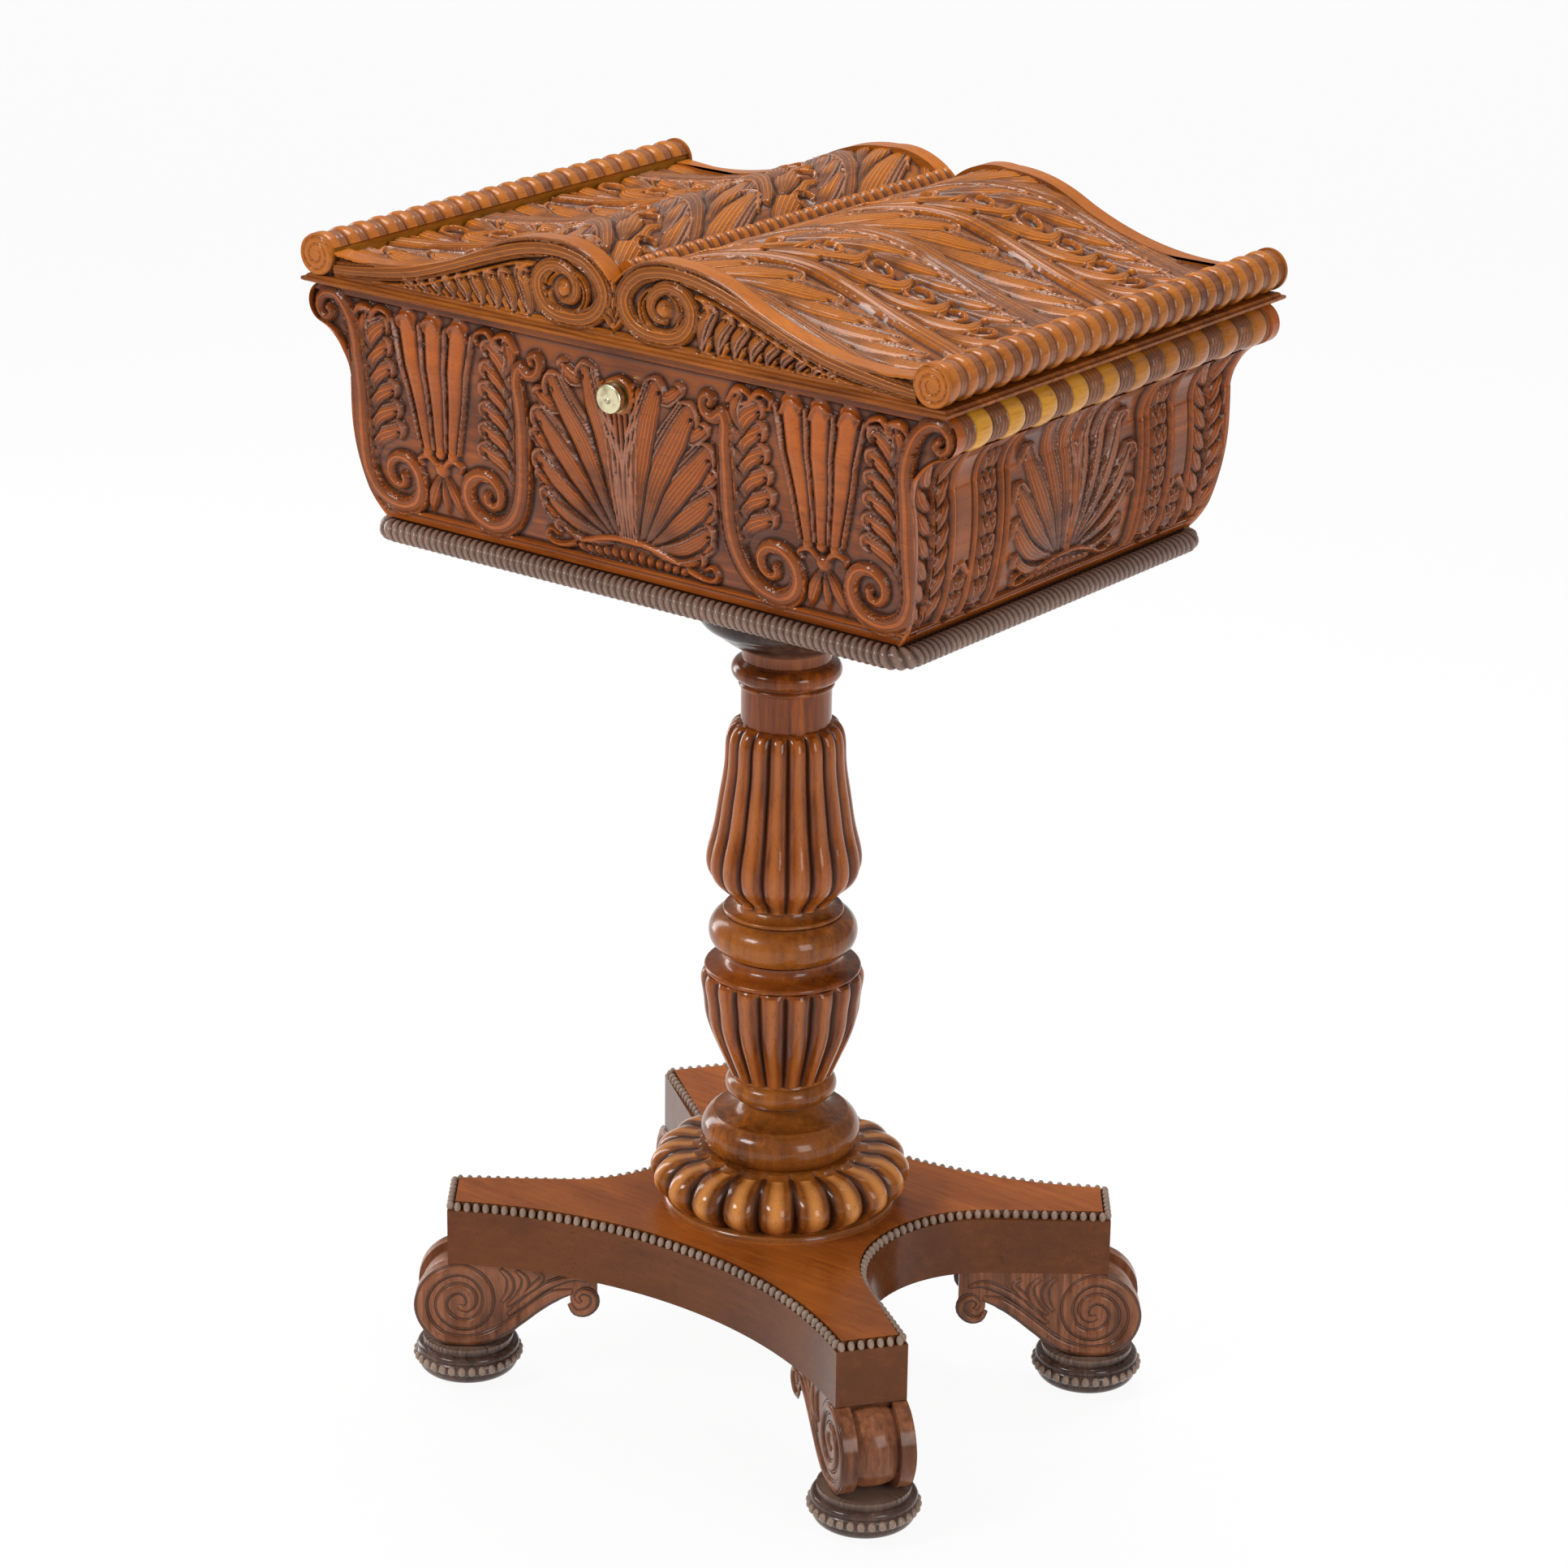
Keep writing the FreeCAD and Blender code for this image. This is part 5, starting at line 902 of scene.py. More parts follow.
def crest_drawing():
    """Right half of the lid's front."""
    r = Carving((-3.0, 734.0), (219.0, 791.0), 0.5)
    r.h[:] = 0.5
    r.h[r.window((-9, 730), (250, 739.0))] = 3.6
    r.stroke([(-9, 739.8), (60, 739.8), (219, 739.8)], [2.2], [4.2])
    # leaves in the corner under the band, smaller and smaller towards the edge of the lid
    leaves = ((63, 25, 10.5, 13), (75, 21, 9.5, 15), (87, 18.5, 9.0, 14), (99, 15.5, 8.0, 14),
              (110, 12.5, 7.0, 13), (121, 10.0, 6.0, 12), (132, 7.6, 5.0, 11), (143, 5.6, 4.2, 10),
              (154, 4.0, 3.4, 9))
    for x, tall, width, lean in leaves:
        bow, tip = (x + lean * 0.12, 741 + tall * 0.5), (x + lean * 0.62, 740.5 + tall)
        r.lobe((x, 740.5), bow, tip, width, 4.1, side=-1, ridges=2)
        shoot = [(x + 5, 740.5), (x + 9, 741 + tall * 0.28), (x + lean, 741 + tall * 0.24),
                 (x + lean - 2, 740 + tall * 0.12)]
        r.stroke(shoot, width * np.array([0.35, 0.5, 0.4, 0.25]), [4.2, 4.6, 4.4, 3.8])
    r.stroke([(60, 771), (67, 769), (70, 763), (66, 758.5), (62.5, 761.5)], [3.0, 4.6, 4.4, 3.4, 2.4],
             [4.4, 5, 5, 4.6, 4])
    # leaf bundle between the volutes, and a husk over it
    for angle, reach in ((0, 27), (-17, 22), (17, 22), (-38, 15), (38, 15)):
        x, z = reach * math.sin(math.radians(angle)), reach * math.cos(math.radians(angle))
        r.leaf((0, 740.5), (x * 0.5, 740.5 + z * 0.55), (x, 740.5 + z), 4.4, 4.2, 1)
    r.leaf((0, 762), (0.01, 766.5), (0, 772), 5.0, 4.4, 1)
    r.ball((0, 744), 2.6, 4.8)
    # the band, from the end of the roll over the crown into the great volute
    band = [(223, 742.2), (205, 743.2), (188, 745.2), (170, 747.8), (150, 751.9), (125, 760.0),
            (100, 769.0), (75, 777.2), (55, 781.3), (38, 781.7), (22, 778.3), (11.8, 770.8), (7.4, 762.3),
            (8.9, 754.3), (15.2, 747.4), (25.6, 743.6), (40, 743.4), (50.4, 747.2), (56.4, 755.2),
            (56.6, 763.8), (51, 770.6), (42.2, 773.2), (33.6, 771.0), (28.3, 765.2), (27.8, 758.6),
            (31.6, 753.9), (37.2, 753.2)]
    r.stroke(band, [9, 10, 11.4] + [12] * 8 + [11.5, 10, 8, 5.4], [LID_DEPTH], "band", veins=2,
             tint=(0.0, 0.3, 0.5, 0.6))
    # a thin fillet runs inside the band, and two more wind round the eye
    fillet = [(186, 738.6), (150, 743.4), (125, 751.4), (100, 760.4), (78, 768.0), (64, 771.4)]
    r.stroke(fillet, [1.4, 2.4, 2.6, 2.2], [4.3])
    for inset, rise in ((7.6, 4.6), (10.0, 4.3)):
        ring = [(35.2 + (22.8 - inset) * math.cos(t) * 1.06, 758.2 + (21.6 - inset) * math.sin(t))
                for t in np.linspace(0.2, 6.1, 22)]
        r.stroke(ring, [2.0, 2.3], [rise])
    r.ball((36.6, 759.4), 6.2, 5.0)
    r.stroke([(33.2, 756.4), (38.4, 754.9), (42.0, 758.8), (39.6, 762.9), (35.4, 762.0)], [1.2, 1.5],
             [1.4, 1.2], "soft", cut=True)
    r.h = softened(np.clip(r.h, 0, LID_DEPTH), 1)
    edge = crest_height(np.clip(r.u, 0, SEAT_X))[None, :] - r.v[:, None]
    r.h = np.where(edge < 2.0, np.maximum(r.h, 4.7), r.h)
    return r


crest_relief = crest_drawing()
print("scroll drawing:", crest_relief.h.shape, "cells")

# %% Carve the scroll boards
CREST_Y, CREST_BACK_Y, EDGE_R = 171.0, 157.0, 1.2


def carved_crest(name, side, lift):
    """Front or back board of the lid; the drawing is stretched to the height of the board."""
    x = np.linspace(-SEAT_X, SEAT_X, 620)
    share = np.linspace(0, 1, 76)[:, None]
    top = crest_height(np.abs(x), lift)[None, :]
    z = LEDGE_TOP + (top - LEDGE_TOP) * share
    drawn_z = LEDGE_TOP + (crest_height(np.abs(x)) - LEDGE_TOP)[None, :] * share
    xx = np.repeat(x[None, :], len(share), 0)
    h, vein, tint = crest_relief.sample(np.abs(xx), drawn_z)
    eased = np.clip(EDGE_R - (top - z), 0, EDGE_R)
    y_face = CREST_Y - (LID_DEPTH - h) - EDGE_R + np.sqrt(np.clip(EDGE_R ** 2 - eased ** 2, 0, None))
    # the top edge runs back from the face as a plain strip
    strip_y = CREST_Y - 0.8 - np.array([0.7, 3.0, 6.0, 9.0, 11.8])[:, None]
    plain = np.zeros((len(strip_y), len(x)))
    obj = add_grid(name, len(x), len(share) + len(strip_y))
    set_points(obj, np.stack([np.vstack([xx, plain + x]), side * np.vstack([y_face, plain + strip_y]),
                              np.vstack([z, plain + top])], axis=-1) * MM)
    close_board(obj, onto("y", side * CREST_BACK_Y))
    h, vein, tint = (np.vstack(pair) for pair in ((h, plain + LID_DEPTH), (vein, plain), (tint, plain)))
    keep_carved_wear_shade_and_sheen(obj, h, vein, tint, LID_DEPTH)
    return obj


finish_piece(carved_crest("lid_crest_front", -1, SCROLL_LIFT), "lid", "lid_front_scrolls")
finish_piece(carved_crest("lid_crest_back", 1, 0.0), "lid", "lid_back_scrolls")

# %% [markdown]
# ## The knotted band in the valley
# Where the two arches meet lies a narrow rounded band, carved as a row of leafy knots. It covers the
# joint between the two tops. One knot is a swelling with a waist on either side and a slanting cut
# from each flank, and the row is that shape repeated all the way from front to back.

# %% Valley band
KNOT_PITCH, WAIST_DEPTH = 9.5, 2.6


def knotted_band(name):
    """A row of knots over the joint between the two tops."""
    y = np.linspace(-TOP_HALF, TOP_HALF, 430)
    turn = np.linspace(-1, 1, 19)
    yy, tt = np.meshgrid(y, turn, indexing="ij")
    phase = (yy / KNOT_PITCH) % 1.0
    slanted = (yy / KNOT_PITCH + 0.32 * np.abs(tt)) % 1.0
    swell = np.sqrt(np.clip(1 - (2 * phase - 1) ** 2, 0, 1))
    cut = np.exp(-((slanted - 0.5) / 0.10) ** 2) * np.abs(tt) * 1.6
    sink = WAIST_DEPTH * (1 - swell) + cut
    z = VALLEY_Z + 6.5 * (1 - tt ** 2) - sink
    px = VALLEY_X * tt * (1 - 0.10 * (1 - swell))
    obj = add_grid(name, len(turn), len(y))
    set_points(obj, np.stack([px, yy, z], axis=-1) * MM)
    close_board(obj, onto("z", BOARD_TOP))
    # the waists and cuts lie low and are darkened as dirt and painted shade
    keep_wear_shade_and_sheen(obj, 1 - sink / WAIST_DEPTH, 0.62 - sink / 4.5, np.full(sink.shape, 0.58))
    return obj


finish_piece(knotted_band("valley_band"), "lid", "lid_valley_band")

# %% [markdown]
# ## Rolls and rails
# The ends of the lid close with turned rolls, and turned rails run under them along the box's rim.
# A turner cuts such a rod in units: a few thin rings, then a barrel. Here a flat grid is wrapped
# round the rod's axis, with the flat back that is glued to the wood left open and closed last.

# %% Turned rods
def ringed_radius(share, rings):
    """Radius share along one unit; a ring is its start, end, foot and crown."""
    out_radius = np.zeros_like(share)
    for low, high, foot, crown in rings:
        here = (share >= low) & (share <= high)
        bulge = np.sqrt(np.clip(1 - (2 * (share - low) / (high - low) - 1) ** 2, 0, 1))
        out_radius = np.where(here, foot + (crown - foot) * bulge, out_radius)
    return out_radius


def turned_rod(name, rod, side):
    """Turned rod along the side of the chest, on its right for side 1 and its left for side -1."""
    y = np.linspace(-rod["half"], rod["half"], rod["units"] * rod["steps"] + 1)
    share = ((y + rod["half"]) / (2 * rod["half"]) * rod["units"]) % 1.0
    profile = ringed_radius(share, rod["rings"])
    limit = math.acos(-rod["seat"] / rod["radius"]) - 0.001
    angle = np.linspace(limit, -limit, 26)
    yy, aa = np.meshgrid(y, angle, indexing="ij")
    across = np.ones_like(aa)
    rr = rod["radius"] * profile[:, None] * across
    middle_x, middle_z = rod["middle"]
    x = middle_x + np.maximum(rr * np.cos(aa), -rod["seat"])
    obj = add_grid(name, len(angle), len(y))
    set_points(obj, np.stack([side * x, yy, middle_z + rr * np.sin(aa)], axis=-1) * MM)

    def inner(points):
        points[:, 1] *= 0.992
        points[:, 2] = middle_z * MM + (points[:, 2] - middle_z * MM) * 0.7
        return onto("x", side * (middle_x - rod["seat"] * 0.8))(points)

    close_board(obj, inner)
    # the thin rings lie low and are darkened as dirt and painted shade, and greyed a little as dust and
    # painted sheen
    keep_wear_shade_and_sheen(obj, (profile[:, None] - 0.8) / 0.2 * across, 0.33 + 2.0 * (profile[:, None] - 0.84) * across,
              np.where(profile > 0.93, 0.62, 0.38)[:, None] * across)
    low, high = rod["barrel"]
    amber = np.clip(np.minimum(share - low, high - share) / 0.03, 0, 1)
    amber *= np.interp(y, rod["half"] * np.array((-1, -0.3, 0.2, 1)), rod["amber"])
    keep_attribute(obj, "amber", amber[:, None] * across)
    return obj


# A ring is the start and end of its place in a unit, and the radius at its foot and crown, all as shares.
# Amber is how yellow the barrels are, from the front to the back.
ROLL = dict(middle=(228.0, 750.0), radius=13.0, half=172.0, seat=12.0, units=20, steps=18,
            rings=[(0.0, 0.62, 0.84, 1.0), (0.62, 0.81, 0.82, 0.90), (0.81, 1.0, 0.82, 0.90)],
            barrel=(0.05, 0.57), amber=(0.12, 0.16, 0.20, 0.20))
RAIL = dict(middle=(RAIL_X, RAIL_Z), radius=RAIL_R, half=157.75, seat=7.0, units=10, steps=40,
            rings=[(0.0, 0.12, 0.82, 0.92), (0.12, 0.24, 0.82, 0.92), (0.24, 0.34, 0.82, 0.91),
                   (0.34, 0.90, 0.82, 1.0), (0.90, 1.0, 0.82, 0.91)],
            barrel=(0.36, 0.88), amber=(1.0, 0.85, 0.25, 0.15))
SIDES = {"right": 1, "left": -1}
for word, side in SIDES.items():
    finish_piece(turned_rod("turned_roll_" + word, ROLL, side), "lid", "lid_" + word + "_roll")
    finish_piece(turned_rod("turned_rail_" + word, RAIL, side), "stand", "box_" + word + "_rail")

# %% [markdown]
# ## Scrolled ends of the rolls
# The band of the lid's front winds up on the end of each roll. It is a round disc with a spiral
# carved in its face: a grid in rings about the centre, whose height follows a winding line.

# %% Spiral discs
VOLUTE_R, VOLUTE_RISE, WINDING = 12.9, 1.5, 4.3


def spiral_disc(name, side_x, side_y):
    """Disc with a spiral carved on its face, at one end of a roll."""
    middle_x, middle_z = ROLL["middle"]
    angle = np.linspace(0, 2 * math.pi, 121)
    rr, aa = np.meshgrid(np.linspace(0, VOLUTE_R, 34), angle, indexing="ij")
    winding = (rr / WINDING - (aa + math.pi / 2) / (2 * math.pi)) % 1.0
    face = np.sqrt(np.clip(1 - (2 * winding - 1) ** 2, 0, 1)) ** 0.5
    fillet = np.exp(-((winding - 0.16) / 0.06) ** 2) * 0.35
    h = np.where(rr < 3.4, 0.9, np.clip(face - fillet, 0, 1)) * np.clip(VOLUTE_R + 0.2 - rr, 0, 1) ** 0.5
    h *= VOLUTE_RISE
    obj = add_grid(name, rr.shape[1], rr.shape[0])
    set_points(obj, np.stack([side_x * (middle_x + rr * np.cos(aa)), side_y * (ROLL["half"] - 0.1 + h),
                              middle_z + rr * np.sin(aa)], axis=-1) * MM)
    # the groove of the spiral lies low and is darkened as dirt and painted shade
    keep_wear_shade_and_sheen(obj, h / VOLUTE_RISE, 0.15 + h / 2.0, np.full(h.shape, 0.6))
    face_outwards(obj, merge=True)
    close_board(obj, onto("y", side_y * (ROLL["half"] - 1.6)))
    return obj


for word_x, side_x in SIDES.items():
    for word_y, side_y in (("front", -1), ("back", 1)):
        finish_piece(spiral_disc("volute_" + word_y + "_" + word_x, side_x, side_y), "lid")

# %% [markdown]
# ## The rope round the foot of the box
# The base moulding is carved as a twisted rope. A ring lies round the floor of the box, and its
# radius rises and falls as one goes along it and round it, which makes two slanting strands.

# %% Rope moulding
def rope_place(run, half_x, half_y, bend):
    """Place and heading on a rounded rectangle, at shares of its length, starting at the right."""
    straight_y, straight_x, quarter = 2 * (half_y - bend), 2 * (half_x - bend), bend * math.pi / 2
    total = 2 * (straight_x + straight_y) + 4 * quarter
    s = (run * total + straight_y / 2) % total
    place, heading = np.zeros((len(s), 2)), np.zeros(len(s))
    start = 0.0
    corners = [(half_x - bend, half_y - bend), (-half_x + bend, half_y - bend),
               (-half_x + bend, -half_y + bend), (half_x - bend, -half_y + bend)]
    for k, length in enumerate((straight_y, straight_x, straight_y, straight_x)):
        turn = k * math.pi / 2
        way, side = np.array([-math.sin(turn), math.cos(turn)]), np.array([math.cos(turn), math.sin(turn)])
        corner = np.array(corners[k])
        here = (s >= start) & (s < start + length)
        place[here] = corner + side * bend + way * ((s[here] - start) - length)[:, None]
        heading[here] = turn
        start += length
        here = (s >= start) & (s < start + quarter)
        a = turn + (s[here] - start) / bend
        place[here] = corner + bend * np.stack([np.cos(a), np.sin(a)], axis=-1)
        heading[here] = a
        start += quarter
    return place, heading, total


ROPE_X, ROPE_Y, ROPE_Z, ROPE_R = 196.9, 151.3, 579.6, 7.0
STRANDS, STRAND_DEPTH, ROPE_BEND, FLAT_BACK = 264, 1.9, 10.0, -4.4


def rope_ring(name):
    """Rope round the floor of the box, with a flat back where it is glued on."""
    run = np.linspace(0, 1, STRANDS * 7 + 1)
    around = np.linspace(0, 2 * math.pi, 17)
    place, heading, total = rope_place(run, ROPE_X, ROPE_Y, ROPE_BEND)
    across = around[None, :] * np.ones((len(run), 1))
    wave = np.abs(np.cos(math.pi * STRANDS * run[:, None] + across)) ** 0.6
    radius = ROPE_R - STRAND_DEPTH * (1 - wave)
    outward = np.maximum(radius * np.cos(across), FLAT_BACK)[:, :, None]
    xy = place[:, None, :] + np.stack([np.cos(heading), np.sin(heading)], axis=-1)[:, None, :] * outward
    z = ROPE_Z + radius * np.sin(across)
    obj = add_grid(name, len(around), len(run))
    set_points(obj, np.concatenate([xy, z[:, :, None]], axis=-1) * MM)
    # the troughs between strands are darkened as dirt and painted shade, the crowns greyed as dust and
    # painted sheen
    keep_wear_shade_and_sheen(obj, wave, wave * 0.62, 0.48 - 0.22 * wave)
    face_outwards(obj, merge=True)
    bpy.ops.object.shade_smooth_by_angle(angle=math.radians(60))
    print("one strand every", round(total / STRANDS, 2), "mm")
    return obj


finish_piece(rope_ring("rope_moulding"), "stand", "box_bead_moulding")

# %% [markdown]
# ## Strings of beads
# An oval bead stands every few millimetres along the platform's top edge, and small round ones go
# round each foot's disc. On the real stand they are glued or carved in a rebate. One bead is made,
# then copied to every place with its own mesh and joined into strings.

# %% Beads
def outline_run(points, pitch):
    """Places and headings at equal steps along a closed line of points."""
    line = np.array(points + points[:1])
    step = np.linalg.norm(np.diff(line, axis=0), axis=1)
    along = np.concatenate([[0], np.cumsum(step)])
    s = np.linspace(0, along[-1], round(along[-1] / pitch), endpoint=False)
    x, y = np.interp(s, along, line[:, 0]), np.interp(s, along, line[:, 1])
    ahead = (s + 1.0) % along[-1]
    ahead_x, ahead_y = np.interp(ahead, along, line[:, 0]), np.interp(ahead, along, line[:, 1])
    return list(zip(x, y, np.arctan2(ahead_y - y, ahead_x - x)))


def joined(objects, name):
    """Joins objects into one."""
    bpy.ops.object.select_all(action="DESELECT")
    for obj in objects:
        obj.select_set(True)
    bpy.context.view_layer.objects.active = objects[0]
    bpy.ops.object.join()
    objects[0].name = objects[0].data.name = name
    return objects[0]


def string_of_beads(name, places, half):
    """Oval beads at the places (x, y, z, heading); half holds the bead's half sizes."""
    bpy.ops.object.select_all(action="DESELECT")
    bpy.ops.mesh.primitive_uv_sphere_add(segments=8, ring_count=6, radius=1.0)
    first = bpy.context.object
    bead = get_points(first) * np.array(half)
    copies = [first]
    for _ in places[1:]:
        copy = first.copy()
        copy.data = first.data.copy()
        bpy.context.scene.collection.objects.link(copy)
        copies.append(copy)
    for obj, (x, y, z, heading) in zip(copies, places):
        c, s = math.cos(heading), math.sin(heading)
        set_points(obj, np.stack([x + bead[:, 0] * c - bead[:, 1] * s, y + bead[:, 0] * s + bead[:, 1] * c,
                                  z + bead[:, 2]], axis=-1) * MM)
    string = joined(copies, name)
    bpy.ops.object.shade_smooth()
    print(name, len(places), "beads")
    return string


# %% Strings of beads on the platform and the feet
ARM_ANGLE, ARM_REACH, ARM_HALF = math.radians(37.0), 213.0, 22.7
END_X, END_R, SIDE_Y = 91.0, 87.0, 100.0
DISC_REACH, DISC_BEADS_R, DISC_BEADS_Z, DISC_BEADS = 202.0, 33.0, 17.8, 32
EDGE_BEAD_INSET, EDGE_BEAD_PITCH, EDGE_BEAD_Z = 2.0, 6.15, 129.9
along_arm = np.array((math.cos(ARM_ANGLE), math.sin(ARM_ANGLE)))
across_arm = np.array((-math.sin(ARM_ANGLE), math.cos(ARM_ANGLE)))


def platform_line(inset):
    """The platform's outline, drawn in by the inset: one quarter, then its mirror images."""
    reach, half = ARM_REACH - inset, ARM_HALF - inset
    outer, inner = along_arm * reach - across_arm * half, along_arm * reach + across_arm * half
    end_middle, end_radius = END_X + END_R, END_R + inset
    end_arc = [(end_middle - end_radius * math.cos(t), end_radius * math.sin(t))
               for t in np.linspace(0, math.pi / 2 - ARM_ANGLE, 24)]
    chord_x, deep_y = inner[0], SIDE_Y - inset
    arc_radius = (chord_x ** 2 + (inner[1] - deep_y) ** 2) / 2 / (inner[1] - deep_y)
    side_arc = [(x, deep_y + arc_radius - math.sqrt(arc_radius ** 2 - x ** 2))
                for x in np.linspace(chord_x, 0, 40)]
    quarter = end_arc + [tuple(outer)] + side_arc
    half_way = quarter + [(-x, y) for x, y in quarter[::-1][1:]]
    return half_way + [(x, -y) for x, y in half_way[::-1][1:-1]]


edge = [(x, y, EDGE_BEAD_Z, heading)
        for x, y, heading in outline_run(platform_line(EDGE_BEAD_INSET), EDGE_BEAD_PITCH)]
finish_piece(string_of_beads("platform_beads", edge, (2.35, 2.7, 3.5)), "stand", "platform_beading")
CORNERS = {"front_right": (1, -1), "front_left": (-1, -1), "back_right": (1, 1), "back_left": (-1, 1)}
for corner, (side_x, side_y) in CORNERS.items():
    x, y = DISC_REACH * along_arm * (side_x, side_y)
    ring = [(x + DISC_BEADS_R * math.cos(t), y + DISC_BEADS_R * math.sin(t), DISC_BEADS_Z, t + math.pi / 2)
            for t in np.linspace(0, 2 * math.pi, DISC_BEADS, endpoint=False)]
    finish_piece(string_of_beads("foot_beads_" + corner, ring, (3.0, 2.9, 3.2)), "stand")

# %% [markdown]
# ## Raised lines on the feet
# A carver leaves a thin raised line along the spiral of each foot, with a fan of ribs where the
# scroll meets the platform. Each line is a bent tube that is turned into a mesh and pressed flat
# against the cheek of the foot, so that only its rounded crown stands out. Under each line lies a
# wider strip that stands out hardly at all and is finished near black, as a painted shadow line.

# %% Foot carving
# Lines as (reach from the column, height) with half of their width
FOOT_LINES = (
    ([(132.5, 72.2), (144.6, 68.8), (156, 61.3), (168, 51.5), (181, 41.8), (193, 36.6), (205, 35.2),
      (218, 38.5), (227, 48), (230.6, 60.5), (227, 73), (218, 82.4), (206, 86), (195.5, 82.5), (188.5, 73.5),
      (187.2, 62.5), (191, 53), (199, 47.6), (208, 48), (215.5, 54), (217.6, 62.5), (213.5, 70), (206, 73),
      (199.5, 69.5), (198, 63), (201.5, 58.4), (206.6, 60)], 3.2),
    ([(122.8, 80), (131.5, 82.2), (139, 80.4), (151.5, 74.2), (164, 64), (175, 54.5)], 1.9),
    ([(168.9, 86.8), (163, 79.5), (166, 69.5), (175, 61)], 1.9),
    ([(179, 87.4), (173, 80), (173.5, 71), (178.5, 63.5)], 1.8),
    ([(157, 86.2), (152, 82.5), (157, 75.5), (167, 67.5)], 1.6),
    ([(134.6, 63.5), (130.5, 57.4), (123.5, 57.6), (118.6, 63), (119.4, 70), (125.5, 72.6), (130, 68.4),
      (127.2, 64)], 1.9),
)


def bent_tube(name, points, radius):
    """Tube along a line that is drawn upright over the x axis, thinner at both ends."""
    curve = bpy.data.curves.new(name, "CURVE")
    curve.dimensions = "3D"
    curve.bevel_depth, curve.bevel_resolution, curve.use_fill_caps = radius * MM, 2, True
    path = smooth_path(points, 2.2)
    spline = curve.splines.new("POLY")
    spline.points.add(len(path) - 1)
    for k, (point, (reach, z)) in enumerate(zip(spline.points, path)):
        point.co = (reach * MM, 0, z * MM, 1)
        point.radius = 0.45 + 0.55 * min(1.0, k / 5, (len(path) - 1 - k) / 5)
    tube = bpy.data.objects.new(name, curve)
    bpy.context.scene.collection.objects.link(tube)
    select_only(tube)
    bpy.ops.object.convert(target="MESH")
    return bpy.context.object


def foot_lines(name, side_x, side_y, wider, stands):
    """Lines on both cheeks of a foot, widened by wider and standing out by stands."""
    tubes = []
    for cheek in (-1, 1):
        for points, width in FOOT_LINES:
            radius = width + wider
            tube = bent_tube(name + "_line", points, radius)
            reach, aside, z = (get_points(tube) / MM).T
            out = cheek * ARM_HALF + np.clip(aside, -radius, radius) * (stands / radius)
            x = side_x * (reach * along_arm[0] - out * along_arm[1])
            y = side_y * (reach * along_arm[1] + out * along_arm[0])
            set_points(tube, np.stack([x, y, z], axis=-1) * MM)
            tubes.append(tube)
    obj = joined(tubes, name)
    face_outwards(obj, merge=True)
    bpy.ops.object.shade_smooth()
    return obj


for corner, (side_x, side_y) in CORNERS.items():
    finish_piece(foot_lines("foot_carving_" + corner, side_x, side_y, 0.0, 1.7), "stand")
    # a wider, nearly flat copy of the lines in near black wood: a painted shadow line round each raised line
    finish_piece(foot_lines("foot_shade_" + corner, side_x, side_y, 1.5, 0.2), "stand")

# %% [markdown]
# ## French-polished rosewood
# Polished rosewood is three things at once: streaked brown and red grain, a thin clear film that
# mirrors the room, and two hundred years of wax and dust. The hollows are painted nearly black, for
# the dirt that stays there and as painted shade, while hands and dusters rub the high places back to
# orange; ridges and the sides of hollows are greyed as dust and as a painted sheen. The grain is
# stretched noise on Object coordinates. The hollows and high places come from the numbers kept at
# each point of a carved piece, and from the sharpness of the surface on turned ones.

# %% Short calls for shader nodes
class Nodes:
    """The nodes of one material or world, each added and linked by a short call."""

    def __init__(self, tree):
        self.nodes, self.links = tree.nodes, tree.links

    def put(self, value, socket):
        """Links another node's output to a socket, or sets a plain number or colour on it."""
        if isinstance(value, bpy.types.NodeSocket):
            self.links.new(value, socket)
        elif socket.type == "RGBA":
            socket.default_value = (*value, 1)
        else:
            socket.default_value = value

    def place(self):
        return self.nodes.new("ShaderNodeTexCoord").outputs["Object"]

    def attribute(self, name):
        node = self.nodes.new("ShaderNodeAttribute")
        node.attribute_name = name
        return node.outputs["Fac"]

    def noise(self, source, scale, detail, roughness=0.55):
        node = self.nodes.new("ShaderNodeTexNoise")
        node.inputs["Scale"].default_value = scale
        node.inputs["Detail"].default_value = detail
        node.inputs["Roughness"].default_value = roughness
        self.put(source, node.inputs["Vector"])
        return node.outputs["Fac"]

    def ramp(self, source, stops):
        """Colour ramp through (place, colour) stops; a plain number stands for a grey."""
        node = self.nodes.new("ShaderNodeValToRGB")
        element = node.color_ramp.elements
        while len(element) < len(stops):
            element.new(0.5)
        for slot, (place, colour) in zip(element, stops):
            slot.position = place
            slot.color = (*colour, 1) if isinstance(colour, tuple) else (colour, colour, colour, 1)
        self.put(source, node.inputs["Fac"])
        return node.outputs["Color"]

    def mixed(self, factor, a, b, blend="MIX"):
        node = self.nodes.new("ShaderNodeMix")
        node.data_type, node.blend_type = "RGBA", blend
        for name, value in (("Factor", factor), ("A", a), ("B", b)):
            self.put(value, node.inputs[name])
        return node.outputs["Result"]

    def number(self, operation, a, b=0.0):
        """One arithmetic step on two sockets or numbers."""
        node = self.nodes.new("ShaderNodeMath")
        node.operation = operation
        self.put(a, node.inputs[0])
        self.put(b, node.inputs[1])
        return node.outputs["Value"]

    def split(self, source):
        node = self.nodes.new("ShaderNodeSeparateXYZ")
        self.put(source, node.inputs["Vector"])
        return node.outputs

    def bump(self, height, strength, distance, under=None):
        """Small height pattern, laid over an earlier one if that is given."""
        node = self.nodes.new("ShaderNodeBump")
        node.inputs["Strength"].default_value = strength
        node.inputs["Distance"].default_value = distance
        self.put(height, node.inputs["Height"])
        if under is not None:
            self.put(under, node.inputs["Normal"])
        return node.outputs["Normal"]


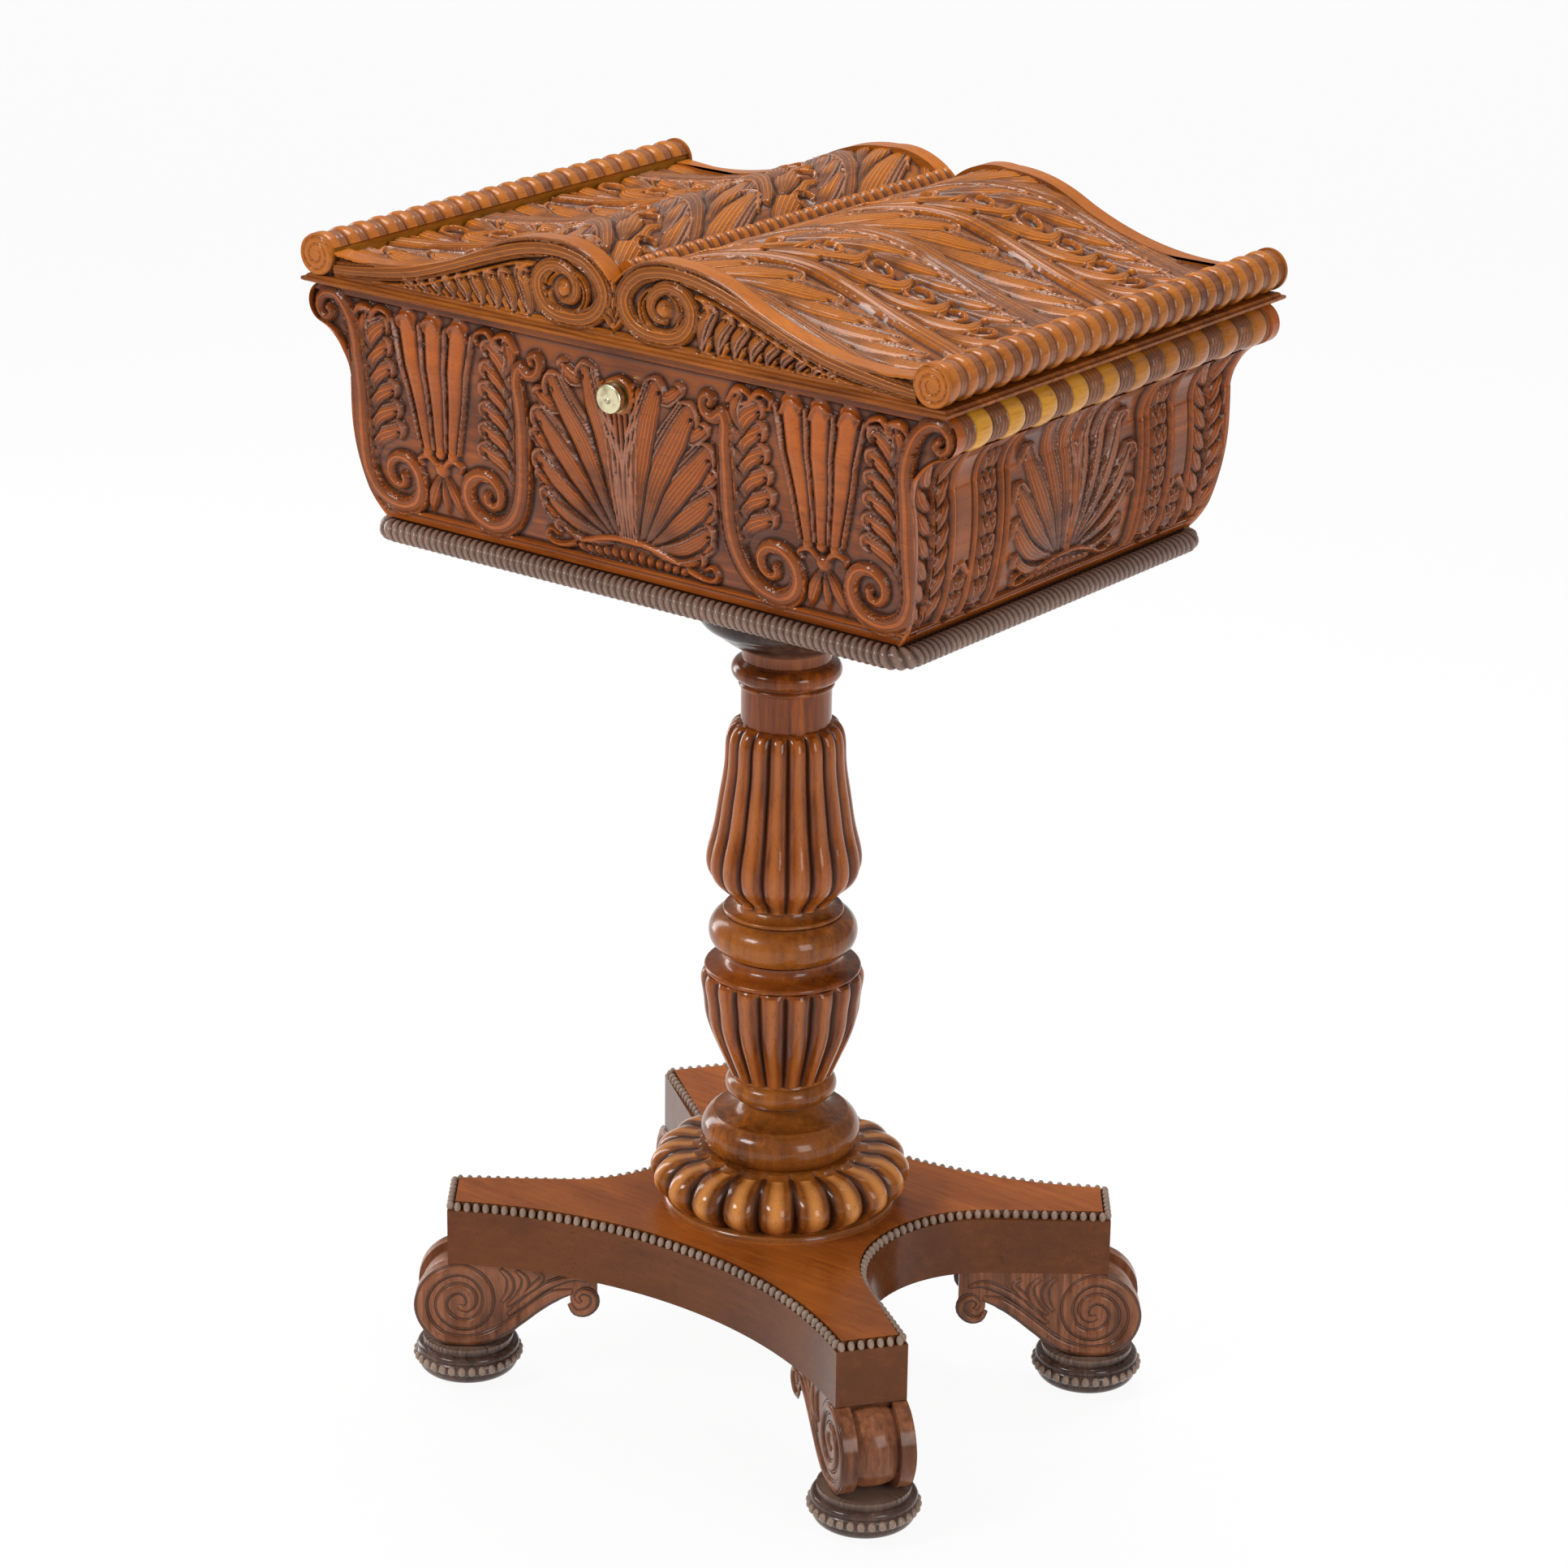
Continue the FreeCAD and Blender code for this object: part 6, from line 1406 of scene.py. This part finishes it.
def new_finish(name):
    """A new material with its short calls and its main shader."""
    material = bpy.data.materials.new(name)
    material.use_nodes = True
    return material, Nodes(material.node_tree), material.node_tree.nodes["Principled BSDF"]


# %% [markdown]
# Grain is noise that is drawn out along one axis. Wear and painted light follow the shape: crowns are
# rubbed bright, and the bottoms are darkened, as grime and as painted shade, and greyed, as dust and
# as a painted sheen. A carved piece brings its own heights and hollows, and a turned one is judged by
# how sharply its surface bends, or by the grooves that run round it.

# %% Grain, wear and painted shade
GRAIN_STRETCH = 0.07           # the streaks change this share as fast along the grain as across it
# a dark colour for hollows, which is dirt and painted shade, a grey of dust with a painted sheen for their
# sides, and a grey of dust and painted sheen for ridges
DIRT_AND_SHADE, DUST_AND_SHEEN, GREY_OF_DUST_AND_SHEEN = (0.046, 0.0125, 0.0045), (0.20, 0.135, 0.125), (0.36, 0.215, 0.165)


def grain(make, place, along, deep, body, bright, calm):
    """Colour of the bare wood, and the noises of its streaks, pores and clouds."""
    stretch = make.nodes.new("ShaderNodeMapping")
    stretch.inputs["Scale"].default_value = [GRAIN_STRETCH if axis == along else 1.0 for axis in "XYZ"]
    make.put(place, stretch.inputs["Vector"])
    run = stretch.outputs["Vector"]
    streaks, pores = make.noise(run, 210, 5, 0.62), make.noise(run, 1500, 2, 0.5)
    figure, clouds = make.noise(run, 38, 3, 0.5), make.noise(place, 16, 2, 0.5)
    colour = make.ramp(streaks, [(0.30, deep), (0.52, body), (0.74, bright)])
    colour = make.mixed(make.ramp(figure, [(0.38, 0.0), (0.66, 0.75)]), colour, deep)
    colour = make.mixed(make.ramp(clouds, [(0.42, 0.0), (0.70, 0.12 if calm else 0.55)]), colour, bright)
    return colour, streaks, pores, clouds


def carved_wear_shade_and_sheen(make):
    """Shares of rubbing, of grime with painted shade, of dust with a painted sheen and of grey, which is
    dust and painted sheen too, on a carved piece, and the ridges between its veins.
    """
    hollow, tint = make.attribute("hollow"), make.attribute("tint")
    wave = make.number("COSINE", make.number("MULTIPLY", make.attribute("vein"), 2 * math.pi))
    ridge = make.ramp(wave, [(0.0, 0.0), (0.45, 0.75), (1.0, 1.0)])
    worn = make.mixed(1.0, make.ramp(make.attribute("high"), [(0.62, 0.0), (0.95, 0.42)]),
                      make.ramp(tint, [(0.52, 0.0), (0.95, 0.85)]), "LIGHTEN")
    # painted shade, partly dirt: dark in the hollows and in the fine grooves between veins
    grime_and_shade = make.mixed(1.0, make.ramp(hollow, [(0.06, 1.0), (0.34, 0.45), (0.50, 0.0)]),
                       make.ramp(ridge, [(0.0, 0.50), (0.5, 0.10), (0.85, 0.0)]), "LIGHTEN")
    # dust with a painted sheen on the sides of the hollows
    dust_and_sheen = make.ramp(hollow, [(0.22, 0.0), (0.34, 0.30), (0.46, 0.0)])
    # grey of dust and a painted sheen where the tint is low, on ridges and rims
    grey = make.ramp(tint, [(0.05, 0.50), (0.45, 0.0)])
    return worn, grime_and_shade, dust_and_sheen, grey, ridge


def turned_wear_shade_and_sheen(make, edges, calm):
    """Shares of rubbing, of grime with painted shade and of dust with a painted sheen on a turned piece or
    board, from the sharpness of its surface.
    """
    sharp = make.nodes.new("ShaderNodeNewGeometry").outputs["Pointiness"]
    worn = make.ramp(sharp, [(0.515, 0.0), (0.57, 0.5 if edges else 0.0)])
    # painted shade, partly dirt, in concave places
    grime_and_shade = make.ramp(sharp, [(0.40, 0.0 if calm else 1.0), (0.485, 0.0)])
    # dust with a painted sheen just inside concave places
    dust_and_sheen = make.ramp(sharp, [(0.44, 0.0), (0.47, 0.0 if calm else 0.25), (0.49, 0.0)])
    return worn, grime_and_shade, dust_and_sheen


def grooved_wear_shade_and_highlight(make, place, grime_and_shade, count, end):
    """Crowns rubbed lighter, partly as a painted highlight, and bottoms of the grooves darkened as grime and
    painted shade, round a turned piece, up to the height of their end.
    """
    x, y, z = make.split(place)
    lobes = make.number("COSINE", make.number("MULTIPLY", make.number("ARCTAN2", y, x), count))
    lobes = make.number("MULTIPLY", lobes, make.number("LESS_THAN", z, end))
    # bottoms of the grooves painted dark, as dirt and painted shade
    bottoms = make.ramp(make.number("MULTIPLY", lobes, -1.0), [(0.55, 0.0), (0.93, 0.92)])
    # crowns rubbed lighter; on the gadroon partly a painted highlight
    return make.ramp(lobes, [(0.10, 0.0), (1.0, 0.78)]), make.mixed(1.0, grime_and_shade, bottoms, "LIGHTEN")


# %% [markdown]
# The finish is laid on in the order in which the years did it, with painted light mixed in: bare wood,
# rubbed crowns, dust with a painted sheen, grime with painted shade over the dust, and last the pores,
# the polish and its clear coat.

# %% Polished wood
def wood(name, along, deep, body, bright, carved=False, rubbed=(0.50, 0.115, 0.018), gloss=0.24, amber=None,
         edges=True, grooves=None, top=None, calm=False):
    """Streaked polished wood; along is the axis of its grain, carved says that the piece keeps its wear and
    its painted shade and sheen.
    Grooves gives the number of grooves round a turned piece and the height where they end, top the height
    above which the wood is painted lighter, as if lit from above, while below it the wood is painted
    darker, as if in shade. Calm wood is that of plain inner boards."""
    material, make, shader = new_finish(name)
    place = make.place()
    colour, streaks, pores, clouds = grain(make, place, along, deep, body, bright, calm)
    if carved:
        worn, grime_and_shade, dust_and_sheen, grey, ridge = carved_wear_shade_and_sheen(make)
    else:
        worn, grime_and_shade, dust_and_sheen = turned_wear_shade_and_sheen(make, edges, calm)
    if grooves:
        worn, grime_and_shade = grooved_wear_shade_and_highlight(make, place, grime_and_shade, *grooves)
    # painted light: above the height the wood is lightened towards its rubbed colour, as if lit from above,
    # and below it darkened towards its deep colour, as if in shade
    if top:
        above = make.number("GREATER_THAN", make.split(place)["Z"], top)
        colour = make.mixed(above, make.mixed(0.80, colour, deep), make.mixed(0.35, colour, rubbed))
    colour = make.mixed(worn, colour, rubbed)
    # grey of dust and a painted sheen on carved pieces
    if carved:
        colour = make.mixed(grey, colour, GREY_OF_DUST_AND_SHEEN)
    if amber:
        yellow = make.ramp(streaks, [(0.3, amber[0]), (0.7, amber[1])])
        colour = make.mixed(make.attribute("amber"), colour, yellow)
    # dust with a painted sheen, then grime with painted shade in the hollows
    colour = make.mixed(grime_and_shade, make.mixed(dust_and_sheen, colour, DUST_AND_SHEEN), DIRT_AND_SHADE)
    pore_colour = make.ramp(pores, [(0.30, 0.45), (0.42, 1.0)])
    make.put(make.mixed(0.65, colour, pore_colour, "MULTIPLY"), shader.inputs["Base Color"])
    polish = make.ramp(clouds, [(0.3, gloss - 0.05), (0.7, gloss + 0.10)])
    make.put(make.mixed(grime_and_shade, polish, (0.55, 0.55, 0.55)), shader.inputs["Roughness"])
    normal = make.bump(make.mixed(0.4, streaks, pores), 0.16, 0.0006)
    if carved:
        normal = make.bump(ridge, 0.8, 0.0011, normal)
    make.put(normal, shader.inputs["Normal"])
    shader.inputs["Specular IOR Level"].default_value = 0.18
    shader.inputs["Coat Weight"].default_value = 0.32 if edges else 0.15
    shader.inputs["Coat Roughness"].default_value = 0.09
    return material


# %% [markdown]
# Seven palettes serve the seventeen woods. The box and the reeded parts of the column are red, and the
# lid and the inner boards are warmer. Rails, plain turnings and platform are brown, the feet a browner
# shade still, and the thin trim between them is blackened, or greyed by dust. The blackened palette
# also colours the near black strips under the lines on the feet, which are painted shade.

# %% Woods of the chest, the column and the feet
RED = dict(deep=(0.080, 0.017, 0.004), body=(0.245, 0.054, 0.006), bright=(0.400, 0.100, 0.010))
WARM = dict(deep=(0.130, 0.031, 0.005), body=(0.320, 0.086, 0.008), bright=(0.480, 0.145, 0.014))
BROWN = dict(deep=(0.100, 0.027, 0.006), body=(0.270, 0.074, 0.010), bright=(0.450, 0.135, 0.016))
BLACKENED_AND_SHADE = dict(deep=(0.016, 0.008, 0.006), body=(0.055, 0.025, 0.017), bright=(0.120, 0.056, 0.036))
GREYED = dict(deep=(0.055, 0.030, 0.022), body=(0.150, 0.086, 0.060), bright=(0.290, 0.185, 0.135))
DISC = dict(deep=(0.022, 0.011, 0.008), body=(0.080, 0.042, 0.030), bright=(0.160, 0.090, 0.066))
FOOT_BROWN = dict(deep=(0.070, 0.023, 0.011), body=(0.225, 0.076, 0.032), bright=(0.390, 0.150, 0.072))
OLD_AMBER = ((0.50, 0.20, 0.016), (0.74, 0.36, 0.035))
REEDS = dict(rubbed=(0.42, 0.125, 0.028), gloss=0.17)
front_wood = wood("rosewood_front", "X", carved=True, rubbed=(0.52, 0.118, 0.012), **RED)
end_wood = wood("rosewood_end", "Y", carved=True, rubbed=(0.46, 0.108, 0.013), **RED)
lid_wood = wood("rosewood_lid", "Y", carved=True, rubbed=(0.66, 0.190, 0.012), **WARM)
scroll_wood = wood("rosewood_lid_front", "X", carved=True, rubbed=(0.58, 0.160, 0.012), **WARM)
board_wood = wood("rosewood_board", "X", edges=False, calm=True, **WARM)
rail_wood = wood("rosewood_rail", "Y", carved=True, amber=OLD_AMBER, **BROWN)
rope_wood = wood("rosewood_rope", "X", carved=True, rubbed=(0.30, 0.185, 0.135), gloss=0.3, **GREYED)
column_wood = wood("rosewood_column", "Z", rubbed=(0.62, 0.22, 0.055), gloss=0.19, **BROWN)
# the bright rubbed crowns of the gadroon are partly wear and partly a painted highlight
gadroon_wood = wood("rosewood_gadroon", "Z", rubbed=(0.74, 0.29, 0.07), gloss=0.17, grooves=(20, 0.168),
                    **BROWN)
reeded_wood = wood("rosewood_reeds", "Z", grooves=(18, 0.456), **REEDS, **RED)
vase_wood = wood("rosewood_vase", "Z", grooves=(18, 0.290), **REEDS, **RED)
neck_wood = wood("rosewood_neck", "Z", rubbed=(0.30, 0.095, 0.03), gloss=0.16, **RED)
black_wood = wood("rosewood_black", "Z", rubbed=(0.20, 0.08, 0.045), gloss=0.2, **BLACKENED_AND_SHADE)
# the platform's top is painted lighter and its sides darker, for light that falls from above
platform_wood = wood("rosewood_platform", "X", edges=False, top=0.1328, **BROWN)
foot_wood = wood("rosewood_foot", "Z", edges=False, **FOOT_BROWN)
disc_wood = wood("rosewood_disc", "Z", rubbed=(0.40, 0.26, 0.19), **DISC)
# the pale grey rubbed on the crowns of the beads is partly wear and partly a painted highlight
bead_wood = wood("rosewood_beads", "X", rubbed=(0.44, 0.31, 0.235), gloss=0.3, **GREYED)
print("wood finishes:", sum(m.name.startswith("rosewood") for m in bpy.data.materials))

# %% [markdown]
# ## Brass, steel and glass
# The button has been polished so often that its brass is pale, with greener tarnish round its rim.
# Hinges and castors see less polish and are browner. The mixing bowls are clear cut glass.

# %% Metal and glass finishes
def metal(name, clean, tarnish, share, rough):
    """Brass or steel that is tarnished in patches and finely scratched."""
    material, make, shader = new_finish(name)
    place = make.place()
    patches = make.noise(place, 180, 5, 0.6)
    tarnished = make.ramp(patches, [(share, 0.0), (share + 0.25, 0.9)])
    make.put(make.mixed(tarnished, clean, tarnish), shader.inputs["Base Color"])
    make.put(make.ramp(patches, [(0.35, rough), (0.7, rough + 0.22)]), shader.inputs["Roughness"])
    make.put(make.bump(make.noise(place, 1400, 2, 0.5), 0.12, 0.0003), shader.inputs["Normal"])
    shader.inputs["Metallic"].default_value = 1.0
    return material


def cut_glass(name):
    """Clear glass whose polish changes a little from place to place."""
    material, make, shader = new_finish(name)
    shader.inputs["Transmission Weight"].default_value = 1.0
    shader.inputs["IOR"].default_value = 1.5
    shader.inputs["Base Color"].default_value = (0.96, 0.985, 0.975, 1)
    facets = make.noise(make.place(), 140, 2)
    make.put(make.ramp(facets, [(0.3, 0.02), (0.7, 0.07)]), shader.inputs["Roughness"])
    return material


button_brass = metal("brass_button", (0.80, 0.72, 0.47), (0.36, 0.31, 0.17), 0.48, 0.20)
old_brass = metal("brass_aged", (0.62, 0.46, 0.20), (0.20, 0.13, 0.06), 0.42, 0.30)
steel = metal("steel_bright", (0.56, 0.56, 0.57), (0.23, 0.21, 0.20), 0.5, 0.28)
glass = cut_glass("cut_glass")
print("metal and glass finishes:", [m.name for m in (button_brass, old_brass, steel, glass)])

# %% [markdown]
# ## Giving every piece its finish
# The grain of each piece runs the way the joiner would have sawn it: upright in the column, along
# the length in rails and mouldings, and across the box in its front.

# %% Assign finishes
# the first finish with a word that is part of the piece's name is used
FINISHES = (
    (button_brass, ("push_button",)),
    (old_brass, ("castor", "hinge", "striker", "button_bush", "button_bracket", "catch")),
    (steel, ("button_spring", "screws")),
    (old_brass, ("pin",)),
    (glass, ("bowl",)),
    (gadroon_wood, ("gadroon",)),
    (vase_wood, ("vase",)),
    (reeded_wood, ("reeded",)),
    (neck_wood, ("neck",)),
    # the foot_shade strips are near black as painted shade; the top plate is black wood
    (black_wood, ("top_plate", "foot_shade")),
    (foot_wood, ("foot_carving",)),
    (bead_wood, ("foot_beads",)),
    (disc_wood, ("foot_disc",)),
    (scroll_wood, ("volute", "lid_crest")),
    (lid_wood, ("carved_lid", "lid_top", "valley")),
    (front_wood, ("carved_front", "carved_back")),
    (end_wood, ("carved_",)),
    (board_wood, ("lid_board", "caddy")),
    (rail_wood, ("roll", "rail")),
    (rope_wood, ("rope",)),
    (bead_wood, ("bead", "moulding")),
    (foot_wood, ("foot",)),
    (platform_wood, ("platform",)),
    (column_wood, ("column",)),
    (front_wood, ("box",)),
)


def dress(obj, material):
    """Gives a whole piece one finish."""
    obj.data.materials.clear()
    obj.data.materials.append(material)


def finish_for(name):
    """Finish of a piece, found by its name."""
    for material, words in FINISHES:
        if any(word in name for word in words):
            return material
    return column_wood


dressed = {}
for obj in bpy.data.objects:
    if obj.type == "MESH" and obj is not sweep:
        dress(obj, finish_for(obj.name))
        dressed.setdefault(obj.data.materials[0].name, []).append(obj.name)
for name, members in sorted(dressed.items()):
    print(name, len(members))

# %% [markdown]
# ## Studio light
# Polished wood shows its light as much as its colour. One broad soft lamp stands high on the left,
# a second fills from the right, a third shines from above, and a tall pale sheet at the left side
# gives the ribs and rings the long white edges that the photograph has. The floor and backdrop are
# white paper.

# %% Paper
def white_paper(name):
    """White paper; seen directly, in a mirror or through glass it stays nearly white."""
    material, make, shader = new_finish(name)
    fibres = make.noise(make.place(), 60, 3)
    make.put(make.ramp(fibres, [(0.3, 0.90), (0.7, 0.94)]), shader.inputs["Base Color"])
    shader.inputs["Roughness"].default_value = 0.9
    shader.inputs["Specular IOR Level"].default_value = 0.1
    glow = make.nodes.new("ShaderNodeEmission")
    ray = make.nodes.new("ShaderNodeLightPath").outputs
    seen = make.number("MAXIMUM", ray["Is Glossy Ray"], ray["Is Transmission Ray"])
    seen = make.number("MAXIMUM", ray["Is Camera Ray"], seen)
    both = make.nodes.new("ShaderNodeMixShader")
    make.put(make.number("MULTIPLY", seen, 0.93), both.inputs["Fac"])
    make.put(shader.outputs["BSDF"], both.inputs[1])
    make.put(glow.outputs["Emission"], both.inputs[2])
    make.put(both.outputs["Shader"], make.nodes["Material Output"].inputs["Surface"])
    return material


dress(sweep, white_paper("white_paper"))

# %% Lamps and world
AIR_LIGHT, AIR_SEEN = 0.34, 0.98


def soft_lamp(name, place, target, wide, tall, power):
    """Rectangular lamp that points at a target; metres and watts."""
    light = bpy.data.lights.new(name, "AREA")
    light.shape, light.size, light.size_y = "RECTANGLE", wide, tall
    light.energy = power
    lamp = bpy.data.objects.new(name, light)
    bpy.context.scene.collection.objects.link(lamp)
    turn = (Vector(target) - Vector(place)).to_track_quat("-Z", "Y").to_matrix().to_4x4()
    lamp.matrix_world = Matrix.Translation(place) @ turn


soft_lamp("key", (-0.9, -2.6, 2.3), (0, 0, 0.55), 1.0, 0.75, 50)
soft_lamp("fill", (2.9, -0.9, 1.3), (0, 0, 0.45), 1.0, 1.6, 30)
soft_lamp("top", (-0.2, 0.5, 2.9), (0, 0, 0.5), 1.3, 1.3, 52)
soft_lamp("left_sheet", (-2.2, 0.2, 0.9), (0, 0, 0.5), 0.5, 2.0, 20)
world = bpy.data.worlds.new("studio_world")
bpy.context.scene.world = world
world.use_nodes = True
air = Nodes(world.node_tree)
background = air.nodes["Background"]
background.inputs["Color"].default_value = (1, 1, 1, 1)
seen = air.nodes.new("ShaderNodeLightPath").outputs["Is Camera Ray"]
strength = air.number("ADD", air.number("MULTIPLY", seen, AIR_SEEN - AIR_LIGHT), AIR_LIGHT)
air.put(strength, background.inputs["Strength"])
bpy.context.scene.view_settings.view_transform = "Standard"

# %% Record the sizes and close the scene
size["finished"] = [list(corner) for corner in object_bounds()]
print("sizes:", size)
